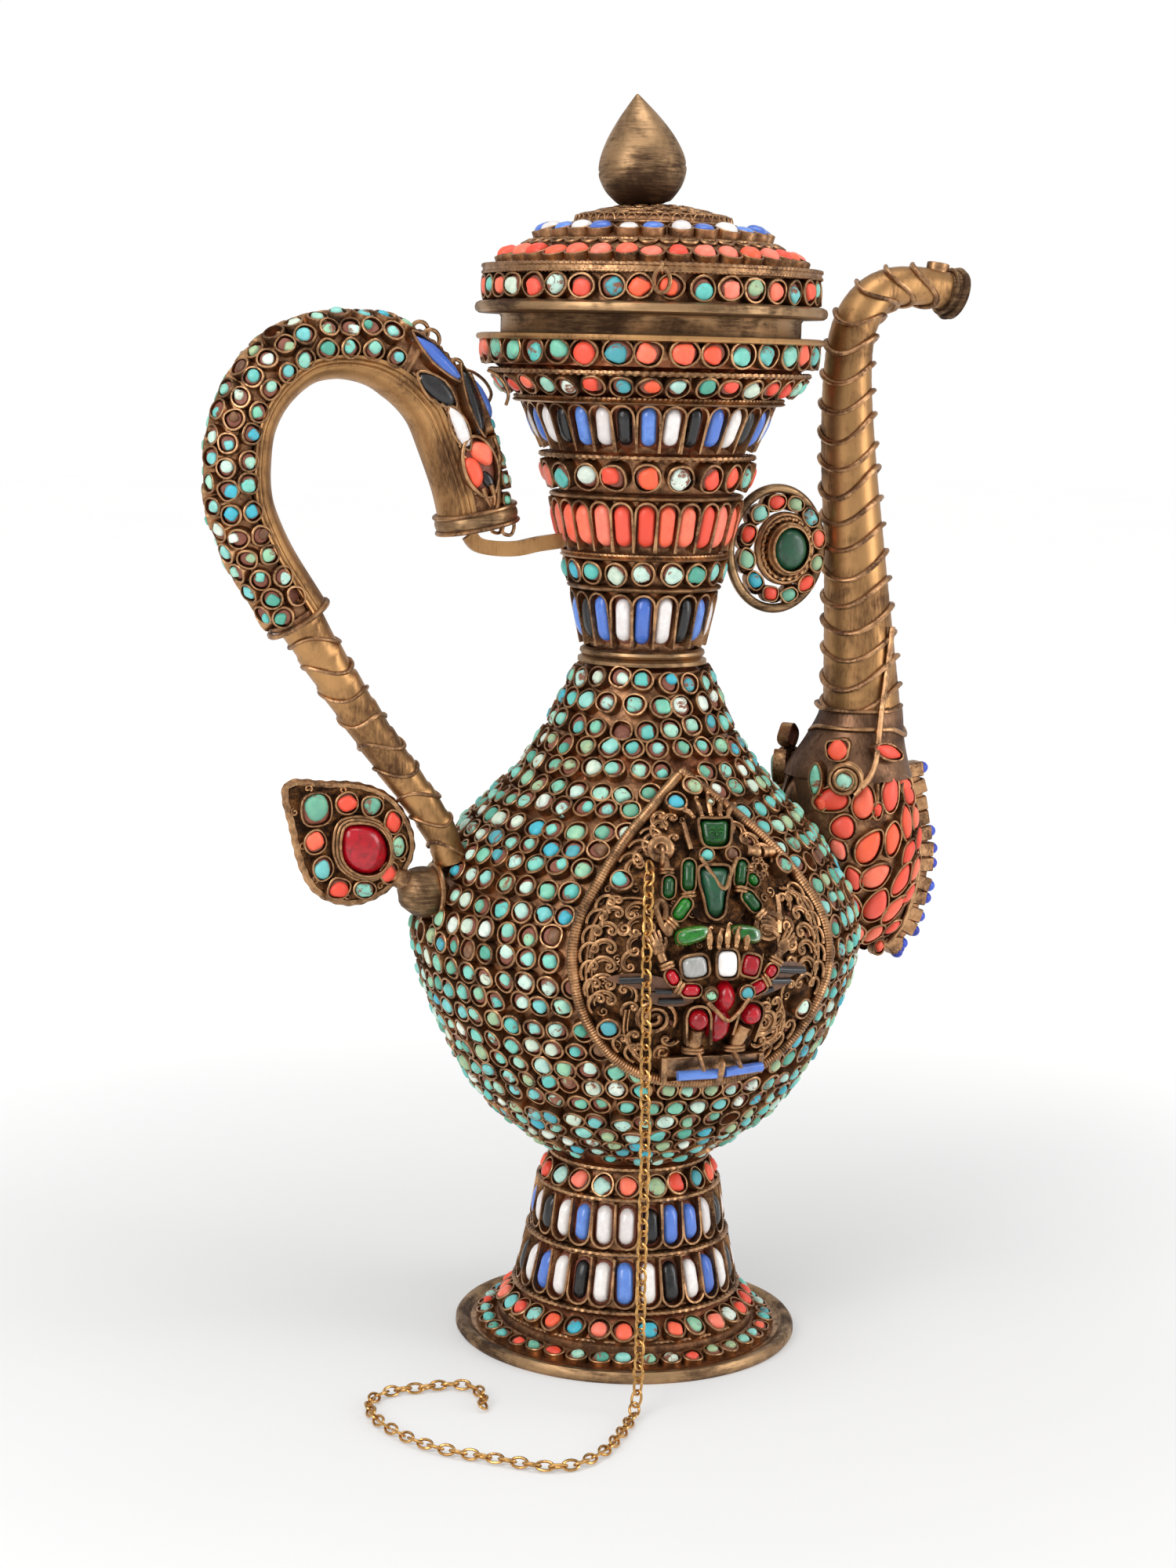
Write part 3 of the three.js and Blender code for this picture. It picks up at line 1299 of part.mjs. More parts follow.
// Medallion
function medallionPoint(scale, share, lift) {
  const [across, up] = share;
  const bottom = bodyHeightAt(MEDALLION_BOTTOM_SHARE);
  const height = bottom + MEDALLION_HEIGHT * between(MEDALLION_MIDDLE_SHARE, up, scale);
  const radius = radiusOn(bodyOutline, height);
  const angle = MEDALLION_AZIMUTH_DEGREES * RADIANS + (MEDALLION_HALF_WIDTH * across * scale) / radius;
  const [below, above] = [-JACKET, JACKET].map((step) => radiusOn(bodyOutline, height + step));
  const [outward, upward] = unit(2 * JACKET, below - above, 1, 0);
  const reach = radius + lift * outward;
  return new THREE.Vector3(reach * Math.cos(angle), reach * Math.sin(angle), height + lift * upward);
}

function medallionOutlineShares() {
  const side = smooth(MEDALLION_SHARES, MEDALLION_STEPS);
  const mirrored = side.slice(1, -1).reverse().map(([across, up]) => [-across, up]);
  return [...side, ...mirrored];
}

function medallionPlate() {
  const outline = medallionOutlineShares();
  const loopAt = (scale, lift) => outline.map((share) => medallionPoint(scale, share, lift).toArray());
  const back = MEDALLION_SCALE_SHARES.map((scale) => loopAt(scale, MEDALLION_STAND));
  const front = MEDALLION_SCALE_SHARES.map((scale) => loopAt(scale, MEDALLION_STAND + MEDALLION_PLATE));
  const { points, faces, numbered } = stitch([...front, ...back.reverse()], false);
  const last = numbered.length - 1;
  [[numbered[0], MEDALLION_STAND + MEDALLION_PLATE, true], [numbered[last], MEDALLION_STAND, false]]
    .forEach(([ring, lift, isFront]) => {
      const middle = points.push(medallionPoint(0, [0, 0], lift).toArray()) - 1;
      ring.forEach((corner, k) => {
        const next = ring[(k + 1) % ring.length];
        faces.push(...(isFront ? [middle, next, corner] : [middle, corner, next]));
      });
    });
  return meshFrom(points, faces);
}

function medallionFrame() {
  const lift = MEDALLION_STAND + MEDALLION_PLATE + MEDALLION_WIRE / 2 + SEAT_GAP;
  const line = medallionOutlineShares().map((share) => medallionPoint(1, share, lift));
  const facings = line.map(({ x, y }) => new THREE.Vector3(x, y, 0).normalize());
  return closedWire(line, facings, MEDALLION_WIRE / 2, 6);
}

// A figure of rounded parts, each as a box that it fills, with its back to +Y
function figureParts(parts, height) {
  return parts.map(({ at, half }) => {
    const part = new THREE.SphereGeometry(1, 6, 4).rotateX(Math.PI / 2);
    part.scale(FIGURE_WIDTH * half[0], FIGURE_DEPTH * half[1], height * half[2]);
    return part.translate(FIGURE_WIDTH * at[0], -FIGURE_DEPTH * at[1], height * at[2]);
  });
}

// Stands a figure on the medallion's ground, leaning as the vessel's side leans behind it
function stood(parts, foot, height) {
  const levels = [foot, foot + height / 2, foot + height];
  const [low, middle, high] = levels.map((level) => radiusOn(bodyOutline, level));
  const bulge = middle - (low + high) / 2;
  const lean = Math.atan2(low - high, height);
  const stand = low + bulge + MEDALLION_STAND + MEDALLION_PLATE;
  const figure = joined(parts).rotateX(-lean).translate(FIGURE_OFFSET, -stand, foot);
  figure.rotateZ((MEDALLION_AZIMUTH_DEGREES + 90) * RADIANS);
  const ground = offset(bodyOutline, -MEDALLION_STAND - MEDALLION_PLATE - 2 * SEAT_GAP);
  return cut(figure, revolve([[0, BODY_BOTTOM], ...ground, [0, BODY_TOP]], 2 * RING_STEPS));
}

function lowerFoot() {
  return bodyHeightAt(MEDALLION_BOTTOM_SHARE) + PLINTH_HEIGHT;
}

function lowerFigure() {
  const depth = FIGURE_DEPTH + FIGURE_SINK;
  const plinth = new THREE.BoxGeometry(PLINTH_WIDTH, depth, PLINTH_HEIGHT);
  plinth.translate(0, FIGURE_SINK - depth / 2, -PLINTH_HEIGHT / 2 + FIGURE_PARTING);
  const parts = figureParts(LOWER_FIGURE_PARTS_SHARES, LOWER_FIGURE_HEIGHT);
  return stood([plinth, ...parts], lowerFoot(), LOWER_FIGURE_HEIGHT);
}

// The upper figure, with the eye at the end of its raised hand that the chain hangs from
function upperFigure() {
  const [across, deep, up] = HOOK_PLACE_SHARES;
  const eye = new THREE.TorusGeometry(HOOK_RADIUS, HOOK_WIRE / 2, 5, 8).rotateX(Math.PI / 2);
  eye.translate(FIGURE_WIDTH * across, -FIGURE_DEPTH * deep, UPPER_FIGURE_HEIGHT * up);
  const foot = lowerFoot() + LOWER_FIGURE_HEIGHT + FIGURE_PARTING;
  const parts = figureParts(UPPER_FIGURE_PARTS_SHARES, UPPER_FIGURE_HEIGHT);
  return stood([...parts, eye], foot, UPPER_FIGURE_HEIGHT * UPRIGHT_SHARE);
}

// Chain
function chain() {
  const route = new THREE.CatmullRomCurve3(CHAIN_ROUTE.map((point) => new THREE.Vector3(...point)));
  const corners = Array.from({ length: CHAIN_SIDES }, (_, k) => {
    const [x, y] = polar(CHAIN_DIAMETER / 2, k / CHAIN_SIDES, 0);
    return new THREE.Vector2(x, y);
  });
  return new THREE.ExtrudeGeometry(new THREE.Shape(corners), { steps: CHAIN_STEPS, extrudePath: route });
}

// The named mesh of a piece
function piece(name, finish, geometry) {
  const material = new THREE.MeshStandardMaterial(FINISHES[finish]);
  const mesh = new THREE.Mesh(clean(geometry), material);
  mesh.name = name;
  return mesh;
}

function footPieces() {
  const hem = { radius: HEM_RADIUS, height: HEM_HEIGHT };
  const ledges = footLedges();
  const rows = FOOT_ROWS.map(({ name, count, kind }, k) => (
    piece(name, kind === 'rod' ? 'enamel' : 'coral', stoneRow(ledges[k + 1], ledges[k], count, kind))
  ));
  const rings = ledges.map((level, k) => (
    piece(`foot_ledge_${ledges.length - k}`, 'brass', ledge(level, footWall()))
  ));
  return [
    piece('foot_plate', 'brass', footPlate()),
    piece('foot_cone', 'copper', footCone()),
    piece('foot_hem_beads', 'turquoise', hemBeads()),
    piece('foot_row_round_hem', 'coral', stoneRow(hem, ledges[3], FOOT_HEM_COUNT, 'stud')),
    ...rows,
    ...rings,
  ];
}

function neckPieces() {
  const ledges = neckLedges();
  const starts = [neckStart(), ...ledges];
  const rows = NECK_ROWS.map(({ name, count, kind }, k) => (
    piece(name, kind === 'rod' ? 'enamel' : 'coral', stoneRow(starts[k], ledges[k], count, kind))
  ));
  return [
    piece('neck_collar', 'brass', neckCollar()),
    piece('neck_shell', 'copper', neckShell()),
    piece('mouth_row_round', 'coral', mouthRow()),
    piece('mouth_flange', 'brass', mouthFlange()),
    ...rows,
    ...ledges.map((level, k) => piece(`neck_ledge_${k + 1}`, 'brass', ledge(level, neckWall()))),
  ];
}

function lidPieces() {
  const loop = piece('lid_loop', 'brass', lidLoop());
  const { radius, height } = lidWireLevel();
  const swing = new THREE.Group();
  swing.rotation.z = LOOP_AZIMUTH_DEGREES * RADIANS;
  loop.position.set(radius + STAPLE_REACH * LOOP_SEAT_SHARE, 0, height);
  swing.add(loop);
  return [
    piece('lid_flange', 'brass', lidFlange()),
    piece('lid_dome', 'copper', lidDome()),
    piece('lid_row_drum', 'coral', lidDrumRow()),
    piece('lid_wire_and_staple', 'brass', lidWire()),
    piece('lid_row_coral', 'coral', domeRow(CORAL_SPAN_SHARES, LID_CORAL_DEPTH, LID_CORAL_COUNT)),
    piece('lid_row_glass', 'enamel', domeRow(GLASS_SPAN_SHARES, LID_GLASS_DEPTH, LID_GLASS_COUNT)),
    piece('lid_scroll_cap', 'brass', lidCap()),
    piece('finial', 'brass', finial()),
    swing,
  ];
}

function handlePieces() {
  return [
    piece('handle_grip', 'brass', handleGrip()),
    piece('handle_sleeve', 'brass', handleSleeve()),
    piece('crook_casing', 'brass', crookCasing()),
    piece('crook_turquoise', 'turquoise', crookCover(bowStations(), CROOK_STONES)),
    piece('dragon_head', 'enamel', crookCover(headStations(), HEAD_SHELL)),
    piece('handle_bracket', 'brass', handleBracket()),
    piece('leaf_setting', 'brass', wiredPlate(leafOutline(1), LEAF_WIRE / 2, LEAF_PLATE)),
    piece('leaf_stone', 'red', leafStone()),
  ];
}

function spoutPieces() {
  return [
    piece('spout_tube', 'brass', spoutTube()),
    piece('spout_funnel', 'brass', spoutFunnel()),
    piece('spout_bulb', 'coral', spoutBulb()),
    piece('spout_crest', 'lapis', spoutCrest()),
    piece('spout_scroll_front', 'brass', spoutScroll(-1)),
    piece('spout_scroll_back', 'brass', spoutScroll(1)),
    piece('rosette', 'coral', rosette()),
    piece('rosette_stone', 'green', rosetteStone()),
  ];
}

function medallionPieces() {
  return [
    piece('medallion_ground', 'brass', medallionPlate()),
    piece('medallion_frame', 'brass', medallionFrame()),
    piece('figure_lower_and_plinth', 'red', lowerFigure()),
    piece('figure_upper', 'green', upperFigure()),
  ];
}

const ewer = new THREE.Group();
ewer.add(
  piece('vessel_lower', 'copper', vesselLower()),
  piece('vessel_upper', 'copper', vesselUpper()),
  piece('vessel_turquoise', 'turquoise', turquoiseJacket()),
  ...footPieces(),
  ...neckPieces(),
  ...lidPieces(),
  ...handlePieces(),
  ...spoutPieces(),
  ...medallionPieces(),
  piece('chain', 'chain', chain()),
);

export default ewer;
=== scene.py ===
# The looks of a stone-covered copper ewer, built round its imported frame.
# Shapes and tables are in millimetres, in the frame's own axes, unless a comment says metres, and
# a finished piece is scaled to metres. A small part is made facing its own Z, with Y up.
import math
import random

import bpy
import numpy as np
from mathutils import Matrix, Vector


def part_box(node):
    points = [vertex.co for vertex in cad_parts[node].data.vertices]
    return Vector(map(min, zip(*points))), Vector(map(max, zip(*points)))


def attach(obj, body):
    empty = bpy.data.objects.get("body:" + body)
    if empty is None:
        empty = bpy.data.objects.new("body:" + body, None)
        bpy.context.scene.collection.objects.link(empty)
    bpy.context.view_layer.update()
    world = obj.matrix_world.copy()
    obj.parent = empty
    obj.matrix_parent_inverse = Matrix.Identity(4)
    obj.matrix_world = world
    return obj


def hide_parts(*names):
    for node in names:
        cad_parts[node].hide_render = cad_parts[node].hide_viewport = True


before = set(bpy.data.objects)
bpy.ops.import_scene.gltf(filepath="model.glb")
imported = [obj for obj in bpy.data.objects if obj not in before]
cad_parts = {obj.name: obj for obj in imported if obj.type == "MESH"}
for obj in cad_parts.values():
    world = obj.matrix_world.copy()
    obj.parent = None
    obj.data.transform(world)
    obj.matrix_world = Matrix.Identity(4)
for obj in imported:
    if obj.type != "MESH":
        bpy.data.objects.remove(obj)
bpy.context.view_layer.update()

MM = 0.001
TURN = 2 * math.pi
SHARP_ANGLE = math.radians(38)

# The camera, fitted to the photograph: its place and tilt, and its focal length in pixels of a
# picture that is PICTURE_LONG_SIDE high
VIEW_AZIMUTH = math.radians(24)
CAMERA_BACK = 1.00039
CAMERA_RIGHT = -0.01846
CAMERA_HEIGHT = 0.35784
CAMERA_PITCH = math.radians(8.6768)
CAMERA_ROLL = math.radians(1.3721)
FOCAL_PIXELS = 3536.6
PICTURE_LONG_SIDE = 2000
SENSOR = 36.0
# The azimuth in degrees where each row of stones starts, on the side that the camera sees
FACING_CAMERA = -115.0


def make_camera():
    """The camera where the photograph was taken from."""
    right = Vector((math.cos(VIEW_AZIMUTH), -math.sin(VIEW_AZIMUTH), 0))
    level = Vector((math.sin(VIEW_AZIMUTH), math.cos(VIEW_AZIMUTH), 0))
    height = Vector((0, 0, 1))
    forward = level * math.cos(CAMERA_PITCH) - height * math.sin(CAMERA_PITCH)
    above = level * math.sin(CAMERA_PITCH) + height * math.cos(CAMERA_PITCH)
    rolled_right = right * math.cos(CAMERA_ROLL) + above * math.sin(CAMERA_ROLL)
    rolled_up = above * math.cos(CAMERA_ROLL) - right * math.sin(CAMERA_ROLL)
    data = bpy.data.cameras.new("camera")
    data.sensor_width = SENSOR
    data.lens = FOCAL_PIXELS / PICTURE_LONG_SIDE * SENSOR
    data.clip_start = 0.01
    camera = bpy.data.objects.new("camera", data)
    turned = Matrix((rolled_right, rolled_up, -forward)).transposed().to_4x4()
    place = right * CAMERA_RIGHT - level * CAMERA_BACK + height * CAMERA_HEIGHT
    camera.matrix_world = Matrix.Translation(place) @ turned
    bpy.context.scene.collection.objects.link(camera)
    bpy.context.scene.camera = camera


make_camera()


# Small vector helpers
def unit(vector):
    vector = np.asarray(vector, float)
    return vector / max(np.linalg.norm(vector), 1e-12)


def between(a, b, share):
    return a + (b - a) * share


def around(radius, degrees, z):
    angle = math.radians(degrees)
    return np.array((radius * math.cos(angle), radius * math.sin(angle), z))


def basis(place, outward, up):
    """The frame of a small part: X to its right, Y up along the surface, Z outwards."""
    z = unit(outward)
    x = unit(np.cross(up, z))
    found = np.eye(4)
    found[:3, 0], found[:3, 1], found[:3, 2], found[:3, 3] = x, np.cross(z, x), z, place
    return found


def moved(at, x=0.0, y=0.0, z=0.0, turn=0.0, tilt=0.0, lean=0.0):
    """A frame shifted in its own axes, then turned about Z, tilted about X and leaned about Y."""
    step = Matrix.Translation((x, y, z)) @ Matrix.Rotation(turn, 4, "Z")
    step = step @ Matrix.Rotation(tilt, 4, "X") @ Matrix.Rotation(lean, 4, "Y")
    return at @ np.array(step)


def spline(points, steps, loop=False):
    """A smooth line through the points, in even steps of its length."""
    points = np.asarray(points, float)
    count = len(points)
    fine = []
    for k in range(count if loop else count - 1):
        places = [(k + i) % count if loop else min(max(k + i, 0), count - 1) for i in (-1, 0, 1, 2)]
        near = [points[i] for i in places]
        for t in np.arange(0, 1, 0.05):
            fine.append(0.5 * (2 * near[1] + (near[2] - near[0]) * t
                               + (2 * near[0] - 5 * near[1] + 4 * near[2] - near[3]) * t ** 2
                               + (3 * near[1] - near[0] - 3 * near[2] + near[3]) * t ** 3))
    fine.append(points[0] if loop else points[-1])
    return even(np.array(fine), steps, loop)


def reach_along(line):
    """How far along the line each of its points lies."""
    return np.concatenate([[0], np.cumsum(np.linalg.norm(np.diff(line, axis=0), axis=1))])


def even(line, steps, loop=False):
    """The line in even steps. A loop leaves out its last point, which is its first."""
    line = np.asarray(line, float)
    reach = reach_along(line)
    wanted = np.linspace(0, reach[-1], steps + 1)[:steps if loop else steps + 1]
    return np.stack([np.interp(wanted, reach, line[:, k]) for k in range(line.shape[1])], 1)


def length_of(line):
    return float(np.linalg.norm(np.diff(np.asarray(line, float), axis=0), axis=1).sum())


# Steps of a bar's round end and of an arch, and steps in each turn of a twisted wire
END_STEPS = 6
ARCH_STEPS = 8
TWIST_STEPS = 6


# Flat outlines, anticlockwise, as pairs of X and Y
def oval(half_width, half_height, count):
    return [(half_width * math.cos(TURN * k / count), half_height * math.sin(TURN * k / count))
            for k in range(count)]


def pebble(half_width, half_height, rng, count, rough=0.09):
    """An uneven round outline."""
    lobes = [(order, rng.uniform(-rough, rough), rng.uniform(0, TURN)) for order in (2, 3, 4)]
    outline = []
    for k in range(count):
        angle = TURN * k / count
        reach = 1 + sum(size * math.cos(order * angle + phase) for order, size, phase in lobes)
        outline.append((half_width * reach * math.cos(angle), half_height * reach * math.sin(angle)))
    return outline


def drop(half_width, half_height, point, count):
    """A drop with its point up."""
    outline = []
    for k in range(count):
        angle = TURN * k / count
        narrow = 1 - point * max(math.sin(angle), 0) ** 2
        outline.append((half_width * narrow * math.cos(angle), half_height * math.sin(angle)))
    return outline


def capsule(half_width, half_height):
    """A straight bar's outline with two round ends."""
    straight = half_height - half_width
    ends = []
    for side, start in ((1, 0), (-1, math.pi)):
        for k in range(END_STEPS + 1):
            angle = start + math.pi * k / END_STEPS
            ends.append((half_width * math.cos(angle), side * straight + half_width * math.sin(angle)))
    return ends


def grown(outline, distance):
    """A closed outline moved outwards by the distance."""
    line = np.asarray(outline, float)
    along = np.roll(line, -1, 0) - np.roll(line, 1, 0)
    along /= np.maximum(np.linalg.norm(along, axis=1), 1e-9)[:, None]
    return line + np.stack([along[:, 1], -along[:, 0]], 1) * distance


# Shapes, each as points and faces
def flat(outline, z):
    line = np.asarray(outline, float)
    return np.column_stack([line, np.full(len(line), z)])


def skin(rings, loop=False, start=False, end=False):
    """Faces over rings of equal counts, with its first or last ring closed where asked."""
    count = len(rings[0])
    faces = []
    for i in range(len(rings) if loop else len(rings) - 1):
        a, b = i * count, (i + 1) % len(rings) * count
        for j in range(count):
            k = (j + 1) % count
            faces.append((a + j, a + k, b + k, b + j))
    if start:
        faces.append(tuple(reversed(range(count))))
    if end:
        last = (len(rings) - 1) * count
        faces.append(tuple(range(last, last + count)))
    return np.concatenate(rings), faces


def collar(outline, bottom, top, wall):
    """The thin upright strip that holds a stone."""
    edge = wall * 0.3
    inner = grown(outline, -wall)
    return skin([flat(outline, bottom), flat(outline, top - edge), flat(grown(outline, -edge), top),
                 flat(inner, top), flat(inner, bottom)])


def strip(line, bottom, top, wall):
    """The same strip along an open line."""
    line = np.asarray(line, float)
    along = np.gradient(line, axis=0)
    along /= np.linalg.norm(along, axis=1)[:, None]
    side = np.stack([along[:, 1], -along[:, 0]], 1) * wall / 2
    rings = [np.array([(*(p + s), bottom), (*(p + s), top), (*(p - s), top), (*(p - s), bottom)])
             for p, s in zip(line, side)]
    return skin(rings, start=True, end=True)


def dome(outline, bottom, top, fullness, levels, ripple=0.0, rng=None):
    """A rounded stone over its outline. Fullness towards 1 makes it flatter on top."""
    line = np.asarray(outline, float)
    middle = line.mean(0)
    rings = []
    for k in range(levels):
        angle = math.pi / 2 * (k / levels) ** 0.8
        scale = math.cos(angle) ** (1 - fullness + 0.25)
        ring = flat(middle + (line - middle) * scale, between(bottom, top, math.sin(angle)))
        if ripple:
            ring[:, 2] += [rng.uniform(-ripple, ripple) for _ in line]
        rings.append(ring)
    points, faces = skin(rings)
    tip = len(points)
    last = (levels - 1) * len(line)
    faces += [(last + j, last + (j + 1) % len(line), tip) for j in range(len(line))]
    return np.vstack([points, [(*middle, top)]]), faces


def sections(line, loop=False, up=None):
    """Two directions across a line at each of its points, turning as little as they can."""
    line = np.asarray(line, float)
    if loop:
        along = np.roll(line, -1, 0) - np.roll(line, 1, 0)
    else:
        along = np.gradient(line, axis=0)
    along /= np.maximum(np.linalg.norm(along, axis=1), 1e-12)[:, None]
    if up is not None:
        across = np.cross(along, np.broadcast_to(up, along.shape))
        across /= np.maximum(np.linalg.norm(across, axis=1), 1e-12)[:, None]
        return across, np.cross(across, along)
    side = unit(np.cross(along[0], (0.31, 0.17, 0.93)))
    across = []
    for direction in along:
        side = unit(side - direction * (side @ direction))
        across.append(side)
    across = np.array(across)
    if loop:
        last = unit(across[-1] - along[0] * (across[-1] @ along[0]))
        rest = math.atan2(np.cross(last, across[0]) @ along[0], last @ across[0])
        turn = rest * np.arange(len(line)) / len(line)
        other = np.cross(along, across)
        across = across * np.cos(turn)[:, None] + other * np.sin(turn)[:, None]
    return across, np.cross(along, across)


def tube(line, radius, sides, loop=False, flatten=1.0):
    """A wire or bar along a line. The radius is one number or one for each point."""
    line = np.asarray(line, float)
    across, over = sections(line, loop)
    radii = np.broadcast_to(radius, (len(line),))
    angles = TURN * np.arange(sides) / sides
    rings = [p + r * (np.cos(angles)[:, None] * a + np.sin(angles)[:, None] * o * flatten)
             for p, r, a, o in zip(line, radii, across, over)]
    return skin(rings, loop, start=not loop, end=not loop)


def twisted(line, radius, pitch, loop=False, depth=0.22):
    """Two wires twisted into one, as a round section with two lobes that turns along the line."""
    closed = np.vstack([line, line[:1]]) if loop else np.asarray(line, float)
    turns = max(2, round(length_of(closed) / pitch))
    fine = even(closed, turns * TWIST_STEPS, loop)
    across, over = sections(fine, loop)
    angles = TURN * np.arange(TWIST_STEPS) / TWIST_STEPS
    rings = []
    for k, (p, a, o) in enumerate(zip(fine, across, over)):
        spin = math.pi * k / TWIST_STEPS
        reach = radius * (1 - depth + depth * np.cos(2 * (angles - spin)))
        rings.append(p + (reach * np.cos(angles))[:, None] * a + (reach * np.sin(angles))[:, None] * o)
    return skin(rings, loop, start=not loop, end=not loop)


def lathe(outline, steps, loop=False):
    """A turned shape from pairs of radius and height. A loop is a closed ring's section."""
    angles = TURN * np.arange(steps) / steps
    rings = [np.column_stack([max(r, 0.01) * np.cos(angles), max(r, 0.01) * np.sin(angles),
                              np.full(steps, z)])
             for r, z in outline]
    return skin(rings, loop=loop)


def oval_ring(half_width, half_height, count=28):
    return [(x, y, 0) for x, y in oval(half_width, half_height, count)]


def arch(half_width, half_height, z=0):
    """Half an oval, open towards -Y, or towards +Y where its height is negative."""
    angles = [math.pi * k / ARCH_STEPS for k in range(ARCH_STEPS + 1)]
    return [(half_width * math.cos(angle), half_height * math.sin(angle), z) for angle in angles]


def ball(middle, radii, levels, sides):
    rings = []
    for k in range(levels + 1):
        angle = math.pi * k / levels
        reach = max(math.sin(angle), 0.02)
        rings.append(np.array([(middle[0] + radii[0] * reach * math.cos(TURN * j / sides),
                                middle[1] + radii[1] * reach * math.sin(TURN * j / sides),
                                middle[2] - radii[2] * math.cos(angle)) for j in range(sides)]))
    return skin(rings, start=True, end=True)


class Piece:
    """One finished piece: shapes in millimetres with their materials, joined into one mesh.
    Pick is a number from 0 to 1 for each stone, by which its material chooses its colour."""

    def __init__(self, name):
        self.name = name
        self.points, self.faces, self.picks, self.slots, self.materials = [], [], [], [], []
        self.count = 0

    def add(self, shape, material, at=None, pick=0.5):
        points, faces = shape
        points = np.asarray(points, float)
        if at is not None:
            points = points @ at[:3, :3].T + at[:3, 3]
        if material not in self.materials:
            self.materials.append(material)
        self.points.append(points)
        self.faces += [tuple(i + self.count for i in face) for face in faces]
        self.slots += [self.materials.index(material)] * len(faces)
        self.picks.append(np.full(len(points), pick))
        self.count += len(points)

    def place(self, body, slot, *nodes):
        mesh = bpy.data.meshes.new(self.name)
        mesh.from_pydata((np.concatenate(self.points) * MM).tolist(), [], self.faces)
        for material in self.materials:
            mesh.materials.append(material)
        mesh.polygons.foreach_set("material_index", self.slots)
        mesh.attributes.new("pick", "FLOAT", "POINT").data.foreach_set("value", np.concatenate(self.picks))
        mesh.polygons.foreach_set("use_smooth", [True] * len(mesh.polygons))
        mesh.set_sharp_from_angle(angle=SHARP_ANGLE)
        mesh.update()
        made = bpy.data.objects.new(self.name, mesh)
        bpy.context.scene.collection.objects.link(made)
        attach(made, body)
        if nodes:
            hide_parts(*nodes)
        return made


def box_of(node):
    low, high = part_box(node)
    return np.array(low) / MM, np.array(high) / MM


def ring_of(node):
    """Radius and middle height of a ring of the frame."""
    low, high = box_of(node)
    return high[0], (low[2] + high[2]) / 2


# Materials
def linear(r, g, b):
    """A colour as it looks on screen, from 0 to 255, as the shader wants it."""
    return tuple((c / 255 / 12.92 if c <= 10 else ((c / 255 + 0.055) / 1.055) ** 2.4)
                 for c in (r, g, b)) + (1,)


class Look:
    """A material with its shader and short ways to add nodes."""

    def __init__(self, name, **values):
        self.made = bpy.data.materials.new(name)
        self.made.use_nodes = True
        self.tree = self.made.node_tree
        self.shader = self.tree.nodes["Principled BSDF"]
        for key, value in values.items():
            self.shader.inputs[key.replace("_", " ")].default_value = value
        self.place = self.node("ShaderNodeTexCoord").outputs["Object"]

    def node(self, kind, **settings):
        made = self.tree.nodes.new(kind)
        for key, value in settings.items():
            setattr(made, key, value)
        return made

    def feed(self, socket, value):
        if isinstance(value, bpy.types.NodeSocket):
            self.tree.links.new(value, socket)
        else:
            socket.default_value = value

    def noise(self, scale, detail=4.0, roughness=0.6, distortion=0.0, place=None):
        made = self.node("ShaderNodeTexNoise")
        self.feed(made.inputs["Vector"], place or self.place)
        self.feed(made.inputs["Scale"], scale)
        self.feed(made.inputs["Detail"], detail)
        self.feed(made.inputs["Roughness"], roughness)
        self.feed(made.inputs["Distortion"], distortion)
        return made.outputs["Fac"]

    def stretched(self, x, y, z):
        made = self.node("ShaderNodeMapping")
        self.feed(made.inputs["Vector"], self.place)
        made.inputs["Scale"].default_value = (x, y, z)
        return made.outputs["Vector"]

    def ranged(self, value, low, high, to_low=0.0, to_high=1.0):
        made = self.node("ShaderNodeMapRange", interpolation_type="SMOOTHSTEP")
        given = {"Value": value, "From Min": low, "From Max": high, "To Min": to_low, "To Max": to_high}
        for key, one in given.items():
            self.feed(made.inputs[key], one)
        return made.outputs["Result"]

    def sums(self, kind, a, b):
        made = self.node("ShaderNodeMath", operation=kind)
        self.feed(made.inputs[0], a)
        self.feed(made.inputs[1], b)
        return made.outputs["Value"]

    def blend(self, factor, a, b):
        made = self.node("ShaderNodeMix", data_type="RGBA")
        for socket, value in ((made.inputs[0], factor), (made.inputs[6], a), (made.inputs[7], b)):
            self.feed(socket, value)
        return made.outputs[2]

    def one_of(self, factor, colours):
        """One of the colours, each for an equal share of the factor."""
        made = self.node("ShaderNodeValToRGB")
        self.feed(made.inputs["Fac"], factor)
        made.color_ramp.interpolation = "CONSTANT"
        stops = made.color_ramp.elements
        while len(stops) < len(colours):
            stops.new(0.5)
        for k, colour in enumerate(colours):
            stops[k].position = k / len(colours)
            stops[k].color = linear(*colour)
        return made.outputs["Color"]

    def pick(self):
        return self.node("ShaderNodeAttribute", attribute_name="pick").outputs["Fac"]

    def finish(self, colour=None, roughness=None, height=None, distance=0.0002, strength=0.5):
        if colour is not None:
            self.feed(self.shader.inputs["Base Color"], colour)
        if roughness is not None:
            self.feed(self.shader.inputs["Roughness"], roughness)
        if height is not None:
            made = self.node("ShaderNodeBump")
            made.inputs["Strength"].default_value = strength
            made.inputs["Distance"].default_value = distance
            self.feed(made.inputs["Height"], height)
            self.feed(self.shader.inputs["Normal"], made.outputs["Normal"])
        return self.made


PIT_SCALE = 1800
PIT_DEPTH = 0.00006
SHEET_LINE_DEPTH = 0.00008


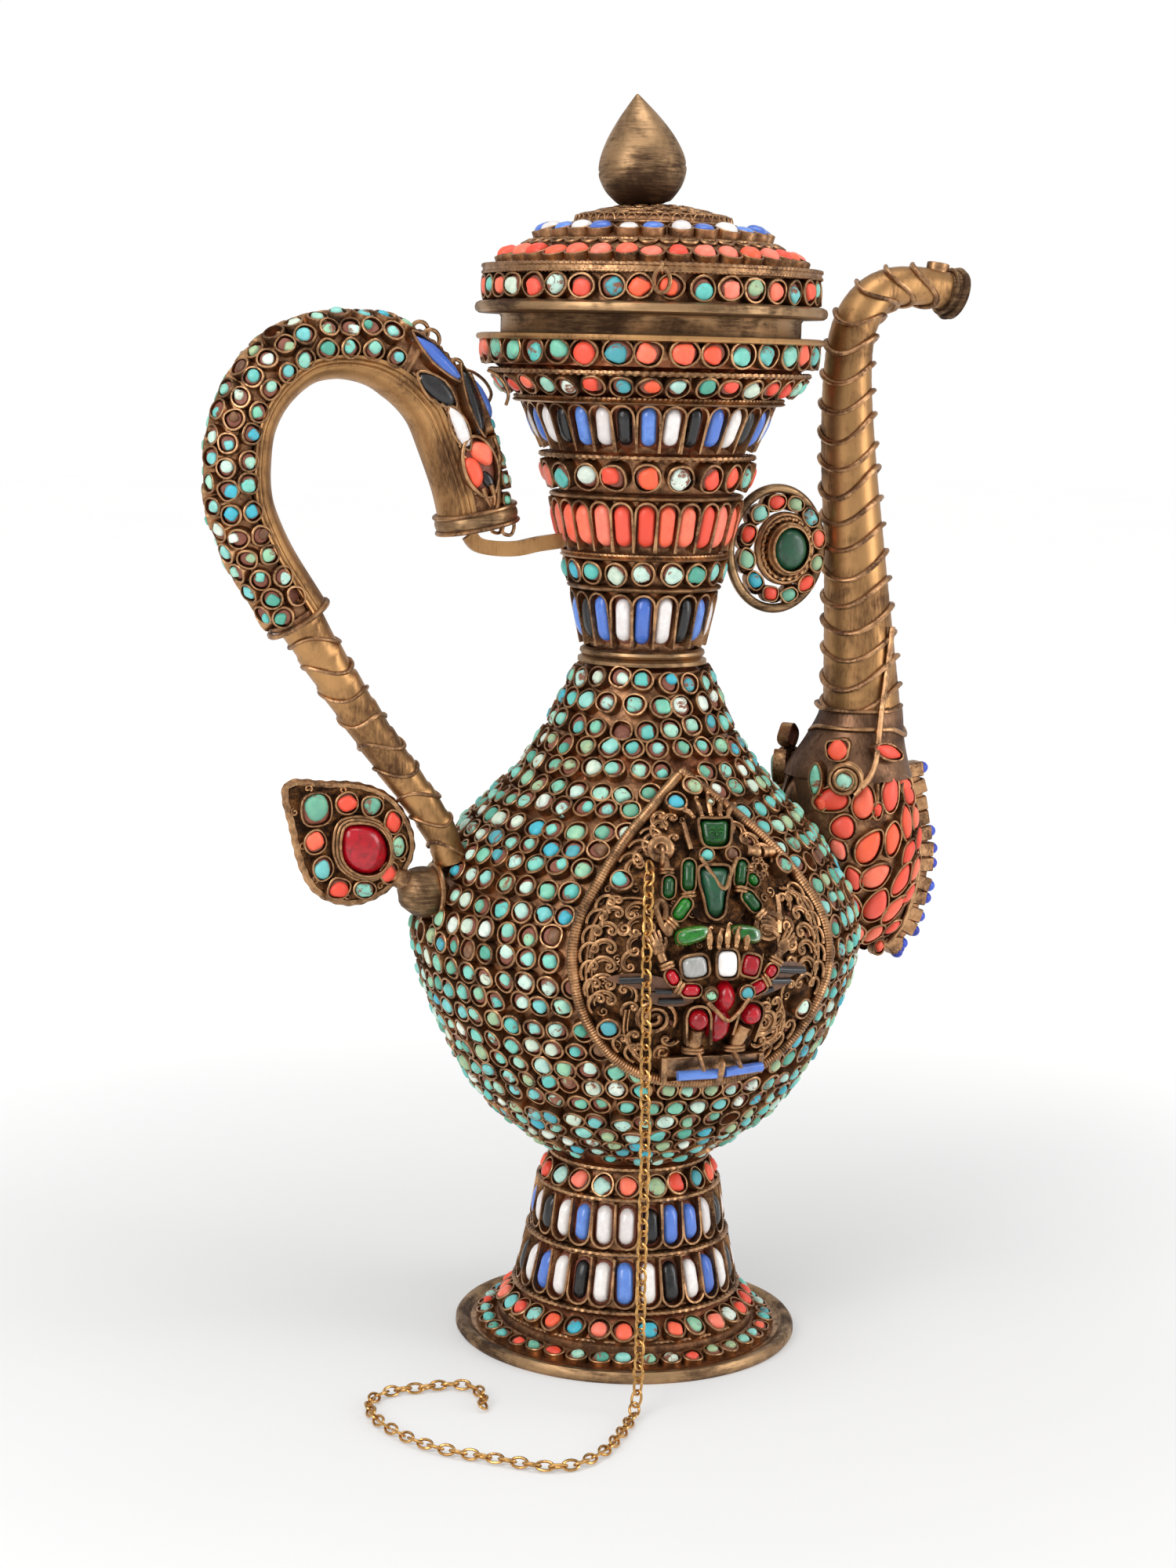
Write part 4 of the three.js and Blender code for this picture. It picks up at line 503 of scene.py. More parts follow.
def metal(name, bright, dark, roughness, patch_scale, low=0.42, high=0.66):
    """Worn metal: tarnished patches of two sizes, fine pitting, rougher where it is dark."""
    look = Look(name, Metallic=1.0)
    patches = look.noise(patch_scale, 6, 0.62, 0.4)
    specks = look.noise(patch_scale * 11, 4, 0.7)
    worn = look.sums("ADD", look.sums("MULTIPLY", patches, 0.68), look.sums("MULTIPLY", specks, 0.32))
    tarnish = look.ranged(worn, low, high)
    share = look.ranged(look.noise(patch_scale * 3, 3), 0.35, 0.65)
    warm = look.blend(share, linear(*bright[0]), linear(*bright[1]))
    colour = look.blend(tarnish, warm, linear(*dark))
    pits = look.noise(PIT_SCALE, 3, 0.7)
    return look.finish(colour, look.ranged(tarnish, 0, 1, *roughness), pits, PIT_DEPTH)


BRASS = metal("aged_brass", ((190, 147, 106), (156, 116, 82)), (78, 56, 43), (0.36, 0.58), 95)
GROUND = metal("dark_brass_ground", ((176, 130, 94), (140, 102, 74)), (86, 60, 46), (0.44, 0.64), 160)
# Metal for the recessed grounds of the medallion, the figures and the leaf: its colours are darkened as
# painted shade of the recesses, on top of the random tarnish that every metal here has.
RECESS_METAL_PAINTED_SHADE = metal("recess_metal_painted_shade", ((132, 88, 50), (86, 58, 38)), (40, 28, 22), (0.42, 0.66), 210, 0.36, 0.58)
GOLD = metal("filigree_wire", ((192, 148, 106), (160, 119, 84)), (88, 63, 46), (0.36, 0.55), 240, 0.44, 0.68)
CHAIN_METAL = metal("chain_gold", ((214, 168, 104), (188, 140, 78)), (112, 78, 46), (0.28, 0.46), 420, 0.46,
                    0.7)
COPPER = metal("copper_sheet", ((176, 112, 80), (146, 92, 64)), (78, 50, 36), (0.38, 0.58), 70)


def brushed(name, bright, dark, across, scale, roughness, low, high):
    """Spun or drawn sheet: fine lines along one way, broad tarnished patches."""
    look = Look(name, Metallic=1.0)
    lines = look.noise(scale, 5, 0.72, place=look.stretched(*across))
    patches = look.noise(38, 6, 0.6, 0.5)
    worn = look.sums("ADD", look.sums("MULTIPLY", patches, 0.7), look.sums("MULTIPLY", lines, 0.3))
    tarnish = look.ranged(worn, low, high)
    warm = look.blend(lines, linear(*bright[1]), linear(*bright[0]))
    colour = look.blend(tarnish, warm, linear(*dark))
    rough = look.sums("ADD", look.ranged(tarnish, 0, 1, *roughness), look.sums("MULTIPLY", lines, 0.12))
    return look.finish(colour, rough, lines, SHEET_LINE_DEPTH, 0.45)


SPUN = brushed("spun_brass", ((196, 160, 118), (154, 120, 86)), (76, 56, 42), (1, 1, 9), 130, (0.34, 0.56),
               0.4, 0.62)
DRAWN = brushed("drawn_brass", ((202, 156, 102), (160, 118, 78)), (84, 58, 42), (7, 7, 1), 150,
                (0.34, 0.54), 0.42, 0.68)
SHEET = brushed("dark_drawn_sheet", ((158, 120, 92), (120, 88, 66)), (68, 49, 40), (6, 6, 1), 170,
                (0.36, 0.56), 0.36, 0.62)


def stone(name, colours, matrix, veins, gloss, vein_scale=420, depth=0.00012):
    """Opaque stone: one of its colours for each stone, with matrix in patches and veins."""
    look = Look(name, Specular_IOR_Level=0.45)
    pick = look.pick()
    base = look.one_of(pick, colours)
    cloud = look.noise(vein_scale * 0.8, 4, 0.6)
    shade = look.blend(look.ranged(cloud, 0.3, 0.7, 0.0, 0.35), base, linear(*matrix[1]))
    patch = look.noise(vein_scale * 0.55, 6, 0.66, 0.9)
    wander = look.sums("MULTIPLY", look.sums("FRACT", look.sums("MULTIPLY", pick, 97.3), 0.0), 0.16)
    edge = look.sums("SUBTRACT", veins, wander)
    brown = look.ranged(patch, edge, look.sums("ADD", edge, 0.09))
    colour = look.blend(brown, shade, linear(*matrix[0]))
    height = look.sums("SUBTRACT", cloud, look.sums("MULTIPLY", brown, 0.8))
    return look.finish(colour, look.ranged(patch, 0.3, 0.8, gloss, gloss + 0.25), height, depth)


TURQUOISE = stone("turquoise_stone", [
    (142, 206, 186), (104, 190, 180), (206, 230, 214), (120, 200, 198), (168, 216, 192), (84, 164, 140),
    (226, 234, 220), (128, 200, 170), (66, 176, 198), (184, 220, 206), (112, 174, 144), (148, 212, 200),
    (76, 160, 172), (212, 224, 202), (150, 200, 162), (98, 192, 182), (166, 188, 142), (126, 206, 188)],
    ((128, 78, 56), (58, 136, 130)), 0.66, 0.34)
CORAL = stone("coral_stone", [
    (240, 92, 62), (244, 108, 78), (232, 80, 56), (246, 122, 92), (236, 86, 66), (242, 98, 60), (224, 72, 50),
    (246, 132, 108)], ((176, 60, 42), (222, 76, 54)), 0.78, 0.34, 520, 0.00008)
LAPIS = stone("lapis_stone", [(40, 62, 190), (50, 78, 206), (34, 50, 168), (62, 92, 212)],
              ((20, 26, 76), (24, 34, 104)), 0.76, 0.24, 620, 0.00006)


def glazed(name, colours, mottle, gloss=0.16, see_through=0.0, coat=0.2, depth=0.00005, clouds=0.75):
    """Bead glass or enamel: clouded a little, glossy, with small seeds on its surface."""
    look = Look(name, Coat_Weight=coat, Coat_Roughness=0.12, Transmission_Weight=see_through, IOR=1.5)
    base = look.one_of(look.pick(), colours)
    cloud = look.noise(460, 4, 0.6, 0.6)
    colour = look.blend(look.ranged(cloud, 0.35, 0.75, 0, clouds), base, linear(*mottle))
    return look.finish(colour, look.ranged(cloud, 0.3, 0.8, gloss, gloss + 0.2), look.noise(900, 3), depth)


BLUE_GLASS = glazed("blue_bead_glass", [(84, 124, 208), (98, 140, 218), (70, 108, 192)], (60, 88, 168),
                    clouds=0.5)
WHITE_GLASS = glazed("white_bead_glass", [(232, 228, 226), (222, 216, 214), (238, 234, 230)],
                     (196, 180, 174), depth=0.00003, clouds=0.45)
BLACK_GLASS = glazed("black_bead_glass", [(18, 17, 20), (25, 24, 27), (13, 13, 16)], (36, 32, 32), 0.2, 0.0,
                     0.1, 0.00003)
GREEN_GLASS = glazed("green_glass", [(22, 116, 32), (14, 88, 34), (38, 140, 38)], (6, 46, 18), 0.12, 0.3, 0.1)
DARK_GREEN = glazed("dark_green_stone", [(24, 78, 50), (28, 88, 56), (20, 66, 46)], (14, 44, 30), 0.26, 0.0,
                    0.15)
RED_GLASS = glazed("red_glass", [(206, 10, 34), (184, 8, 28), (220, 20, 38)], (110, 2, 14), 0.12, 0.3, 0.1)
CLEAR_GLASS = glazed("clear_glass", [(222, 226, 222), (206, 214, 210)], (170, 176, 172), 0.1, 0.55, 0.4)
HORN = glazed("brown_wood_filler", [(124, 84, 52), (104, 66, 40)], (70, 42, 26), 0.4, 0.0, 0.0)


def resin():
    """The lumpy brown cement between and under the stones."""
    look = Look("setting_resin", Specular_IOR_Level=0.4)
    lumps = look.noise(900, 5, 0.65)
    tone = look.ranged(look.noise(120, 3), 0.35, 0.65)
    colour = look.blend(lumps, look.blend(tone, linear(138, 76, 56), linear(158, 98, 76)), linear(96, 54, 42))
    return look.finish(colour, look.ranged(lumps, 0.3, 0.7, 0.38, 0.7), lumps, 0.0003, 0.7)


RESIN = resin()
STONES = {"t": TURQUOISE, "c": CORAL, "l": LAPIS, "b": BLUE_GLASS, "w": WHITE_GLASS, "k": BLACK_GLASS,
          "g": GREEN_GLASS, "d": DARK_GREEN, "r": RED_GLASS, "q": CLEAR_GLASS, "h": HORN}

# The chain's line in metres, from the eye beside the upper figure, down over the belly and the
# foot, and away in a loop on the floor
CHAIN_ROUTE = [
    (-0.0271, -0.0688, 0.1898), (-0.0294, -0.0733, 0.1856), (-0.0316, -0.0778, 0.1785),
    (-0.0329, -0.0805, 0.1710), (-0.0336, -0.0819, 0.1619), (-0.0337, -0.0824, 0.1499),
    (-0.0333, -0.0825, 0.1337), (-0.0332, -0.0826, 0.1174), (-0.0328, -0.0828, 0.1010),
    (-0.0326, -0.0829, 0.0801), (-0.0327, -0.0828, 0.0568), (-0.0326, -0.0828, 0.0320),
    (-0.0328, -0.0828, 0.0160), (-0.0336, -0.0840, 0.0080), (-0.0370, -0.0886, 0.0027),
    (-0.0451, -0.0987, 0.0020), (-0.0563, -0.1113, 0.0020), (-0.0634, -0.1165, 0.0020),
    (-0.0711, -0.1205, 0.0020), (-0.0789, -0.1203, 0.0020), (-0.0855, -0.1165, 0.0020),
    (-0.0922, -0.1098, 0.0020), (-0.0986, -0.1038, 0.0020), (-0.1047, -0.0980, 0.0020),
    (-0.1103, -0.0911, 0.0020), (-0.1150, -0.0825, 0.0020), (-0.1184, -0.0720, 0.0020),
    (-0.1202, -0.0620, 0.0020), (-0.1192, -0.0512, 0.0020), (-0.1152, -0.0430, 0.0020),
    (-0.1094, -0.0394, 0.0020), (-0.1030, -0.0384, 0.0020), (-0.0955, -0.0396, 0.0020),
    (-0.0874, -0.0394, 0.0020), (-0.0802, -0.0426, 0.0020), (-0.0782, -0.0518, 0.0020),
    (-0.0826, -0.0637, 0.0020)]
LINK_PITCH = 4.3
LINK_HALF = (1.75, 2.95)
LINK_WIRE = 0.5
LINK_TURN = math.radians(36)


def make_chain():
    """Curb links, each turned the other way from the one before."""
    piece = Piece("chain_links")
    line = spline(np.array(CHAIN_ROUTE) / MM, 3000)
    reach = length_of(line)
    count = int(reach / LINK_PITCH)
    rng = random.Random(11)
    ends = even(line, count)
    shape = tube(oval_ring(*LINK_HALF, 18), LINK_WIRE, 7, loop=True)
    for k in range(count):
        middle = (ends[k] + ends[k + 1]) / 2
        along = unit(ends[k + 1] - ends[k])
        out = (0, 0, 1) if abs(along[2]) < 0.6 else unit((middle[0], middle[1], 0))
        across = unit(np.cross(along, out))
        at = basis(middle, np.cross(across, along), along)
        turn = LINK_TURN * (1 if k % 2 else -1) + rng.uniform(-0.12, 0.12)
        piece.add(shape, CHAIN_METAL, moved(at, lean=turn))
    made = piece.place("ewer", "chain", "chain")


make_chain()


# The floor, the lamps and the white room
# Name, azimuth in degrees, height and distance in metres, size in metres, power in watts
LAMPS = [
    ("key_softbox", -150, 0.85, 1.25, (0.7, 0.9), 10.0),
    ("side_softbox", -40, 0.55, 1.3, (0.5, 1.0), 6.5),
    ("top_softbox", -90, 1.5, 0.25, (0.9, 0.6), 5.0)]
# Strengths: the room as a light, the floor's own glow in its mix, near the foot and far from it
ROOM_LIGHT = 0.72
FLOOR_WHITE = 0.46
FLOOR_GLOW = 1.36
NEAR_GLOW = 0.62
# In metres: how far from the middle the floor's glow starts to grow and is full, and its side
GLOW_REACH = (0.14, 0.75)
FLOOR_SIDE = 14
LAMPS_AIM = (0, 0, 0.22)


def make_stage():
    """A white floor that fades into a white room, and three lamps."""
    bpy.ops.mesh.primitive_plane_add(size=FLOOR_SIDE)
    floor = bpy.context.object
    floor.name = "floor"
    look = Look("pale_floor", Roughness=0.9, Specular_IOR_Level=0.1)
    tone = look.ranged(look.noise(3), 0.3, 0.7)
    look.finish(look.blend(tone, linear(248, 248, 248), linear(251, 251, 250)))
    glow = look.node("ShaderNodeEmission")
    far = look.node("ShaderNodeVectorMath", operation="LENGTH")
    look.feed(far.inputs[0], look.place)
    strength = look.ranged(far.outputs["Value"], *GLOW_REACH, NEAR_GLOW, FLOOR_GLOW)
    look.feed(glow.inputs["Strength"], strength)
    seen = look.node("ShaderNodeLightPath").outputs["Is Camera Ray"]
    both = look.node("ShaderNodeMixShader")
    look.feed(both.inputs[0], look.sums("MULTIPLY", seen, FLOOR_WHITE))
    look.feed(both.inputs[1], look.shader.outputs[0])
    look.feed(both.inputs[2], glow.outputs[0])
    look.feed(look.tree.nodes["Material Output"].inputs["Surface"], both.outputs[0])
    floor.data.materials.append(look.made)
    world = bpy.data.worlds.new("white_room")
    bpy.context.scene.world = world
    world.use_nodes = True
    nodes, links = world.node_tree.nodes, world.node_tree.links
    back = nodes["Background"]
    back.inputs["Color"].default_value = (1, 1, 1, 1)
    path = nodes.new("ShaderNodeLightPath")
    seen = nodes.new("ShaderNodeMath")
    seen.operation = "MAXIMUM"
    links.new(path.outputs["Is Camera Ray"], seen.inputs[0])
    links.new(path.outputs["Is Transmission Ray"], seen.inputs[1])
    strength = nodes.new("ShaderNodeMapRange")
    strength.inputs["To Min"].default_value = ROOM_LIGHT
    strength.inputs["To Max"].default_value = 1.0
    links.new(seen.outputs[0], strength.inputs["Value"])
    links.new(strength.outputs[0], back.inputs["Strength"])
    for name, azimuth, height, distance, size, watts in LAMPS:
        data = bpy.data.lights.new(name, "AREA")
        data.shape = "RECTANGLE"
        data.size, data.size_y = size
        data.energy = watts
        lamp = bpy.data.objects.new(name, data)
        angle = math.radians(azimuth)
        lamp.location = (distance * math.cos(angle), distance * math.sin(angle), height)
        aim = Vector(LAMPS_AIM) - lamp.location
        lamp.rotation_euler = aim.to_track_quat("-Z", "Y").to_euler()
        bpy.context.scene.collection.objects.link(lamp)


make_stage()
bpy.context.scene.view_settings.view_transform = "Standard"


# How deep the sheet lies under the tops of the stones, and how thick a bezel's strip is
JACKET = 4.5
WALL = 0.75
# The outlines of the body, neck and foot, as pairs of radius and height. Shares are parts of the whole.
BODY_RADIUS = 82.5
BODY_BOTTOM = 69.9
BODY_HEIGHT = 180.3
BODY_SHARES = [
    (0.358, 0), (0.436, 0.022), (0.552, 0.061), (0.67, 0.111), (0.785, 0.183), (0.861, 0.25), (0.939, 0.333),
    (0.985, 0.406), (1, 0.456), (0.97, 0.528), (0.895, 0.6), (0.795, 0.667), (0.697, 0.717), (0.57, 0.778),
    (0.492, 0.823), (0.422, 0.878), (0.352, 0.945), (0.305, 1)]
BODY_ROWS = 26
BODY_BEZEL = 4.25
# No bezel stands nearer to the body's ends than its edge. A gap is looked for in steps, and has
# room for a bezel from so many of its radii on.
BODY_EDGE = 3
GAP_STEP = 1.5
GAP_ROOM = 1.86
NECK_LINE = [
    (22.6, 254), (23.2, 258), (26.5, 273), (27.9, 278.4), (29, 282), (30.6, 289.7), (34.2, 304),
    (35.2, 310.9), (37.4, 318), (38.8, 324.9), (41, 331), (45, 339.5), (48.8, 344.4), (53.2, 348.5),
    (57.3, 354), (59.6, 358.5), (60.2, 366.5)]
FOOT_LINE = [(57, 6), (50, 9), (46.6, 13), (43.2, 17.6), (42.2, 18.8), (40.2, 27), (37.5, 39.1), (35.8, 47),
             (33.9, 58.4), (31.4, 64), (29.6, 68.5)]

SHEET_THICK = 0.5


class Profile:
    """A turned surface, from pairs of radius and height that rise all the way."""

    def __init__(self, points):
        self.line = spline(points, 400)
        slope = np.gradient(self.line, axis=0)
        slope /= np.linalg.norm(slope, axis=1)[:, None]
        self.out = np.stack([slope[:, 1], -slope[:, 0]], 1)

    def radius(self, z):
        return float(np.interp(z, self.line[:, 1], self.line[:, 0]))

    def seat(self, degrees, z, sink=JACKET):
        """The frame of a small part that stands on the sheet under the surface."""
        level = self.line[:, 1]
        out = around(np.interp(z, level, self.out[:, 0]), degrees, np.interp(z, level, self.out[:, 1]))
        return basis(around(self.radius(z), degrees, z) - unit(out) * sink, out, (0, 0, 1))

    def sheet(self, low, high, sink, steps):
        """The sheet itself, between two heights."""
        level = self.line[:, 1]
        outline = [[(self.radius(z) - depth * np.interp(z, level, self.out[:, 0]),
                     z - depth * np.interp(z, level, self.out[:, 1]))
                    for z in np.linspace(low, high, steps)]
                   for depth in (sink, sink + SHEET_THICK)]
        return lathe(outline[0] + outline[1][::-1], 160, True)


BODY = Profile([(BODY_RADIUS * r, BODY_BOTTOM + BODY_HEIGHT * z) for r, z in BODY_SHARES])
NECK = Profile(NECK_LINE)
FOOT = Profile(FOOT_LINE)


def filled(piece, at, outline, depth, rng, kind, fill, rise, fullness=0.75, wall=WALL, foot=-0.7):
    """A closed strip round a stone that sits in resin. A kind of None leaves it empty."""
    line = np.asarray(outline, float)
    piece.add(collar(line, foot, depth, wall), BRASS, at)
    inner = grown(line, -wall * 0.9)
    level = depth - rng.uniform(0.2, 0.6)
    if kind is None:
        piece.add(dome(inner, foot, depth * 0.42, 0.9, 3, 0.16, rng), RESIN, at)
        return
    piece.add(dome(inner, foot, level, 0.96, 4, 0.1, rng), RESIN, at)
    size = np.abs(inner).max(0) * fill
    shape = np.asarray(pebble(1, 1, rng, 14)) * size
    shape += [rng.uniform(-1, 1) * (1 - fill) * s for s in np.abs(inner).max(0)]
    tilt = moved(at, tilt=rng.uniform(-0.1, 0.1), lean=rng.uniform(-0.1, 0.1))
    top = depth + rise * rng.uniform(0.5, 1.25)
    piece.add(dome(shape, level - 0.9, top, fullness, 5, 0.05, rng), STONES[kind], tilt, rng.random())


def rod(piece, at, half_width, half_height, depth, rng, kind, down, slim, flat_top):
    """A bead rod in an arched strip that is open at its foot, or at its head where down is set."""
    sign = -1 if down else 1
    line = [(half_width, -half_height * sign)]
    line += [(x, (half_height - half_width + y) * sign) for x, y, _ in arch(half_width, half_width)]
    line.append((-half_width, -half_height * sign))
    piece.add(strip(line, -0.7, depth, WALL), BRASS, at)
    bed = capsule(half_width - WALL * 0.3, half_height)
    piece.add(dome(bed, -0.7, depth * 0.52, 0.95, 3, 0.15, rng), RESIN, at)
    if kind is None:
        return
    w = (half_width - WALL / 2) * slim * rng.uniform(0.9, 1.12)
    h = (half_height - WALL) * rng.uniform(0.88, 0.99)
    lean = moved(at, x=rng.uniform(-0.2, 0.2), turn=rng.uniform(-0.05, 0.05), tilt=rng.uniform(-0.03, 0.03))
    outline = [(x * rng.uniform(0.95, 1.05), y) for x, y in capsule(w, h)]
    bead = dome(outline, depth * 0.3, depth + rng.uniform(0.2, 0.9), flat_top, 6)
    piece.add(bead, STONES[kind], lean, rng.random())


def kinds(pattern, count, rng, slips):
    """The pattern repeated round a row, with a stone of another kind here and there."""
    return [rng.choice(pattern) if rng.random() < slips else pattern[k % len(pattern)] for k in range(count)]


def plain_ring(piece, radius, z, width, height):
    """A rolled ring with a soft round edge."""
    outline = [(radius - width + width * x * (1 if x > 0 else 0.6), z + height * y)
               for x, y in oval(1, 1, 12)]
    piece.add(lathe(outline, 128, True), BRASS)


def rope_ring(piece, radius, z, wire):
    """A ring of twisted wire."""
    line = [around(radius, 2 * k, z) for k in range(180)]
    piece.add(twisted(line, wire * 0.85, wire * 2.2, True, 0.16), BRASS)


# The turquoise field of the body, left clear where the medallion, the bulb and the handle sit on it
MEDALLION_AZIMUTH = -95.0
MEDALLION_BOTTOM = 112.1
MEDALLION_HEIGHT = 104.0
MEDALLION_HALF = 50.0
MEDALLION_SHARES = [
    (0, 1), (0.2, 0.925), (0.52, 0.8), (0.76, 0.675), (0.93, 0.565), (1, 0.45), (0.97, 0.33), (0.85, 0.205),
    (0.63, 0.09), (0.34, 0.02), (0, 0)]
BULB_MIDDLE = (90.5, 0, 174)
BULB_HALF = (28, 23, 37)
# Bezels keep so far from the frame's middle line, and clear of a circle round the handle's foot
MEDALLION_GAP = 1.0
HANDLE_CLEAR_X = -60
HANDLE_CLEAR_Z = 170
HANDLE_CLEAR_RADIUS = 10


def medallion_side(z):
    """Half the medallion's width at a height, along the body's surface."""
    share = (z - MEDALLION_BOTTOM) / MEDALLION_HEIGHT
    if not 0 < share < 1:
        return 0.0
    line = spline(MEDALLION_SHARES, 120)[::-1]
    return float(np.interp(share, line[:, 1], line[:, 0])) * MEDALLION_HALF


def clear_of_fittings(place, z, radius, degrees):
    """Whether a place on the body is free of the medallion, the bulb and the handle."""
    arc = math.radians(degrees - MEDALLION_AZIMUTH) * radius
    side = medallion_side(min(max(z, MEDALLION_BOTTOM + 2), MEDALLION_BOTTOM + MEDALLION_HEIGHT - 2))
    near = MEDALLION_BOTTOM - 3 < z < MEDALLION_BOTTOM + MEDALLION_HEIGHT + 3
    if near and abs(arc) < side + MEDALLION_GAP:
        return False
    if sum(((p - m) / h) ** 2 for p, m, h in zip(place, BULB_MIDDLE, BULB_HALF)) < 1:
        return False
    off = place[1] ** 2 + (z - HANDLE_CLEAR_Z) ** 2
    return not (place[0] < HANDLE_CLEAR_X and off < HANDLE_CLEAR_RADIUS ** 2)


def body_bezel(piece, degrees, height, size, rng):
    """One bezel of the body: turquoise, now and then wood filler or empty."""
    at = moved(BODY.seat(degrees, height), tilt=rng.uniform(-0.09, 0.09), lean=rng.uniform(-0.09, 0.09),
               turn=rng.uniform(0, TURN))
    wide = size * rng.uniform(0.98, 1.05)
    outline = pebble(wide, wide * rng.uniform(0.94, 1.0), rng, 18, 0.03)
    chance = rng.random()
    kind = None if chance < 0.025 else "h" if chance < 0.04 else "t"
    filled(piece, at, outline, rng.uniform(3.6, 4.5), rng, kind, rng.uniform(0.6, 0.88), 1.0,
           rng.uniform(0.5, 0.8))


def fill_gaps(piece, placed, rng):
    """A bezel wherever the rows leave room for one."""
    for height in np.arange(BODY_BOTTOM + BODY_EDGE, BODY_BOTTOM + BODY_HEIGHT - BODY_EDGE, GAP_STEP):
        radius = BODY.radius(height)
        for degrees in np.arange(-180, 180, math.degrees(GAP_STEP / radius)):
            spot = around(radius, degrees, height)
            if np.linalg.norm(np.array(placed) - spot, axis=1).min() < GAP_ROOM * BODY_BEZEL:
                continue
            if clear_of_fittings(spot, height, radius, degrees):
                placed.append(spot)
                body_bezel(piece, degrees, height, BODY_BEZEL * 0.96, rng)


def body_stones():
    """Rows of bezels in soft waves, and more of them in the gaps."""
    rng = random.Random(5)
    piece = Piece("body_turquoise_field")
    piece.add(BODY.sheet(BODY_BOTTOM, BODY_BOTTOM + BODY_HEIGHT, JACKET - 0.35, 90), GROUND)
    rows = even(BODY.line, BODY_ROWS)
    placed = []
    for k in range(BODY_ROWS):
        row_radius, z = (rows[k] + rows[k + 1]) / 2
        if z < BODY_BOTTOM + BODY_EDGE:
            continue
        size = BODY_BEZEL * rng.uniform(0.96, 1.02)
        count = int(TURN * (row_radius - 0.6) / (2 * size * 1.03))
        start = rng.uniform(0, 360)
        wave = [(rng.uniform(0.2, 0.9), rng.uniform(0, TURN)) for _ in range(2)]
        for j in range(count):
            degrees = (start + 360 * (j + rng.uniform(-0.09, 0.09)) / count + 180) % 360 - 180
            angle = math.radians(degrees)
            height = z + sum(swing * math.sin((i + 2) * angle + phase)
                             for i, (swing, phase) in enumerate(wave))
            height += rng.uniform(-0.35, 0.35)
            radius = BODY.radius(height)
            if not clear_of_fittings(around(radius, degrees, height), height, radius, degrees):
                continue
            placed.append(around(radius, degrees, height))
            body_bezel(piece, degrees, height, size, rng)
    fill_gaps(piece, placed, rng)
    piece.place("ewer", "turquoise", "vessel_turquoise")


# Rows of the neck and the foot
def round_row(name, profile, z, half, count, pattern, node, seed, ground, depth=4.2, fill=0.84, tilt=0.0,
              empty=0.03, aspect=1.0):
    """A row of round stones at a height, on its sheet between two heights."""
    rng = random.Random(seed)
    piece = Piece(name)
    piece.add(profile.sheet(*ground, JACKET - 0.35, 12), GROUND)
    for k, kind in enumerate(kinds(pattern, count, rng, 0.1)):
        degrees = FACING_CAMERA + 360 * (k + rng.uniform(-0.07, 0.07)) / count
        at = moved(profile.seat(degrees, z + rng.uniform(-0.2, 0.2)), tilt=tilt + rng.uniform(-0.07, 0.07),
                   lean=rng.uniform(-0.08, 0.08))
        outline = pebble(half * aspect * rng.uniform(0.95, 1.02), half * rng.uniform(0.95, 1.02), rng, 20,
                         0.03)
        kind = None if rng.random() < empty else kind
        wall_height = depth * rng.uniform(0.92, 1.06)
        filled(piece, at, outline, wall_height, rng, kind, fill * rng.uniform(0.9, 1.06), 1.0, 0.7)
    piece.place("ewer", "copper", node)


def rod_row(name, profile, low, high, count, pattern, node, seed, down=False, depth=4.0, slim=0.72,
            flat_top=0.45):
    """A row of bead rods between two heights."""
    rng = random.Random(seed)
    piece = Piece(name)
    middle = (low + high) / 2
    piece.add(profile.sheet(low - 1.5, high + 1.5, JACKET - 0.35, 16), GROUND)
    half_width = math.pi * (profile.radius(middle) - 1) / count * 0.985
    run = profile.radius(high) - profile.radius(low)
    half_height = math.hypot(run, high - low) / 2
    for k, kind in enumerate(kinds(pattern, count, rng, 0.05)):
        degrees = FACING_CAMERA + 360 * (k + rng.uniform(-0.05, 0.05)) / count
        at = moved(profile.seat(degrees, middle), turn=rng.uniform(-0.03, 0.03))
        rod(piece, at, half_width, half_height, depth * rng.uniform(0.9, 1.06), rng, kind, down, slim,
            flat_top)
    piece.place("ewer", "copper", node)


def ledge(name, node, kind, wire):
    """A ring between two rows: a rope, a plain roll, or a ribbed band."""
    piece = Piece(name)
    radius, z = ring_of(node)
    plain_ring(piece, radius - 0.5, z, 3.2, 0.75)
    if kind == "rope":
        rope_ring(piece, radius - wire * 0.4, z, wire)
    elif kind == "double":
        rope_ring(piece, radius - 0.9, z + 0.8, 0.8)
        plain_ring(piece, radius, z - 0.5, 2.2, 0.75)
    else:
        plain_ring(piece, radius, z, 2.4, 1.15)
    piece.place("ewer", "brass", node)


body_stones()
round_row("foot_row_top", FOOT, 63.4, 4.6, 20, "ctctcctc", "foot_row_round_top", 21, ground=(57, 69.8),
          fill=0.86)
rod_row("foot_rods_upper", FOOT, 41, 57, 25, "wkwbwkwb", "foot_row_rods_upper", 22, True, 4.2)
rod_row("foot_rods_lower", FOOT, 20.6, 37.6, 28, "bwkwbwkwbw", "foot_row_rods_lower", 23, True, 4.2)
round_row("foot_row_hem", FOOT, 13.6, 4.6, 31, "ctctctcc", "foot_row_round_hem", 24, ground=(8.2, 18.6),
          tilt=-0.25, depth=4.4)
rod_row("neck_rods_bottom", NECK, 257.2, 276.4, 19, "bwkbwkb", "neck_row_rods_bottom", 31)
round_row("neck_row_turquoise", NECK, 284, 4.6, 18, "tttttth", "neck_row_turquoise", 32, ground=(277.6, 290),
          fill=0.86, empty=0.0)
rod_row("neck_rods_coral", NECK, 291.6, 309.2, 26, "c", "neck_row_coral_rods", 33, False, 4.0, 0.86, 0.7)
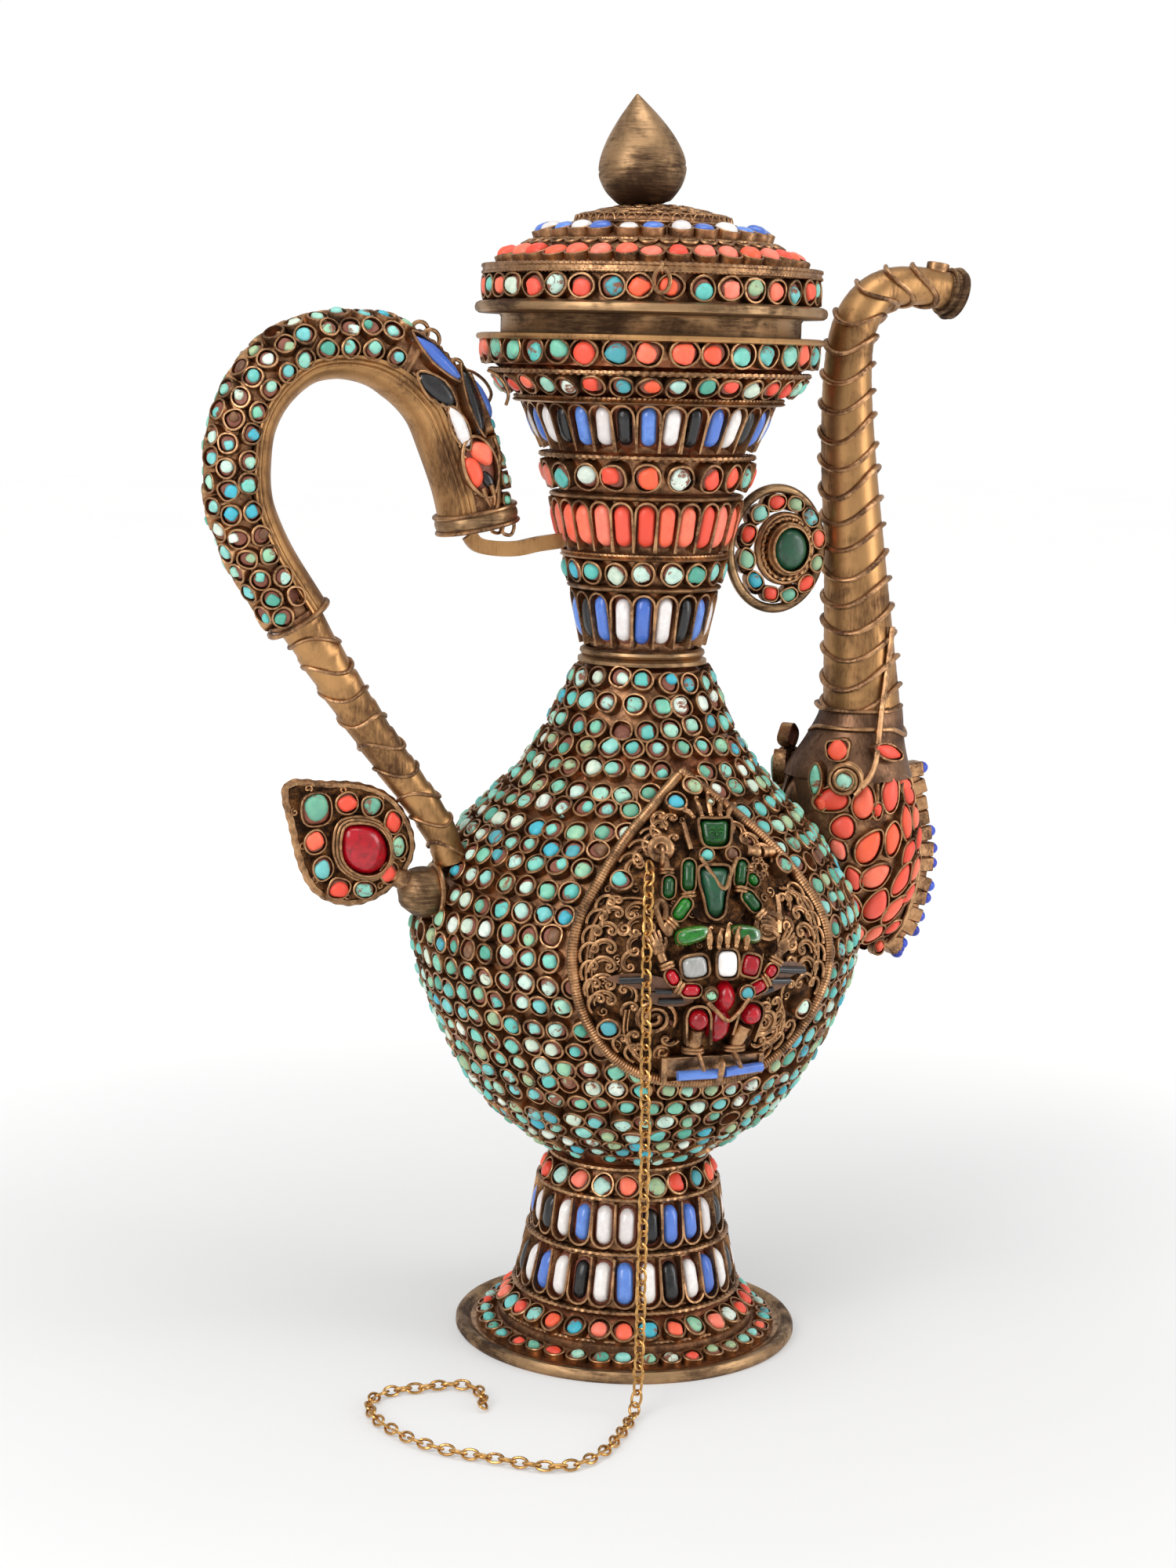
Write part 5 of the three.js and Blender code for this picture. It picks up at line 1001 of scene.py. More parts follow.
round_row("neck_row_mixed", NECK, 317.9, 5.4, 20, "ctcctctc", "neck_row_round_mixed", 34,
          ground=(311.5, 324.6),
          empty=0.1, fill=0.84, depth=4.6)
rod_row("neck_rods_flared", NECK, 326.8, 342.6, 32, "bwkbwkbwbwkbw", "neck_row_rods_flared", 35)
round_row("neck_row_under_mouth", NECK, 349.4, 4.6, 35, "cttctc", "neck_row_under_mouth", 36,
          ground=(344.8, 354), depth=5.0, empty=0.06, fill=0.8)
round_row("mouth_row", NECK, 361.2, 5.05, 34, "ctctttct", "mouth_row_round", 37, ground=(355.2, 366.4),
          aspect=1.1, fill=0.82, depth=4.8, empty=0.03)
for level in (1, 2, 3, 4):
    ledge("foot_rope_%d" % level, "foot_ledge_%d" % level, "rope", 1.25)
for level, kind in ((1, "plain"), (2, "double"), (3, "plain"), (4, "rope"), (5, "double"), (6, "rope")):
    ledge("neck_ring_%d" % level, "neck_ledge_%d" % level, kind, 1.3)


def whorl(size, turns, steps=26, inner=0.16):
    """A flat spiral that winds in from its outer end. Inner is its inner end's share of the size."""
    line = []
    for k in range(steps + 1):
        reach = size * (1 - (1 - inner) * k / steps)
        angle = TURN * turns * k / steps
        line.append((reach * math.cos(angle), reach * math.sin(angle), 0))
    return np.array(line)


# Plain turned metal: the foot's plate, the collar, the mouth and the lid's flange
def turned(name, body, slot, node, material, outline):
    """A turned ring as one piece, from its section."""
    piece = Piece(name)
    piece.add(lathe(outline, 144, True), material)
    piece.place(body, slot, node)


def foot_plate():
    """The plate, a little out of round, and the row of bezels on it."""
    piece = Piece("foot_plate_spun")
    rng = random.Random(3)
    rim = [(56.8, 0.3), (62.0, 0.0), (62.9, 1.2), (62.8, 3.0), (61.9, 4.2), (60.4, 4.4), (59.0, 3.8),
           (58.2, 2.9), (56.8, 2.6)]
    disc = [(0, 0.4), (57.4, 0.4), (57.4, 2.7), (52, 2.9), (44, 2.9), (0, 2.9)]
    for (points, faces), material in ((lathe(rim, 180, True), SPUN), (lathe(disc, 180), BRASS)):
        angle = np.arctan2(points[:, [1]], points[:, [0]])
        points[:, :2] *= 1 + 0.007 * np.cos(2 * angle + 0.9) + 0.006 * np.cos(3 * angle - 0.4)
        piece.add((points, faces), material)
    piece.place("ewer", "brass", "foot_plate")
    beads = Piece("foot_hem_bezels")
    hem = [(45.8, 2.7), (55.6, 2.7), (55.8, 3.1), (49.4, 3.3), (47.6, 4.2), (47.3, 8.4), (45.8, 9.2)]
    beads.add(lathe(hem, 144, True), GROUND)
    count = 38
    for k, kind in enumerate(kinds("tttct", count, rng, 0.1)):
        degrees = FACING_CAMERA + 360 * (k + rng.uniform(-0.06, 0.06)) / count
        at = basis(around(51.6, degrees, 3.2), around(1, degrees, 3.4), (0, 0, 1))
        outline = pebble(4.1 * rng.uniform(0.95, 1.03), 3.5 * rng.uniform(0.94, 1.03), rng, 20, 0.04)
        filled(beads, at, outline, rng.uniform(2.9, 3.5), rng, kind, rng.uniform(0.68, 0.86), 1.1, foot=-0.4)
    rope_ring(beads, 46.2, 9.6, 1.0)
    beads.place("ewer", "turquoise", "foot_hem_beads")


foot_plate()
turned("collar_rolls", "ewer", "brass", "neck_collar", SPUN,
       [(20.6, 250.4), (22.0, 250.3), (23.4, 250.9), (23.3, 252.2), (22.0, 252.9), (21.4, 253.2),
        (22.2, 253.6),
         (22.7, 254.4), (22.5, 255.4), (21.4, 256.2), (20.6, 256.2)])
turned("mouth_flange_rolled", "ewer", "copper", "mouth_flange", DRAWN,
       [(55.6, 364.6), (60.8, 364.6), (61.9, 365.0), (62.2, 365.8), (61.8, 366.7), (60.6, 367.0),
        (55.6, 367.0)])
turned("lid_flange_rolled", "lid", "brass", "lid_flange", SPUN,
       [(52.2, 356.3), (53.5, 356.3), (53.5, 372.6), (54.2, 373.7), (61.4, 373.9), (62.5, 374.7),
        (62.8, 376.0),
         (62.4, 377.3), (61.2, 378.0), (50.0, 378.0), (50.0, 374.6), (52.2, 373.2)])


# The lid's rows, and where its staple stands
STAPLE_AZIMUTH = -112
LID_LINE = [(55.5, 387.7), (53.6, 390.4), (47.7, 396.0), (40.0, 400.3), (28.9, 404.6), (13.9, 407.5),
            (3, 408.25)]
DRUM = Profile([(60, 377), (60, 382), (60, 388.4)])
DOME = Profile(LID_LINE)


def lid_drum_row():
    rng = random.Random(41)
    piece = Piece("lid_drum_bezels")
    piece.add(DRUM.sheet(378.2, 387.6, JACKET - 0.2, 6), GROUND)
    count = 37
    for k, kind in enumerate(kinds("ctctct", count, rng, 0.08)):
        degrees = FACING_CAMERA + 6 + 360 * (k + rng.uniform(-0.05, 0.05)) / count
        at = moved(DRUM.seat(degrees, 382.9), tilt=rng.uniform(-0.08, 0.08), lean=rng.uniform(-0.1, 0.1))
        outline = pebble(4.95 * rng.uniform(0.95, 1.03), 4.55 * rng.uniform(0.96, 1.02), rng, 20, 0.03)
        kind = None if k in (8, 23) else kind
        filled(piece, at, outline, rng.uniform(4.4, 5.4), rng, kind, rng.uniform(0.7, 0.86), 0.7)
    piece.place("lid", "copper", "lid_row_drum")


def lid_wires():
    piece = Piece("lid_rope_and_staple")
    band = [(55.4, 387.5), (59.8, 387.5), (60.2, 388.0), (60.2, 389.6), (59.8, 390.3), (55.4, 390.3)]
    piece.add(lathe(band, 144, True), BRASS)
    rope_ring(piece, 59.9, 390.3, 1.05)
    rope_ring(piece, 60.1, 388.0, 0.75)
    staple = []
    for k in range(13):
        angle = -math.pi / 2 + math.pi * k / 12
        staple.append(around(58.6 + 2.9 * math.cos(angle), STAPLE_AZIMUTH, 389.1 + 1.7 * math.sin(angle)))
    piece.add(tube(staple, 0.85, 8), BRASS)
    piece.place("lid", "brass", "lid_wire_and_staple")
    low, high = box_of("lid_loop")
    hanging = Piece("lid_hanging_ring")
    half_height = (high[2] - low[2]) / 2 - 0.7
    at = basis((low + high) / 2, around(1, STAPLE_AZIMUTH, 0), (0, 0, 1))
    hanging.add(tube(oval_ring(2.7, half_height), 0.78, 8, loop=True), BRASS, at)
    hanging.place("lid_ring", "brass", "lid_loop")


def upright_ring(name, count, share, half_width, half_long, wall_height, pattern, seed, lift, fill, tilt):
    """A ring of stones on the dome, whose settings make a scalloped wall."""
    rng = random.Random(seed)
    piece = Piece(name)
    line = even(DOME.line, 200)
    z = line[int(share * 200), 1]
    for k, kind in enumerate(kinds(pattern, count, rng, 0.06)):
        degrees = FACING_CAMERA + 360 * (k + rng.uniform(-0.05, 0.05)) / count
        at = moved(DOME.seat(degrees, z, -0.2), tilt=tilt + rng.uniform(-0.05, 0.05),
                   lean=rng.uniform(-0.06, 0.06))
        outline = oval(half_width * rng.uniform(0.96, 1.03), half_long * rng.uniform(0.95, 1.04), 20)
        filled(piece, at, outline, wall_height * rng.uniform(0.93, 1.06), rng, kind,
               fill * rng.uniform(0.92, 1.05),
               lift, 0.6, 0.65, -3.6)
    return piece


def lid_rings():
    coral = upright_ring("lid_coral_ring", 36, 0.125, 4.7, 5.0, 1.9, "c", 43, 1.8, 0.94, -0.42)
    coral.add(DOME.sheet(388, 401, -0.25, 14), GROUND)
    for k in range(40):
        at = DOME.seat(9 * k, 398.6, -0.2)
        coral.add(tube(arch(3.1, -3.0, 0.7), 0.6, 7), BRASS, at)
    rope_ring(coral, 44.0, 399.2, 0.8)
    coral.place("lid", "copper", "lid_row_coral")
    glass = upright_ring("lid_glass_ring", 26, 0.39, 4.7, 4.9, 2.5, "bw", 44, 1.6, 0.95, -0.14)
    glass.add(DOME.sheet(400, 406.4, -0.25, 12), GROUND)
    plain_ring(glass, 30.0, 405.6, 1.6, 0.8)
    glass.place("lid", "enamel", "lid_row_glass")


def lid_cap():
    """Rows of small spirals on the cap, and a fringe of arches round it."""
    rng = random.Random(45)
    piece = Piece("lid_filigree_cap")
    slope = [(28.2, 406.6), (27.7, 407.6), (26, 408.4), (17, 410.7), (8, 412.4), (5, 413.0)]
    piece.add(lathe([(24, 405.4), (27.8, 405.8)] + slope + [(4, 413.0), (4, 407.6), (14, 407.0)], 96, True),
              GROUND)
    for reach, z, count, size in ((23.6, 409.05, 24, 2.7), (17.6, 410.55, 18, 2.6), (12.0, 411.7, 12, 2.6)):
        for k in range(count):
            degrees = 360 * (k + rng.uniform(-0.08, 0.08)) / count + reach
            at = basis(around(reach, degrees, z), around(0.17, degrees, 1), around(1, degrees, 0))
            line = whorl(size, 1.5) * (-1 if k % 2 else 1, 1, 1)
            piece.add(tube(line, 0.42, 6), GOLD, moved(at, z=0.35, turn=rng.uniform(-0.3, 0.3)))
        rope_ring(piece, reach + 3.0, z - 0.35, 0.5)
    for k in range(44):
        degrees = 360 * k / 44
        at = basis(around(28.0, degrees, 406.2), around(1, degrees, 0.2), (0, 0, 1))
        piece.add(tube(arch(1.75, 2.4), 0.36, 6), GOLD, at)
    rope_ring(piece, 28.4, 406.0, 0.55)
    piece.place("lid", "brass", "lid_scroll_cap")


FINIAL_RADIUS = 15.5
FINIAL_HEIGHT = 38.2
FINIAL_SHARES = [
    (0.42, 0), (0.5, 0.012), (0.62, 0.03), (0.86, 0.14), (0.985, 0.26), (1.0, 0.35), (0.93, 0.47),
    (0.75, 0.62), (0.5, 0.77), (0.26, 0.89), (0.1, 0.965), (0.02, 1.0)]


def finial():
    """An onion with a seam, leaning a little."""
    line = spline([(FINIAL_RADIUS * r, FINIAL_HEIGHT * z) for r, z in FINIAL_SHARES], 90)
    seam = 0.33 * FINIAL_HEIGHT
    outline = [(r - 0.35 * math.exp(-((z - seam) / 0.4) ** 2), z) for r, z in line]
    piece = Piece("finial_onion")
    at = moved(np.eye(4), x=-3.6, z=412.65, lean=-math.radians(6))
    points, faces = lathe([(0.01, 0)] + outline, 96)
    around_axis = np.arctan2(points[:, 1], points[:, 0])
    rise = np.clip(points[:, 2] / FINIAL_HEIGHT, 0, 1)
    points[:, 2] += 0.5 * np.sin(around_axis + 0.6) * np.sin(math.pi * rise)
    piece.add((points, faces), SPUN, at)
    piece.place("lid", "brass", "finial")


lid_drum_row()
lid_wires()
lid_rings()
lid_cap()
finial()


# The handle: a wrapped grip, a crook set with turquoise on its outer side, and a dragon's head
HANDLE_SHARES = [
    (-0.026, 0.023), (0.021, 0.074), (0.107, 0.131), (0.234, 0.201), (0.427, 0.31), (0.593, 0.41),
    (0.743, 0.507), (0.876, 0.594), (0.951, 0.659), (0.991, 0.713), (1, 0.778), (0.977, 0.859), (0.896, 0.93),
    (0.762, 0.984), (0.605, 1), (0.446, 0.992), (0.305, 0.959), (0.179, 0.903), (0.087, 0.827),
    (0.003, 0.745), (-0.055, 0.665)]
HANDLE_FOOT = (74.826, 176.277)
HANDLE_TOP_SIDE = 62.5
HANDLE_REACH = 152
HANDLE_STEPS = 800
GRIP_RADII = (5.7, 7.9)
HANDLE_RISE = 184.7
GRIP_END = 0.335
CROOK_END = 0.79
JAW_START = 0.9925
BAND_START = 0.978
CASING_ANGLE = 74
SIDEWAYS = np.array((0.0, 1.0, 0.0))


def handle_line():
    """The handle's middle line, in the plane of the spout."""
    points = []
    for out, up in HANDLE_SHARES:
        near = between(HANDLE_FOOT[0], HANDLE_TOP_SIDE, up * up)
        points.append((-between(near, HANDLE_REACH, out), 0, HANDLE_FOOT[1] + HANDLE_RISE * up))
    return spline(points, HANDLE_STEPS)


HANDLE = handle_line()


def handle_at(share):
    """Place, direction and outer side on the handle's line."""
    k = min(max(share * HANDLE_STEPS, 1), HANDLE_STEPS - 1)
    i = int(k)
    place = between(HANDLE[i], HANDLE[i + 1], k - i)
    along = unit(HANDLE[min(i + 6, HANDLE_STEPS)] - HANDLE[max(i - 6, 0)])
    return place, along, np.cross(along, SIDEWAYS)


def crook_half(share):
    """Half the crook's width seen from the side, and half its depth."""
    grown_to = min(max((share - CROOK_END + 0.08) / 0.08, 0), 1)
    return between(11.2, 13.5, grown_to), between(10.0, 12.0, grown_to)


def crook_seat(share, degrees, inset=0.0):
    """A frame on the crook. The angle is from its inner side, and Y runs along the handle."""
    place, along, out = handle_at(share)
    wide, deep = crook_half(share)
    angle = math.radians(degrees)
    point = place - out * math.cos(angle) * wide + SIDEWAYS * math.sin(angle) * deep
    normal = unit(-out * math.cos(angle) * deep + SIDEWAYS * math.sin(angle) * wide)
    return basis(point - normal * inset, normal, along)


def crook_near(x, z, side, inset=0.0):
    """The frame on the crook's flank at a place seen from the side. Side is -1 for the front."""
    place = np.array((x, 0.0, z))
    k = int(np.argmin(np.linalg.norm(HANDLE - place, axis=1)))
    share = k / HANDLE_STEPS
    middle, _, out = handle_at(share)
    off = min(max((place - middle) @ out / crook_half(share)[0], -0.97), 0.97)
    return crook_seat(share, side * math.degrees(math.acos(-off)), inset)


def crook_ring(share, inset, count=40):
    return [crook_seat(share, 360 * k / count, inset)[:3, 3] for k in range(count)]


def crook_shell(piece, start, end, low, high, inset, depth, steps, around_steps, material, grooves=()):
    """A closed strip of the crook's wall between two angles."""
    rings = []
    for share in np.linspace(start, end, steps):
        ring = []
        for degrees in np.linspace(low, high, around_steps):
            cutting = sum(0.55 * math.exp(-((abs(degrees) - g) / 1.6) ** 2) for g in grooves)
            ring.append(crook_seat(share, degrees, inset + cutting)[:3, 3])
        for degrees in np.linspace(high, low, around_steps):
            ring.append(crook_seat(share, degrees, inset + depth)[:3, 3])
        rings.append(np.array(ring))
    piece.add(skin(rings, start=True, end=True), material)


def handle_grip():
    """A strip wound round the bar, each turn a step thicker at its lower edge."""
    piece = Piece("grip_wrapped")
    rings = []
    for share in np.linspace(0.0, GRIP_END - 0.001, 190):
        place, _, out = handle_at(share)
        radius = between(*GRIP_RADII, share / GRIP_END)
        ring = []
        for k in range(28):
            angle = TURN * k / 28
            turn = (share * length_of(HANDLE) / 12.4 + 0.42 * math.cos(angle) + 0.1 * math.sin(angle)) % 1
            reach = radius * (0.955 + 0.075 * min(turn * 1.25, 1)) * (1 - 0.05 * (turn > 0.93))
            ring.append(place + reach * (out * math.cos(angle) + SIDEWAYS * math.sin(angle)))
        rings.append(np.array(ring))
    piece.add(skin(rings, start=True, end=True), DRAWN)
    rng = random.Random(50)
    for number in range(9):
        ring = []
        phase = rng.uniform(0, TURN)
        for k in range(44):
            angle = TURN * k / 44
            wave = 0.012 * math.cos(angle) + 0.006 * math.sin(2 * angle + phase)
            place, _, out = handle_at((number + 0.55) * GRIP_END / 9.3 + wave)
            radius = between(*GRIP_RADII, (number + 0.5) / 9) * 1.03
            ring.append(place + radius * (out * math.cos(angle) + SIDEWAYS * math.sin(angle)))
        piece.add(tube(ring, 0.75, 7, loop=True), BRASS)
    piece.place("ewer", "brass", "handle_grip")


def crook_casing():
    """The plain inner casing with its grooves, and the band round the jaw's end."""
    piece = Piece("crook_engraved_casing")
    crook_shell(piece, GRIP_END + 0.001, JAW_START, -CASING_ANGLE, CASING_ANGLE, 0.0, 1.6, 150, 90, DRAWN,
                (50, 58, 66))
    for end, inset in ((GRIP_END + 0.002, -0.3), (CROOK_END, 1.2)):
        piece.add(tube(crook_ring(end, inset), 1.0, 8, loop=True), BRASS)
    rings = []
    for k in range(9):
        share = between(BAND_START, 1.0, k / 8)
        out_by = -1.3 * math.sin(math.pi * k / 8) - 0.2
        rings.append(np.array(crook_ring(share, out_by)))
    piece.add(skin(rings, start=True, end=True), SPUN)
    for share in (BAND_START + 0.002, 0.998):
        piece.add(tube(crook_ring(share, -1.1, 48), 0.8, 8, loop=True), BRASS)
    piece.place("ewer", "brass", "crook_casing")


def crook_stones():
    """Six rows of bezels along the crook."""
    rng = random.Random(51)
    piece = Piece("crook_turquoise_bezels")
    crook_shell(piece, GRIP_END + 0.002, CROOK_END - 0.001, CASING_ANGLE + 1, 359 - CASING_ANGLE, 2.5, 2.6,
                110, 30, GROUND)
    for share in (GRIP_END + 0.004, CROOK_END - 0.009):
        disc = [np.array(crook_ring(share + step, 0.9)) for step in (0, 0.006)]
        piece.add(skin(disc, start=True, end=True), GROUND)
    for number, degrees in enumerate((86, 124, 162, 198, 236, 274)):
        shares = np.linspace(GRIP_END + 0.012, CROOK_END - 0.012, 400)
        line = np.array([crook_seat(s, degrees)[:3, 3] for s in shares])
        reach = reach_along(line)
        count = int(reach[-1] / 7.8)
        for k in range(count):
            step = k + 0.5 + (0.25 if number % 2 else -0.25) + rng.uniform(-0.06, 0.06)
            share = float(np.interp(reach[-1] * step / count, reach, shares))
            at = crook_seat(share, degrees + rng.uniform(-1.5, 1.5), 4.2)
            at = moved(at, tilt=rng.uniform(-0.1, 0.1), lean=rng.uniform(-0.1, 0.1),
                       turn=rng.uniform(0, TURN))
            size = 3.85 * rng.uniform(0.96, 1.04)
            outline = pebble(size, size * rng.uniform(0.94, 1), rng, 18, 0.035)
            chance = rng.random()
            kind = None if chance < 0.04 else "h" if chance < 0.07 else "t"
            filled(piece, at, outline, rng.uniform(4.2, 5.2), rng, kind, rng.uniform(0.56, 0.8), 0.7,
                   rng.uniform(0.55, 0.85), 0.7)
    piece.place("ewer", "turquoise", "crook_turquoise")


# The dragon's head, as stones on its two flanks: both ends seen from the side, half the width,
# the stone, and how pointed it is
HEAD_STONES = [
    ((-93.8, 366.0), (-76.7, 350.1), 3.9, "b", 0.45), ((-92.3, 352.6), (-78.5, 341.2), 4.5, "k", 0.4),
    ((-75.9, 355.4), (-67.0, 331.2), 3.7, "k", 0.45), ((-80.3, 341.2), (-73.3, 326.5), 3.6, "w", 0.3),
    ((-70.1, 351.8), (-62.0, 335.3), 3.3, "b", 0.5)]
# Place seen from the side, half size and kind
HEAD_BEADS = [(-60.2, 330.3, 2.3, "t"), (-58.6, 322.2, 2.4, "t"), (-58.2, 316.4, 3.1, "t"),
              (-58.0, 309.4, 2.9, "t")]
EYE = (-69.2, 320.8)
# Where on the handle a loop of the crest stands, and its size
RIDGE_LOOPS = [(0.79, 3.6), (0.802, 3.6), (0.835, 2.6), (0.85, 2.6), (0.866, 2.6)]

# Wires of the head: places seen from the side, with how far they stand out sideways as a third number
LIP = [(-62.6, 330.5), (-60.9, 326.0), (-61.4, 321.0), (-62.4, 316.5), (-62.2, 311.0), (-63.0, 305.5),
       (-64.6, 301.5)]
WHISKER = [(-66.4, 353.8, 11.0), (-63.0, 352.5, 9.6), (-59.5, 349.5, 8.4), (-57.5, 345.5, 8.0),
           (-58.6, 342.0, 8.6)]
JAW_CURL = [(-57.6, 309.0, 7.0), (-55.6, 305.0, 6.6), (-53.6, 300.5, 6.0), (-54.4, 297.0, 5.4),
            (-57.4, 297.6, 5.2), (-57.2, 300.6, 5.4)]


def dragon_head():
    """Stones, eye, fangs and wires on both flanks, and a ridge with loops."""
    rng = random.Random(52)
    piece = Piece("dragon_head_set")
    crook_shell(piece, CROOK_END + 0.001, BAND_START, CASING_ANGLE + 1, 359 - CASING_ANGLE, 2.6, 1.6, 60, 40,
                GROUND)
    for side in (-1, 1):
        for start, end, half_width, kind, point in HEAD_STONES:
            middle = crook_near((start[0] + end[0]) / 2, (start[1] + end[1]) / 2, side, 2.6)
            way = crook_near(*start, side)[:3, 3] - crook_near(*end, side)[:3, 3]
            across, along = way @ middle[:3, 0], way @ middle[:3, 1]
            at = moved(middle, turn=math.atan2(-across, along))
            half_height = np.linalg.norm(way) / 2 + 0.6
            outline = [(half_width * px * (1 - point * 0.6 * abs(py)), py * half_height)
                       for px, py in oval(1, 1, 26)]
            filled(piece, at, outline, 3.4, rng, kind, 0.94, 1.3, 0.45, 0.8)
        for x, z, half, kind in HEAD_BEADS:
            bead = pebble(half, half, rng, 16, 0.04)
            filled(piece, crook_near(x, z, side, 2.6), bead, 3.2, rng, kind, 0.84, 0.8, 0.6)
        eye = crook_near(*EYE, side, 2.6)
        socket = drop(7.0, 11.6, 0.25, 34)
        socket = [(x * side, y) for x, y in socket][::side]
        piece.add(collar(socket, -0.6, 4.0, 1.0), BRASS, eye)
        piece.add(dome(grown(socket, -0.6), -0.6, 2.2, 0.92, 4, 0.1, rng), RESIN, eye)
        for x, y, half_width, half_height, turn in ((2.8, 0.6, 3.0, 5.8, 0.1), (-2.4, -4.4, 3.7, 4.8, 0.4)):
            spot = moved(eye, x=-side * x, y=y, turn=-side * turn)
            shape = pebble(half_width, half_height, rng, 18, 0.08)
            piece.add(dome(shape, 1.6, 4.9, 0.62, 6), CORAL, spot, rng.random())
        spot = moved(eye, x=side * 1.6, y=5.6, turn=-side * 0.2)
        piece.add(dome(drop(2.2, 4.2, 0.5, 16), 1.2, 3.4, 0.6, 4), BLACK_GLASS, spot)
        for shift in (-1.6, 1.8):
            fang = [(-side * shift, 7.0, 3.4), (-side * shift * 0.9, 11.0, 3.4),
                    (-side * shift * 0.5, 14.0, 2.4)]
            fang = [eye[:3, :3] @ np.array(point) + eye[:3, 3] for point in fang]
            piece.add(tube(spline(fang, 12), np.linspace(1.0, 0.6, 13), 8), GOLD)
        piece.add(tube(spline([crook_near(x, z, side, -0.5)[:3, 3] for x, z in LIP], 60), 0.8, 7), GOLD)
        piece.add(tube(spline([(x, side * y, z) for x, z, y in WHISKER], 30), 0.6, 6), GOLD)
        piece.add(tube(spline([(x, side * y, z) for x, z, y in JAW_CURL], 36), 0.65, 6), GOLD)
        edge = [crook_seat(share, side * (CASING_ANGLE + 4), 0.2)[:3, 3]
                for share in np.linspace(CROOK_END + 0.005, JAW_START - 0.035, 60)]
        piece.add(twisted(edge, 0.8, 2.4), GOLD)
    for share, size in RIDGE_LOOPS:
        at = crook_seat(share, 180, 0)
        ring = [(0, size * math.cos(TURN * k / 20), size * 0.9 * math.sin(TURN * k / 20)) for k in range(20)]
        piece.add(tube(ring, 0.75, 7, loop=True), GOLD,
                  moved(at, z=size * 0.35 - 2.2, turn=rng.uniform(-0.3, 0.3)))
    ridge = [crook_seat(share, 180, 1.4)[:3, 3]
             for share in np.linspace(CROOK_END + 0.01, JAW_START - 0.035, 60)]
    piece.add(twisted(ridge, 1.2, 3.2), GOLD)
    for share in np.linspace(0.875, 0.955, 5):
        for side in (-1, 1):
            at = crook_seat(share, 180 - side * 20, 2.6)
            filled(piece, at, pebble(2.9, 3.2, rng, 16, 0.05), 3.4, rng, "t", 0.86, 0.8, 0.6)
    piece.place("ewer", "enamel", "dragon_head")


def handle_bracket():
    """A flat bar from the jaw to the neck."""
    piece = Piece("handle_bracket_bar")
    low, high = box_of("handle_bracket")
    z = high[2] - 1.8
    line = spline([(low[0] + 0.6, 0, z), (-65.0, 0, z - 3.4), (-58.5, 0, z - 4.8), (-50, 0, z - 4.9),
                   (-42, 0, z - 3.4), (high[0] - 0.5, 0, z - 2.2)], 40)
    rings = []
    for p, a in zip(line, sections(line, up=(0, 1, 0))[0]):
        half = 3.0 * a
        rings.append(np.array([p + s * half * (1 - 0.12 * (abs(t) > 1)) + SIDEWAYS * t
                               for s, t in ((1, -1.2), (1, 1.2), (-1, 1.2), (-1, -1.2))]))
    piece.add(skin(rings, start=True, end=True), DRAWN)
    piece.place("ewer", "brass", "handle_bracket")


SLEEVE_MIDDLE = (-83.2, 0, 170.4)


def handle_sleeve():
    """The grooved knob at the handle's foot, with the leaf's stem."""
    piece = Piece("handle_boss")
    middle = np.array(SLEEVE_MIDDLE)
    points, faces = ball((0, 0, 0), (9.3, 9.3, 9.1), 16, 32)
    points *= 1 + 0.03 * np.sin(points[:, [2]] * 1.1)
    piece.add((points, faces), SPUN, moved(np.eye(4), *middle))
    stem = spline([middle + (-3, 0, 1), (-90, 0, 174.6), (-94.0, 0, 176.6), (-97.3, 0, 178.0)], 24)
    piece.add(tube(stem, np.interp(np.linspace(0, 1, 25), (0, 0.3, 1), (6.2, 4.2, 3.0)), 18), BRASS)
    ring = [middle + (4.4, y, z) for y, z in oval(9.0, 9.0, 40)]
    piece.add(tube(ring, 1.1, 8, loop=True), GOLD)
    piece.place("ewer", "brass", "handle_sleeve")


LEAF_SHARES = [
    (-0.5, 0.5), (-0.2, 0.5), (0.065, 0.476), (0.3, 0.37), (0.45, 0.16), (0.5, -0.07), (0.42, -0.27),
    (0.24, -0.44), (0, -0.5), (-0.24, -0.4), (-0.37, -0.18), (-0.45, 0.15)]
LEAF_MIDDLE = (-111.0, 189.15)
LEAF_WIDTH = 46
LEAF_HEIGHT = 42
# Place seen from the side, half sizes and kind
LEAF_STONES = [
    (-124.2, 202.0, 5.6, 6.0, "t"), (-113.1, 203.8, 4.0, 3.7, "c"), (-103.8, 202.3, 3.8, 3.6, "t"),
    (-95.9, 196.4, 3.3, 4.0, "c"), (-93.7, 187.6, 2.9, 4.0, "t"), (-97.1, 178.4, 3.3, 3.8, "c"),
    (-106.2, 172.9, 4.0, 3.1, "t"), (-115.8, 173.8, 4.0, 3.7, "c"), (-121.6, 181.2, 3.4, 4.3, "t"),
    (-124.5, 190.6, 3.8, 4.1, "c")]


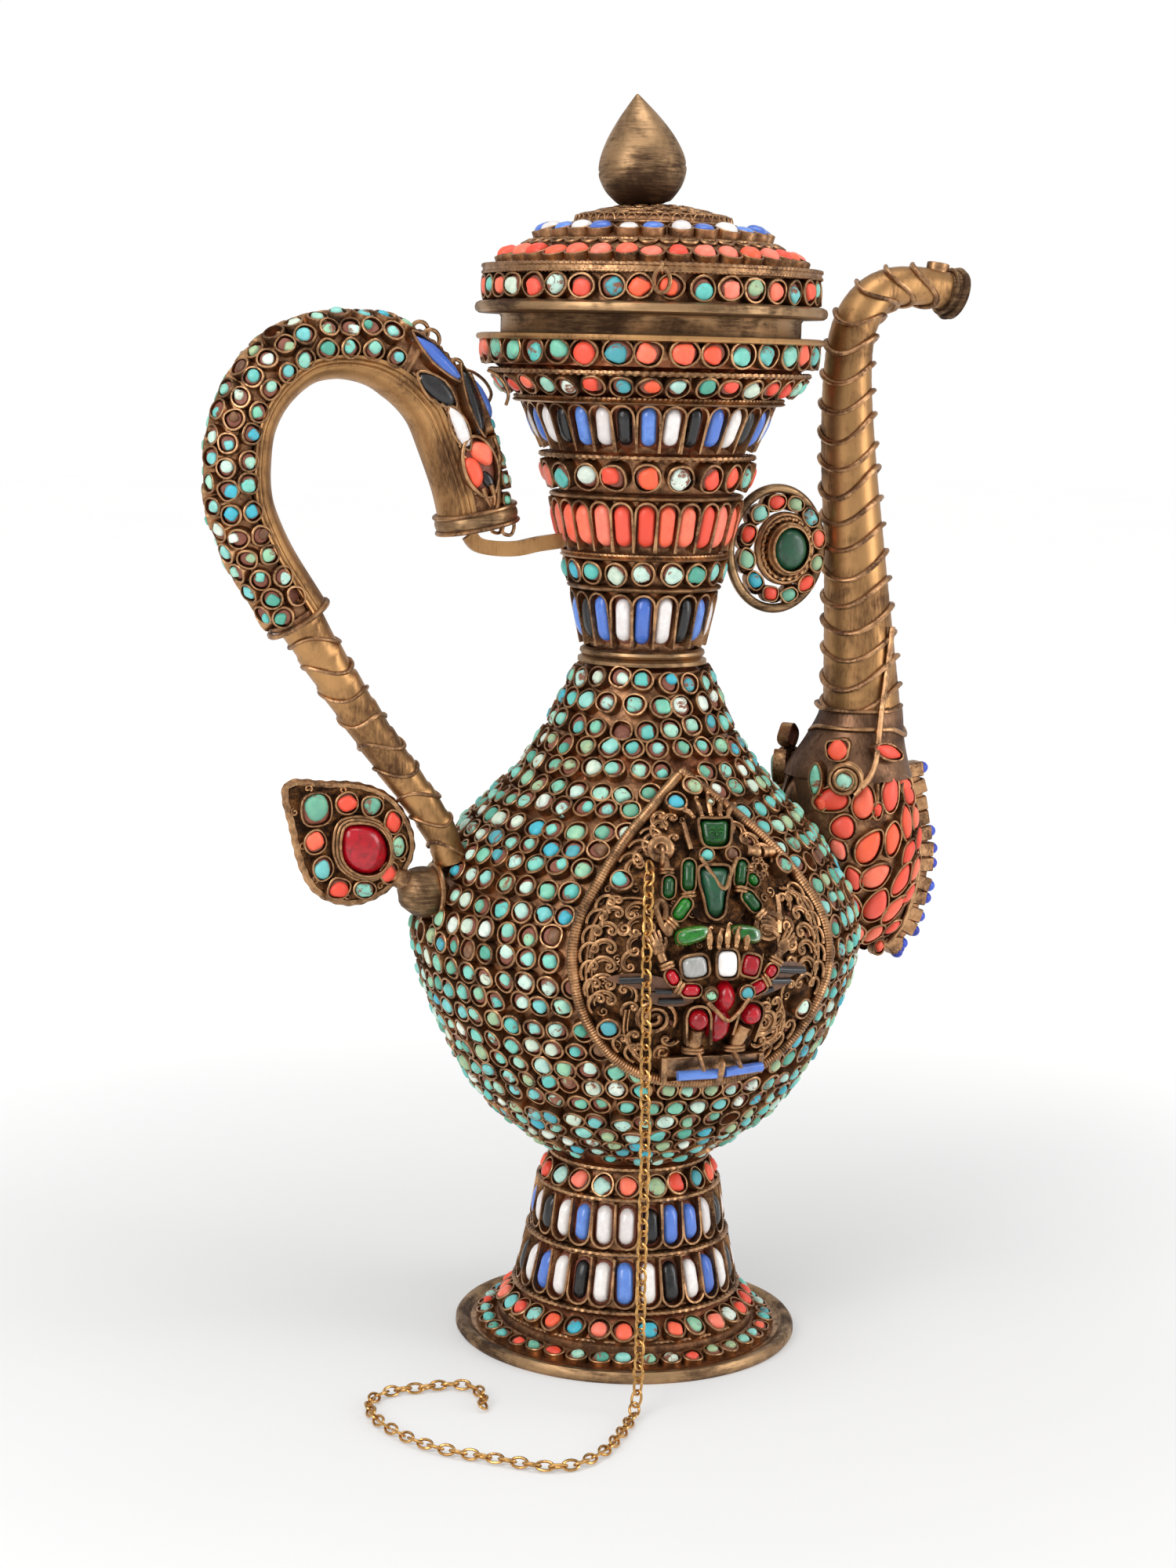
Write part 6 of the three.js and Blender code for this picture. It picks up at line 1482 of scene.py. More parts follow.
def leaf():
    """The leaf with stones on both its faces, and the red drop in it."""
    rng = random.Random(53)
    outline = [(LEAF_MIDDLE[0] + LEAF_WIDTH * x, 0, LEAF_MIDDLE[1] + LEAF_HEIGHT * z) for x, z in LEAF_SHARES]
    line = spline(outline, 72, True)
    piece = Piece("leaf_with_stones")
    piece.add(twisted(line, 1.6, 4.6, loop=True, depth=0.1), BRASS)
    middle = line.mean(0)
    inner = middle + (line - middle) * 0.9
    piece.add(twisted(inner, 0.7, 2.2, loop=True), GOLD)
    plate = [middle + (line - middle) * s + (0, y, 0)
             for s, y in ((0.06, -1.0), (0.95, -1.0), (0.95, 1.0), (0.06, 1.0))]
    # The plate between the stones, in metal darkened with painted shade.
    piece.add(skin(plate, loop=True), RECESS_METAL_PAINTED_SHADE)
    for x, z, half_width, half_height, kind in LEAF_STONES:
        for side in (-1, 1):
            at = basis((x, side * 0.9, z), (0, side, 0), (0, 0, 1))
            outline = pebble(half_width + 0.5, half_height + 0.5, rng, 20, 0.05)
            filled(piece, moved(at, turn=rng.uniform(-0.2, 0.2)), outline, 2.7, rng, kind, 0.86, 0.8, 0.6,
                   0.6, -0.5)
    for side in (-1, 1):
        for k in range(10):
            spot = middle + (line[int(k * 7.2 + 3.6)] - middle) * 0.9
            at = basis((spot[0], side * 1.0, spot[2]), (0, side, 0), (0, 0, 1))
            piece.add(tube(whorl(1.4, 1.2), 0.4, 6), GOLD, moved(at, z=0.4, turn=rng.uniform(0, TURN)))
    piece.place("ewer", "brass", "leaf_setting")
    stone = Piece("leaf_red_drop")
    low, high = box_of("leaf_stone")
    shape = drop(8.4, 10.4, 0.42, 34)
    for side in (-1, 1):
        place = ((low[0] + high[0]) / 2 - 0.8, side * 1.1, (low[2] + high[2]) / 2 - 1.6)
        at = moved(basis(place, (0, side, 0), (0, 0, 1)), turn=-side * 0.72)
        for grow, height, material in ((2.9, 1.9, GOLD), (1.9, 3.0, BRASS), (0.9, 3.9, GOLD)):
            stone.add(collar(grown(shape, grow), -0.6, height, 0.8), material, at)
        stone.add(dome(shape, -0.5, 5.2, 0.7, 8), RED_GLASS, at, 0.2)
    stone.place("ewer", "red_glass", "leaf_stone")


handle_grip()
crook_casing()
crook_stones()
dragon_head()
handle_bracket()
handle_sleeve()
leaf()


# The spout: bulb, funnel and tube, with the openwork rosette that ties it to the neck
# Shares are those of the tube's lean, hook and rise with its width, and of the bulb's height, lean,
# width and depth.
SPOUT_X = 91.5
SPOUT_SHARES = [
    (0, 0, 0, 1), (0.46, 0, 0.34, 0.61), (0.86, 0, 0.6, 0.42), (1, 0, 0.79, 0.26), (1, 0.04, 0.9, 0.18),
    (1, 0.16, 0.965, 0.12), (1, 0.32, 0.997, 0.04), (1, 0.52, 1.005, 0), (1, 0.72, 1, 0), (1, 0.9, 0.985, 0)]
BULB_SHARES = [
    (0, 0.13, 0.24, 0.3), (0.1, 0.05, 0.62, 0.58), (0.29, 0.02, 0.84, 0.82), (0.48, -0.02, 0.98, 0.96),
    (0.68, -0.06, 1, 1), (0.88, -0.08, 0.96, 1), (1, -0.08, 0.88, 0.98)]
FUNNEL_TOP = 232.0
FUNNEL_BOTTOM = 206.3
FUNNEL_RADII = (24.2, 15.6)
FUNNEL_LEAN = 4.48
SPOUT_WIRES = 18
BULB_TOP = 206.0
BULB_TALL = 65
BULB_LEAN = 56


def spout_rows():
    """The tube's line with its diameter as a fourth number."""
    rows = [(SPOUT_X, 0, 232.3, 28.6)]
    for lean, hook, rise, width in SPOUT_SHARES:
        rows.append((SPOUT_X - 11 * lean + 50.5 * hook, 0, 234.93 + 152.5 * rise, between(14.0, 28.6, width)))
    return spline(rows, 400)


SPOUT = spout_rows()


def spout_ring(k, grow, count=40, swing=0.0, phase=0.0):
    """Points round the tube at one of its steps, swung along it in a soft S where asked."""
    k = int(min(max(k, 1), len(SPOUT) - 2))
    place, half = SPOUT[k, :3], SPOUT[k, 3] / 2 + grow
    along = unit(SPOUT[k + 1, :3] - SPOUT[k - 1, :3])
    across = np.cross(SIDEWAYS, along)
    ring = []
    for j in range(count):
        angle = TURN * j / count
        shift = swing * (3.0 * math.cos(angle + phase) - 2.6 * math.sin(2 * angle + phase))
        ring.append(place + half * (across * math.cos(angle) + SIDEWAYS * math.sin(angle)) + along * shift)
    return np.array(ring)


def spout_tube():
    """The hollow tube with its lip and lug, wires round it and two wires down to the bulb."""
    rng = random.Random(71)
    piece = Piece("spout_sheet_tube")
    steps = list(range(1, len(SPOUT) - 1, 3))
    outer = [spout_ring(k, 0.05 * math.sin(k * 0.9)) for k in steps]
    inner = [spout_ring(k, -1.3) for k in steps[::-1]]
    piece.add(skin(outer + inner, loop=True), DRAWN)
    reach = reach_along(SPOUT[:, :3])
    for number in range(SPOUT_WIRES):
        wanted = 7 + number * (reach[-1] - 24) / (SPOUT_WIRES - 1)
        k = int(np.interp(wanted, reach, np.arange(len(SPOUT))))
        ring = spout_ring(k, 0.6, 56, rng.uniform(0.8, 1.1), rng.uniform(-0.25, 0.25))
        piece.add(tube(ring, rng.uniform(1.0, 1.2), 8, loop=True, flatten=0.8), BRASS)
    for grow, back, wire in ((1.2, 10, 0.8), (2.0, 4, 1.05)):
        piece.add(tube(spout_ring(len(SPOUT) - 2 - back, grow, 48), wire, 8, loop=True), SPUN)
    end = len(SPOUT) - 2
    lip = [spout_ring(end - 14, -0.6), spout_ring(end - 9, 0.6), spout_ring(end - 4, 1.7),
           spout_ring(end, 2.3),
           spout_ring(end, 1.2), spout_ring(end - 5, 0.2), spout_ring(end - 12, -1.2)]
    piece.add(skin(lip, loop=True), SPUN)
    k = int(np.interp(reach[-1] - 10, reach, np.arange(len(SPOUT))))
    lug = spout_ring(k, 0.3, 4)[2]
    at = basis(lug, lug - SPOUT[k, :3], SPOUT[k + 1, :3] - SPOUT[k, :3])
    piece.add(collar(oval(3.6, 4.4, 32), -1.5, 2.0, 0.8), BRASS, at)
    piece.add(dome(oval(3.2, 4.0, 32), -1.5, 1.9, 0.9, 4), SPUN, at)
    for side in (-1, 1):
        wire = [(96.5, 12.4, 262.8), (94.6, 13.8, 250), (92.6, 15.4, 240), (91.0, 16.6, 233.0),
                (88.8, 19.4, 226), (86.6, 22.4, 219), (84.6, 24.4, 213.4), (81.6, 25.8, 208.6),
                (77.6, 26.6, 205.0)]
        piece.add(tube(spline([(x, side * y, z) for x, y, z in wire], 60), 1.2, 8), BRASS)
    piece.place("ewer", "copper", "spout_tube")


def funnel():
    """The sheet from the bulb's top to the tube, with two wires."""
    piece = Piece("spout_funnel_sheet")
    shares = spline([(0, 0, 0), (0.14, 0.14, 0), (0.5, 0.62, 0.5), (0.86, 0.95, 1), (1, 1, 1)], 24)
    rings = []
    for grow, rows in ((0.0, shares), (-1.3, shares[::-1])):
        for up, narrow, across in rows:
            radius = between(*FUNNEL_RADII, narrow) + grow
            middle = SPOUT_X - FUNNEL_LEAN * (1 - across)
            z = between(FUNNEL_BOTTOM, FUNNEL_TOP, up)
            rings.append(np.array([(middle + x, y, z) for x, y in oval(radius, radius, 72)]))
    piece.add(skin(rings, loop=True), SHEET)
    for height, radius, dip in ((231.4, 15.9, 1.2), (225.0, 17.9, -3.4)):
        ring = [(SPOUT_X - 1 + radius * math.cos(TURN * k / 60), radius * math.sin(TURN * k / 60),
                 height + dip * max(0, math.cos(2 * TURN * k / 60 + 1.2)) ** 2) for k in range(60)]
        piece.add(tube(ring, 0.9, 7, loop=True), BRASS)
    piece.place("ewer", "copper", "spout_funnel")


# Height, middle, half width and half depth of the bulb
BULB = spline([(BULB_TOP - BULB_TALL * (1 - h), SPOUT_X + BULB_LEAN * s, BULB_HALF[0] * w, BULB_HALF[1] * d)
               for h, s, w, d in BULB_SHARES], 120)


def bulb_edge(z, side):
    """The bulb's outline seen from the side. Side is 1 for its edge away from the body."""
    return float(np.interp(z, BULB[:, 0], BULB[:, 1] + side * BULB[:, 2]))


def bulb_at(z, x, side, inset):
    """The frame on the bulb's flank at a place seen from the side, or past its edge round the back."""
    middle, wide, deep = (float(np.interp(z, BULB[:, 0], BULB[:, k])) for k in (1, 2, 3))
    off = min(max((x - middle) / wide, -0.995), 0.995)
    y = side * deep * math.sqrt(1 - off * off)
    above, under = (np.interp(z + step, BULB[:, 0], BULB[:, 3]) for step in (1, -1))
    steeper = float(above - under) / 2
    normal = unit((off / wide, y / deep ** 2, -steeper * 0.9 / deep))
    return basis(np.array((x, y, z)) - normal * inset, normal, (0, 0, 1))


# Place seen from the side, half sizes, turn in degrees, and how pointed the stone is
BULB_STONES = [
    (70.6, 199.6, 6.9, 4.8, 8, 0.1), (81.6, 198.6, 4.6, 6.9, -6, 0.2), (92.8, 202.0, 4.2, 7.8, -4, 0.25),
    (87.3, 195.6, 2.2, 3.2, 0, 0.0), (101.0, 208.6, 3.4, 5.0, 62, 0.1), (102.4, 200.4, 3.6, 6.0, 44, 0.15),
    (101.0, 190.4, 3.1, 7.6, 12, 0.3), (107.4, 191.4, 2.8, 5.4, 10, 0.2), (109.4, 182.6, 2.6, 5.4, -6, 0.2),
    (74.8, 189.4, 4.9, 4.9, 0, 0.05), (73.2, 181.0, 3.2, 5.0, 30, 0.2), (84.4, 181.8, 4.9, 7.4, -34, 0.3),
    (94.8, 184.6, 3.9, 6.8, -4, 0.2), (102.8, 178.6, 3.2, 5.6, -30, 0.25), (108.2, 171.6, 2.8, 5.6, -14, 0.2),
    (88.4, 170.4, 4.7, 6.8, -58, 0.2), (100.6, 168.4, 4.0, 7.2, -26, 0.3), (90.8, 158.6, 5.0, 7.2, -18, 0.25),
    (99.2, 156.4, 3.7, 7.0, -36, 0.3), (80.2, 169.6, 3.2, 5.6, 24, 0.2), (82.0, 157.8, 3.6, 6.6, 12, 0.25),
    (87.0, 146.8, 3.6, 5.6, 10, 0.2), (106.0, 161.6, 2.8, 5.2, -30, 0.3), (94.0, 146.6, 3.4, 5.4, -34, 0.2),
    (101.6, 148.6, 2.7, 4.6, -52, 0.2), (75.6, 163.4, 3.0, 5.0, 26, 0.2)]
# The crest: places of its beads seen from the side, and heights of its empty boxes
CREST_BEADS = [(118.6, 208.2), (124.0, 182.4), (123.8, 175.9), (125.0, 169.5), (123.9, 162.4), (121.8, 156.0),
               (118.4, 150.2), (114.0, 146.0), (109.4, 142.9), (104.4, 141.0), (99.8, 138.6)]
EMPTY_BOXES = (200.5, 194.0, 188.4)
CREST_RISE = 4.2


def bulb():
    """The bulb's body, its sheet apron, its coral in bezels, and the wires along its edge."""
    rng = random.Random(72)
    piece = Piece("bulb_coral_whorl")
    rings = []
    for z, middle, wide, deep in BULB[::2]:
        rings.append(np.array([(middle + x, y, z) for x, y in oval(wide - 2.2, deep - 2.2, 64)]))
    piece.add(skin(rings, start=True, end=True), GROUND)
    for side in (-1, 1):
        apron = []
        for x in np.linspace(62.0, 104.0, 40):
            dip = 10.5 * max(0.0, 1 - (x - 62) / 15) ** 0.6
            low = 204.2 - dip - 12.0 * math.exp(-((x - 87.2) / 2.2) ** 2)
            apron.append(np.array([bulb_at(min(z, 205.9), x, side, 1.7 - depth)[:3, 3]
                                   for z, depth in ((206.0, 0.0), (low, 0.0), (low, 0.9), (206.0, 0.9))]))
        piece.add(skin(apron, start=True, end=True), SHEET)
    for side in (-1, 1):
        for x, z, half_width, half_height, turn, point in BULB_STONES:
            z = min(z, 204.0)
            x += rng.uniform(-0.3, 0.3)
            at = moved(bulb_at(z, x, side, 2.4), turn=math.radians(turn) * -side)
            outline = np.array(drop(half_width + 0.5, half_height + 0.5, point, 24))
            angle = np.arctan2(outline[:, [1]], outline[:, [0]])
            outline *= 1 + 0.04 * np.sin(3 * angle + rng.uniform(0, TURN))
            piece.add(collar(outline, -1.2, 2.9, 0.65), BRASS, at)
            piece.add(dome(grown(outline, -0.6), -1.2, 1.8, 0.95, 3), RESIN, at)
            shape = grown(outline, -1.0)
            shape += [rng.uniform(-0.15, 0.15), rng.uniform(-0.3, 0.3)]
            piece.add(dome(shape, 0.8, 3.9 + rng.uniform(-0.3, 0.4), 0.68, 6, 0.04, rng), CORAL, at,
                      rng.random())
        tongue = [(87.2, 205.6), (87.4, 201.5), (87.2, 196.0), (86.8, 192.6)]
        tongue = spline([bulb_at(z, x, side, 0.4)[:3, 3] for x, z in tongue], 20)
        piece.add(tube(tongue, np.linspace(0.9, 0.6, 21), 8), BRASS)
    for k in range(40):
        z = 140 + k * 1.62
        x = bulb_edge(z, -1) + 2.5
        for side in (-1, 1):
            if k % 6 == 0 and BODY.radius(z) < x + 4:
                outline = pebble(3.0, 3.4, rng, 18, 0.06)
                filled(piece, bulb_at(z, x + 4.6, side, 2.2), outline, 3.2, rng, "c", 0.82, 0.8)
    rim = [(bulb_edge(z, 1) - 0.8, z) for z in np.linspace(141.5, 205.0, 40)]
    for side in (-1, 1):
        edge = [(x, side * 4.6, z) for x, z in rim]
        piece.add(tube(edge, 1.0, 8), BRASS)
        piece.add(tube([(x - 3.2, side * 8.6, z) for x, z in rim], 0.7, 7), BRASS)
    piece.place("ewer", "coral", "spout_bulb")


def crest():
    """A row of boxes along the bulb's outer edge, most with a lapis bead."""
    rng = random.Random(73)
    piece = Piece("crest_lapis_boxes")
    edge = np.array([(bulb_edge(z, 1), z) for z in np.linspace(138.2, 206.6, 80)])
    out = np.gradient(edge, axis=0)
    out = np.stack([out[:, 1], -out[:, 0]], 1) / np.linalg.norm(out, axis=1)[:, None]
    top = edge + out * CREST_RISE
    rings = [np.array([(a[0], -2.9, a[1]), (b[0], -2.9, b[1]), (b[0], 2.9, b[1]), (a[0], 2.9, a[1])])
             for a, b in zip(edge - out * 1.5, top)]
    piece.add(skin(rings, start=True, end=True), GROUND)
    reach = reach_along(top)
    spots = [(float(reach[int(np.argmin(np.linalg.norm(top - bead, axis=1)))]), True) for bead in CREST_BEADS]
    spots += [(float(np.interp(z, top[:, 1], reach)), False) for z in EMPTY_BOXES]
    for along, has_bead in spots:
        x, z = (float(np.interp(along, reach, top[:, k])) for k in (0, 1))
        normal = (float(np.interp(along, reach, out[:, 0])), 0, float(np.interp(along, reach, out[:, 1])))
        base = np.array((x, 0, z)) - np.array(normal) * 0.6
        at = moved(basis(base, normal, (0, 1, 0)), tilt=rng.uniform(-0.14, 0.14),
                   lean=rng.uniform(-0.16, 0.16))
        corners = np.array([(2.75, 3.7), (-2.75, 3.7), (-2.75, -3.7), (2.75, -3.7)])
        box = np.array([between(corners[i], corners[(i + 1) % 4], t)
                        for i in range(4) for t in (0.08, 0.36, 0.64, 0.92)])
        depth = rng.uniform(2.2, 2.9)
        piece.add(collar(box, -5.4, depth, 0.6), BRASS, at)
        piece.add(dome(grown(box, -0.5), -0.8, depth - 0.7, 0.95, 3, 0.1, rng), RESIN, at)
        if has_bead:
            piece.add(ball((0, 0, depth + 1.2), (2.4, 2.7, 2.6), 10, 18), LAPIS, at, rng.random())
    piece.place("ewer", "lapis", "spout_crest")


def scrolls():
    """On each side of the funnel's foot, a coil with a stone in it and stones beside it."""
    for side, name, node in ((-1, "coil_front", "spout_scroll_front"), (1, "coil_back", "spout_scroll_back")):
        rng = random.Random(74 + side)
        piece = Piece(name)
        low, high = box_of(node)
        middle = (low + high) / 2
        angle = math.radians(side * 122)
        normal = np.array((math.cos(angle), math.sin(angle), 0.0))
        seat = np.array((SPOUT_X - FUNNEL_LEAN, 0, FUNNEL_BOTTOM)) + normal * 24.0
        at = basis((seat[0], seat[1], middle[2] + 1.5), normal, (0, 0, 1))
        for height in (0.4, 1.6, 2.8, 4.0):
            coil = whorl(7.0 - height * 0.12, 1.9, steps=40, inner=0.5)
            piece.add(tube(coil, 0.8, 7), BRASS, moved(at, z=height, turn=-0.9))
        piece.add(dome(oval(6.1, 6.1, 32), -0.6, 3.2, 0.95, 4), GROUND, at)
        filled(piece, moved(at, z=1.0), oval(4.0, 4.0, 24), 3.2, rng, "t", 0.92, 1.2, 0.5)
        for turn, reach, half_width, half_height, kind in ((103, 11.4, 5.0, 4.6, "c"),
                                                           (182, 9.4, 2.9, 6.4, "t")):
            spin = math.radians(turn)
            x, y = reach * math.cos(spin) * -side, reach * math.sin(spin)
            lean = math.atan2(x, 24)
            spot = moved(at, x=x, y=y, z=-0.6 - 0.3 * abs(x) * abs(math.sin(lean)))
            outline = pebble(half_width, half_height, rng, 20, 0.08)
            filled(piece, moved(spot, lean=lean), outline, 4.0, rng, kind, 0.94, 1.0)
        spot = np.array((SPOUT_X - 3.4, 0, 214.6))
        out = np.array((math.cos(math.radians(side * 82)), math.sin(math.radians(side * 82)), 0.12))
        face = basis(spot + out * 20.3, out, (0, 0, 1))
        filled(piece, moved(face, turn=-side * 1.25), drop(3.4, 7.2, 0.2, 24), 3.0, rng, "c", 0.92, 0.9)
        piece.place("ewer", "turquoise", node)


def rosette():
    """An openwork ring with small stones round a green one, the same on both its faces."""
    rng = random.Random(75)
    low, high = box_of("rosette")
    middle = (low + high) / 2
    half_width, half_height = (high[0] - low[0]) / 2 - 1.75, (high[2] - low[2]) / 2 - 1.75
    piece = Piece("rosette_openwork")
    upright = basis(middle, (0, -1, 0), (0, 0, 1))
    piece.add(tube(oval_ring(half_width, half_height, 90), 1.75, 12, loop=True), SPUN, upright)
    shift = 3.6
    count = 12
    for side in (-1, 1):
        face = basis(middle, (0, side, 0), (0, 0, 1))
        heart = moved(face, x=-side * shift)
        piece.add(tube(oval_ring(11.0, 12.6, 60), 1.0, 8, loop=True), BRASS, moved(heart, z=0.9))
        piece.add(twisted(oval_ring(9.8, 11.0, 90), 1.0, 2.8, loop=True), GOLD, moved(heart, z=1.9))
        piece.add(dome(oval(9.8, 11.2, 40), -0.9, 1.1, 0.95, 3), GROUND, heart)
        for k in range(count):
            angle = TURN * (k + 0.4) / count
            x = between(11.0, half_width, 0.52) * math.cos(angle) - side * shift * 0.55
            y = between(12.6, half_height, 0.5) * math.sin(angle)
            size = rng.uniform(3.3, 3.9)
            spot = moved(face, x=x, y=y, turn=angle)
            outline = pebble(size * 0.92, size * 1.12, rng, 18, 0.05)
            piece.add(dome(oval(size * 0.9, size * 1.1, 18), -1.0, 0.9, 0.95, 3), GROUND, spot)
            filled(piece, spot, outline, 2.7, rng, "cttct"[k % 5], 0.92, 1.0, 0.55, 0.6, -0.6)
    piece.place("ewer", "brass", "rosette")
    stone = Piece("rosette_green_stone")
    for side in (-1, 1):
        heart = moved(basis(middle, (0, side, 0), (0, 0, 1)), x=-side * shift)
        depth = 6.6 if side < 0 else 4.4
        stone.add(collar(oval(8.9, 9.9, 44), -0.4, depth * 0.72, 0.9), BRASS, heart)
        stone.add(collar(oval(8.0, 9.0, 44), -0.4, depth, 0.9), GOLD, heart)
        stone.add(dome(oval(7.5, 8.5, 40), -0.4, depth + 1.2, 0.82, 8), DARK_GREEN, heart, 0.2)
    stone.place("ewer", "green_glass", "rosette_stone")


spout_tube()
funnel()
bulb()
crest()
scrolls()
rosette()


# The medallion. Its places are pairs of the distance along the body from the medallion's middle
# line and the height, and a lift stands off the tops of the body's stones.
# A scroll's wire from its tail to its curl, for a size of 1
SCROLL = [(-0.95, -0.5), (-0.78, 0.02), (-0.35, 0.4), (0.2, 0.42), (0.58, 0.1), (0.56, -0.24), (0.3, -0.36),
          (0.1, -0.18), (0.2, 0.02), (0.36, -0.06)]
CURL_WIRE = 0.62
FIGURES_FACE = unit(around(1, -107, 0.14))
# Place along, height, size, turn in degrees, and -1 for one that faces the other way
SCROLLS = [
    (-8.6, 201.8, 3.6, 44, 1), (-12.4, 202.4, 3.6, 42, 1), (-9.4, 195.6, 3.2, 70, 1),
    (-13.0, 199.6, 4.0, 40, 1), (-16.6, 195.6, 4.2, 38, 1), (-20.6, 191.6, 4.2, 36, 1),
    (-24.6, 187.6, 4.2, 32, 1), (-34.6, 172.6, 4.2, 24, 1), (-37.6, 167.4, 4.6, 14, 1),
    (-38.6, 161.8, 4.8, 6, 1), (-39.0, 156.0, 4.8, 2, 1), (-39.0, 150.2, 4.8, -4, 1),
    (-38.2, 144.6, 4.6, -10, 1), (-31.0, 147.6, 3.6, -30, -1), (-28.0, 173.6, 3.6, 60, -1),
    (-28.2, 168.2, 3.8, 90, -1), (-28.8, 162.4, 3.8, 96, -1), (-31.0, 156.8, 3.6, 110, -1),
    (-33.6, 176.4, 3.4, 40, 1), (15.6, 198.4, 4.0, -40, -1), (19.6, 194.6, 4.2, -38, -1),
    (23.8, 190.8, 4.2, -36, -1), (33.4, 175.4, 4.2, -26, -1), (35.8, 170.0, 4.5, -16, -1),
    (36.6, 164.4, 4.6, -8, -1), (36.8, 158.6, 4.7, -2, -1), (36.4, 152.9, 4.6, 4, -1),
    (35.4, 147.4, 4.4, 12, -1), (28.6, 146.2, 3.4, 30, 1), (29.4, 175.2, 3.2, -50, -1),
    (-27.4, 130.4, 3.4, 60, 1), (-24.6, 125.4, 3.4, 84, 1), (-15.0, 129.0, 3.0, 150, 1),
    (-29.6, 141.6, 3.2, 20, 1), (24.6, 140.4, 3.4, -60, -1), (26.4, 134.8, 3.5, -80, -1),
    (24.8, 129.0, 3.4, -110, -1), (19.8, 126.0, 3.0, -150, -1), (19.6, 139.8, 2.8, -20, 1)]
# Place, size, turns, and -1 for one that winds the other way
WHORLS = [(-20.8, 137.6, 7.4, 2.2, 1), (20.2, 133.2, 5.6, 2.0, -1), (-16.2, 124.6, 3.0, 1.6, -1),
          (28.6, 166.8, 3.0, 1.6, -1), (-22.6, 168.8, 2.6, 1.5, 1), (30.2, 160.6, 2.8, 1.6, 1),
          (29.6, 154.6, 2.6, 1.5, -1), (-31.6, 168.0, 2.2, 1.4, 1)]
# Wires that set the filigree's panels apart
PANEL_LINES = [
    [(-23.0, 177.5), (-30.4, 177.6), (-36.9, 174.7), (-41.7, 169.3), (-44.6, 160.6), (-45.4, 151.0),
     (-43.6, 141.5)],
    [(29.4, 179.0), (37.3, 175.9), (41.9, 170.0), (43.8, 161.8), (43.4, 153.5), (41.3, 144.5)],
    [(-31.0, 140.7), (-30.8, 133.0), (-27.7, 126.0), (-22.6, 120.5)],
    [(25.2, 142.6), (29.0, 135.0), (28.5, 127.1), (20.6, 121.6)]]
# Place, half size and kind
MEDALLION_BEZELS = [(1.3, 210.0, 3.9, "t"), (-5.6, 205.2, 4.1, "t"), (-29.9, 181.6, 4.1, "t"),
                    (29.5, 184.7, 3.8, "t"), (-35.4, 135.1, 4.2, "t"), (34.1, 138.6, 4.0, "t")]


def medal(a, h, lift=2.5, turn=0.0, facing=0.0):
    """A frame on the medallion. Lifts go the way the figures face, and a facing of 1 looks that way too."""
    seat = BODY.seat(MEDALLION_AZIMUTH + math.degrees(a / BODY.radius(h)), h, 0)
    at = basis(seat[:3, 3] + FIGURES_FACE * lift, between(seat[:3, 2], FIGURES_FACE, facing), (0, 0, 1))
    return moved(at, turn=math.radians(turn))


def figure(a, h, lift, turn=0.0):
    """A frame on the figures, which mostly look their own way."""
    return medal(a, h, lift, turn, 0.7)


def medal_line(pairs, lift, steps=None, loop=False):
    """A line over the medallion. The lift is one number or one for each point."""
    lifts = np.broadcast_to(lift, (len(pairs),))
    points = [medal(a, h, up)[:3, 3] for (a, h), up in zip(pairs, lifts)]
    return spline(points, steps or 8 * len(pairs), loop)


def medallion_outline(scale, steps):
    """The medallion's edge, or the same shrunk towards its middle."""
    half = spline(MEDALLION_SHARES, steps)
    both = np.vstack([half, (half * (-1, 1))[-2:0:-1]])
    return [(MEDALLION_HALF * x * scale, MEDALLION_BOTTOM + MEDALLION_HEIGHT * between(0.45, z, scale))
            for x, z in both]


def border_scrolls(piece, rng):
    """A row of scrolls inside the frame, each with its tail on the frame and its curl inwards."""
    line = even(np.array(medallion_outline(0.885, 60)), 46, True)
    centre = np.array((0.0, MEDALLION_BOTTOM + 0.5 * MEDALLION_HEIGHT))
    for a, h in line:
        near = min(math.hypot(a - spot[0], h - spot[1]) for spot in MEDALLION_BEZELS)
        if h < 123 or near < 7 or abs(a) < 6:
            continue
        inward = centre - (a, h)
        facing = 1 if a < 0 else -1
        turn = math.degrees(math.atan2(inward[1] * facing, inward[0] * facing)) * 0.8 + 22 * facing
        size = rng.uniform(4.3, 5.0)
        bend = np.array([(x * facing * size, y * size, 0) for x, y in SCROLL])
        piece.add(tube(spline(bend, 34), CURL_WIRE, 7), GOLD, medal(a, h, 3.2, turn + rng.uniform(-8, 8)))


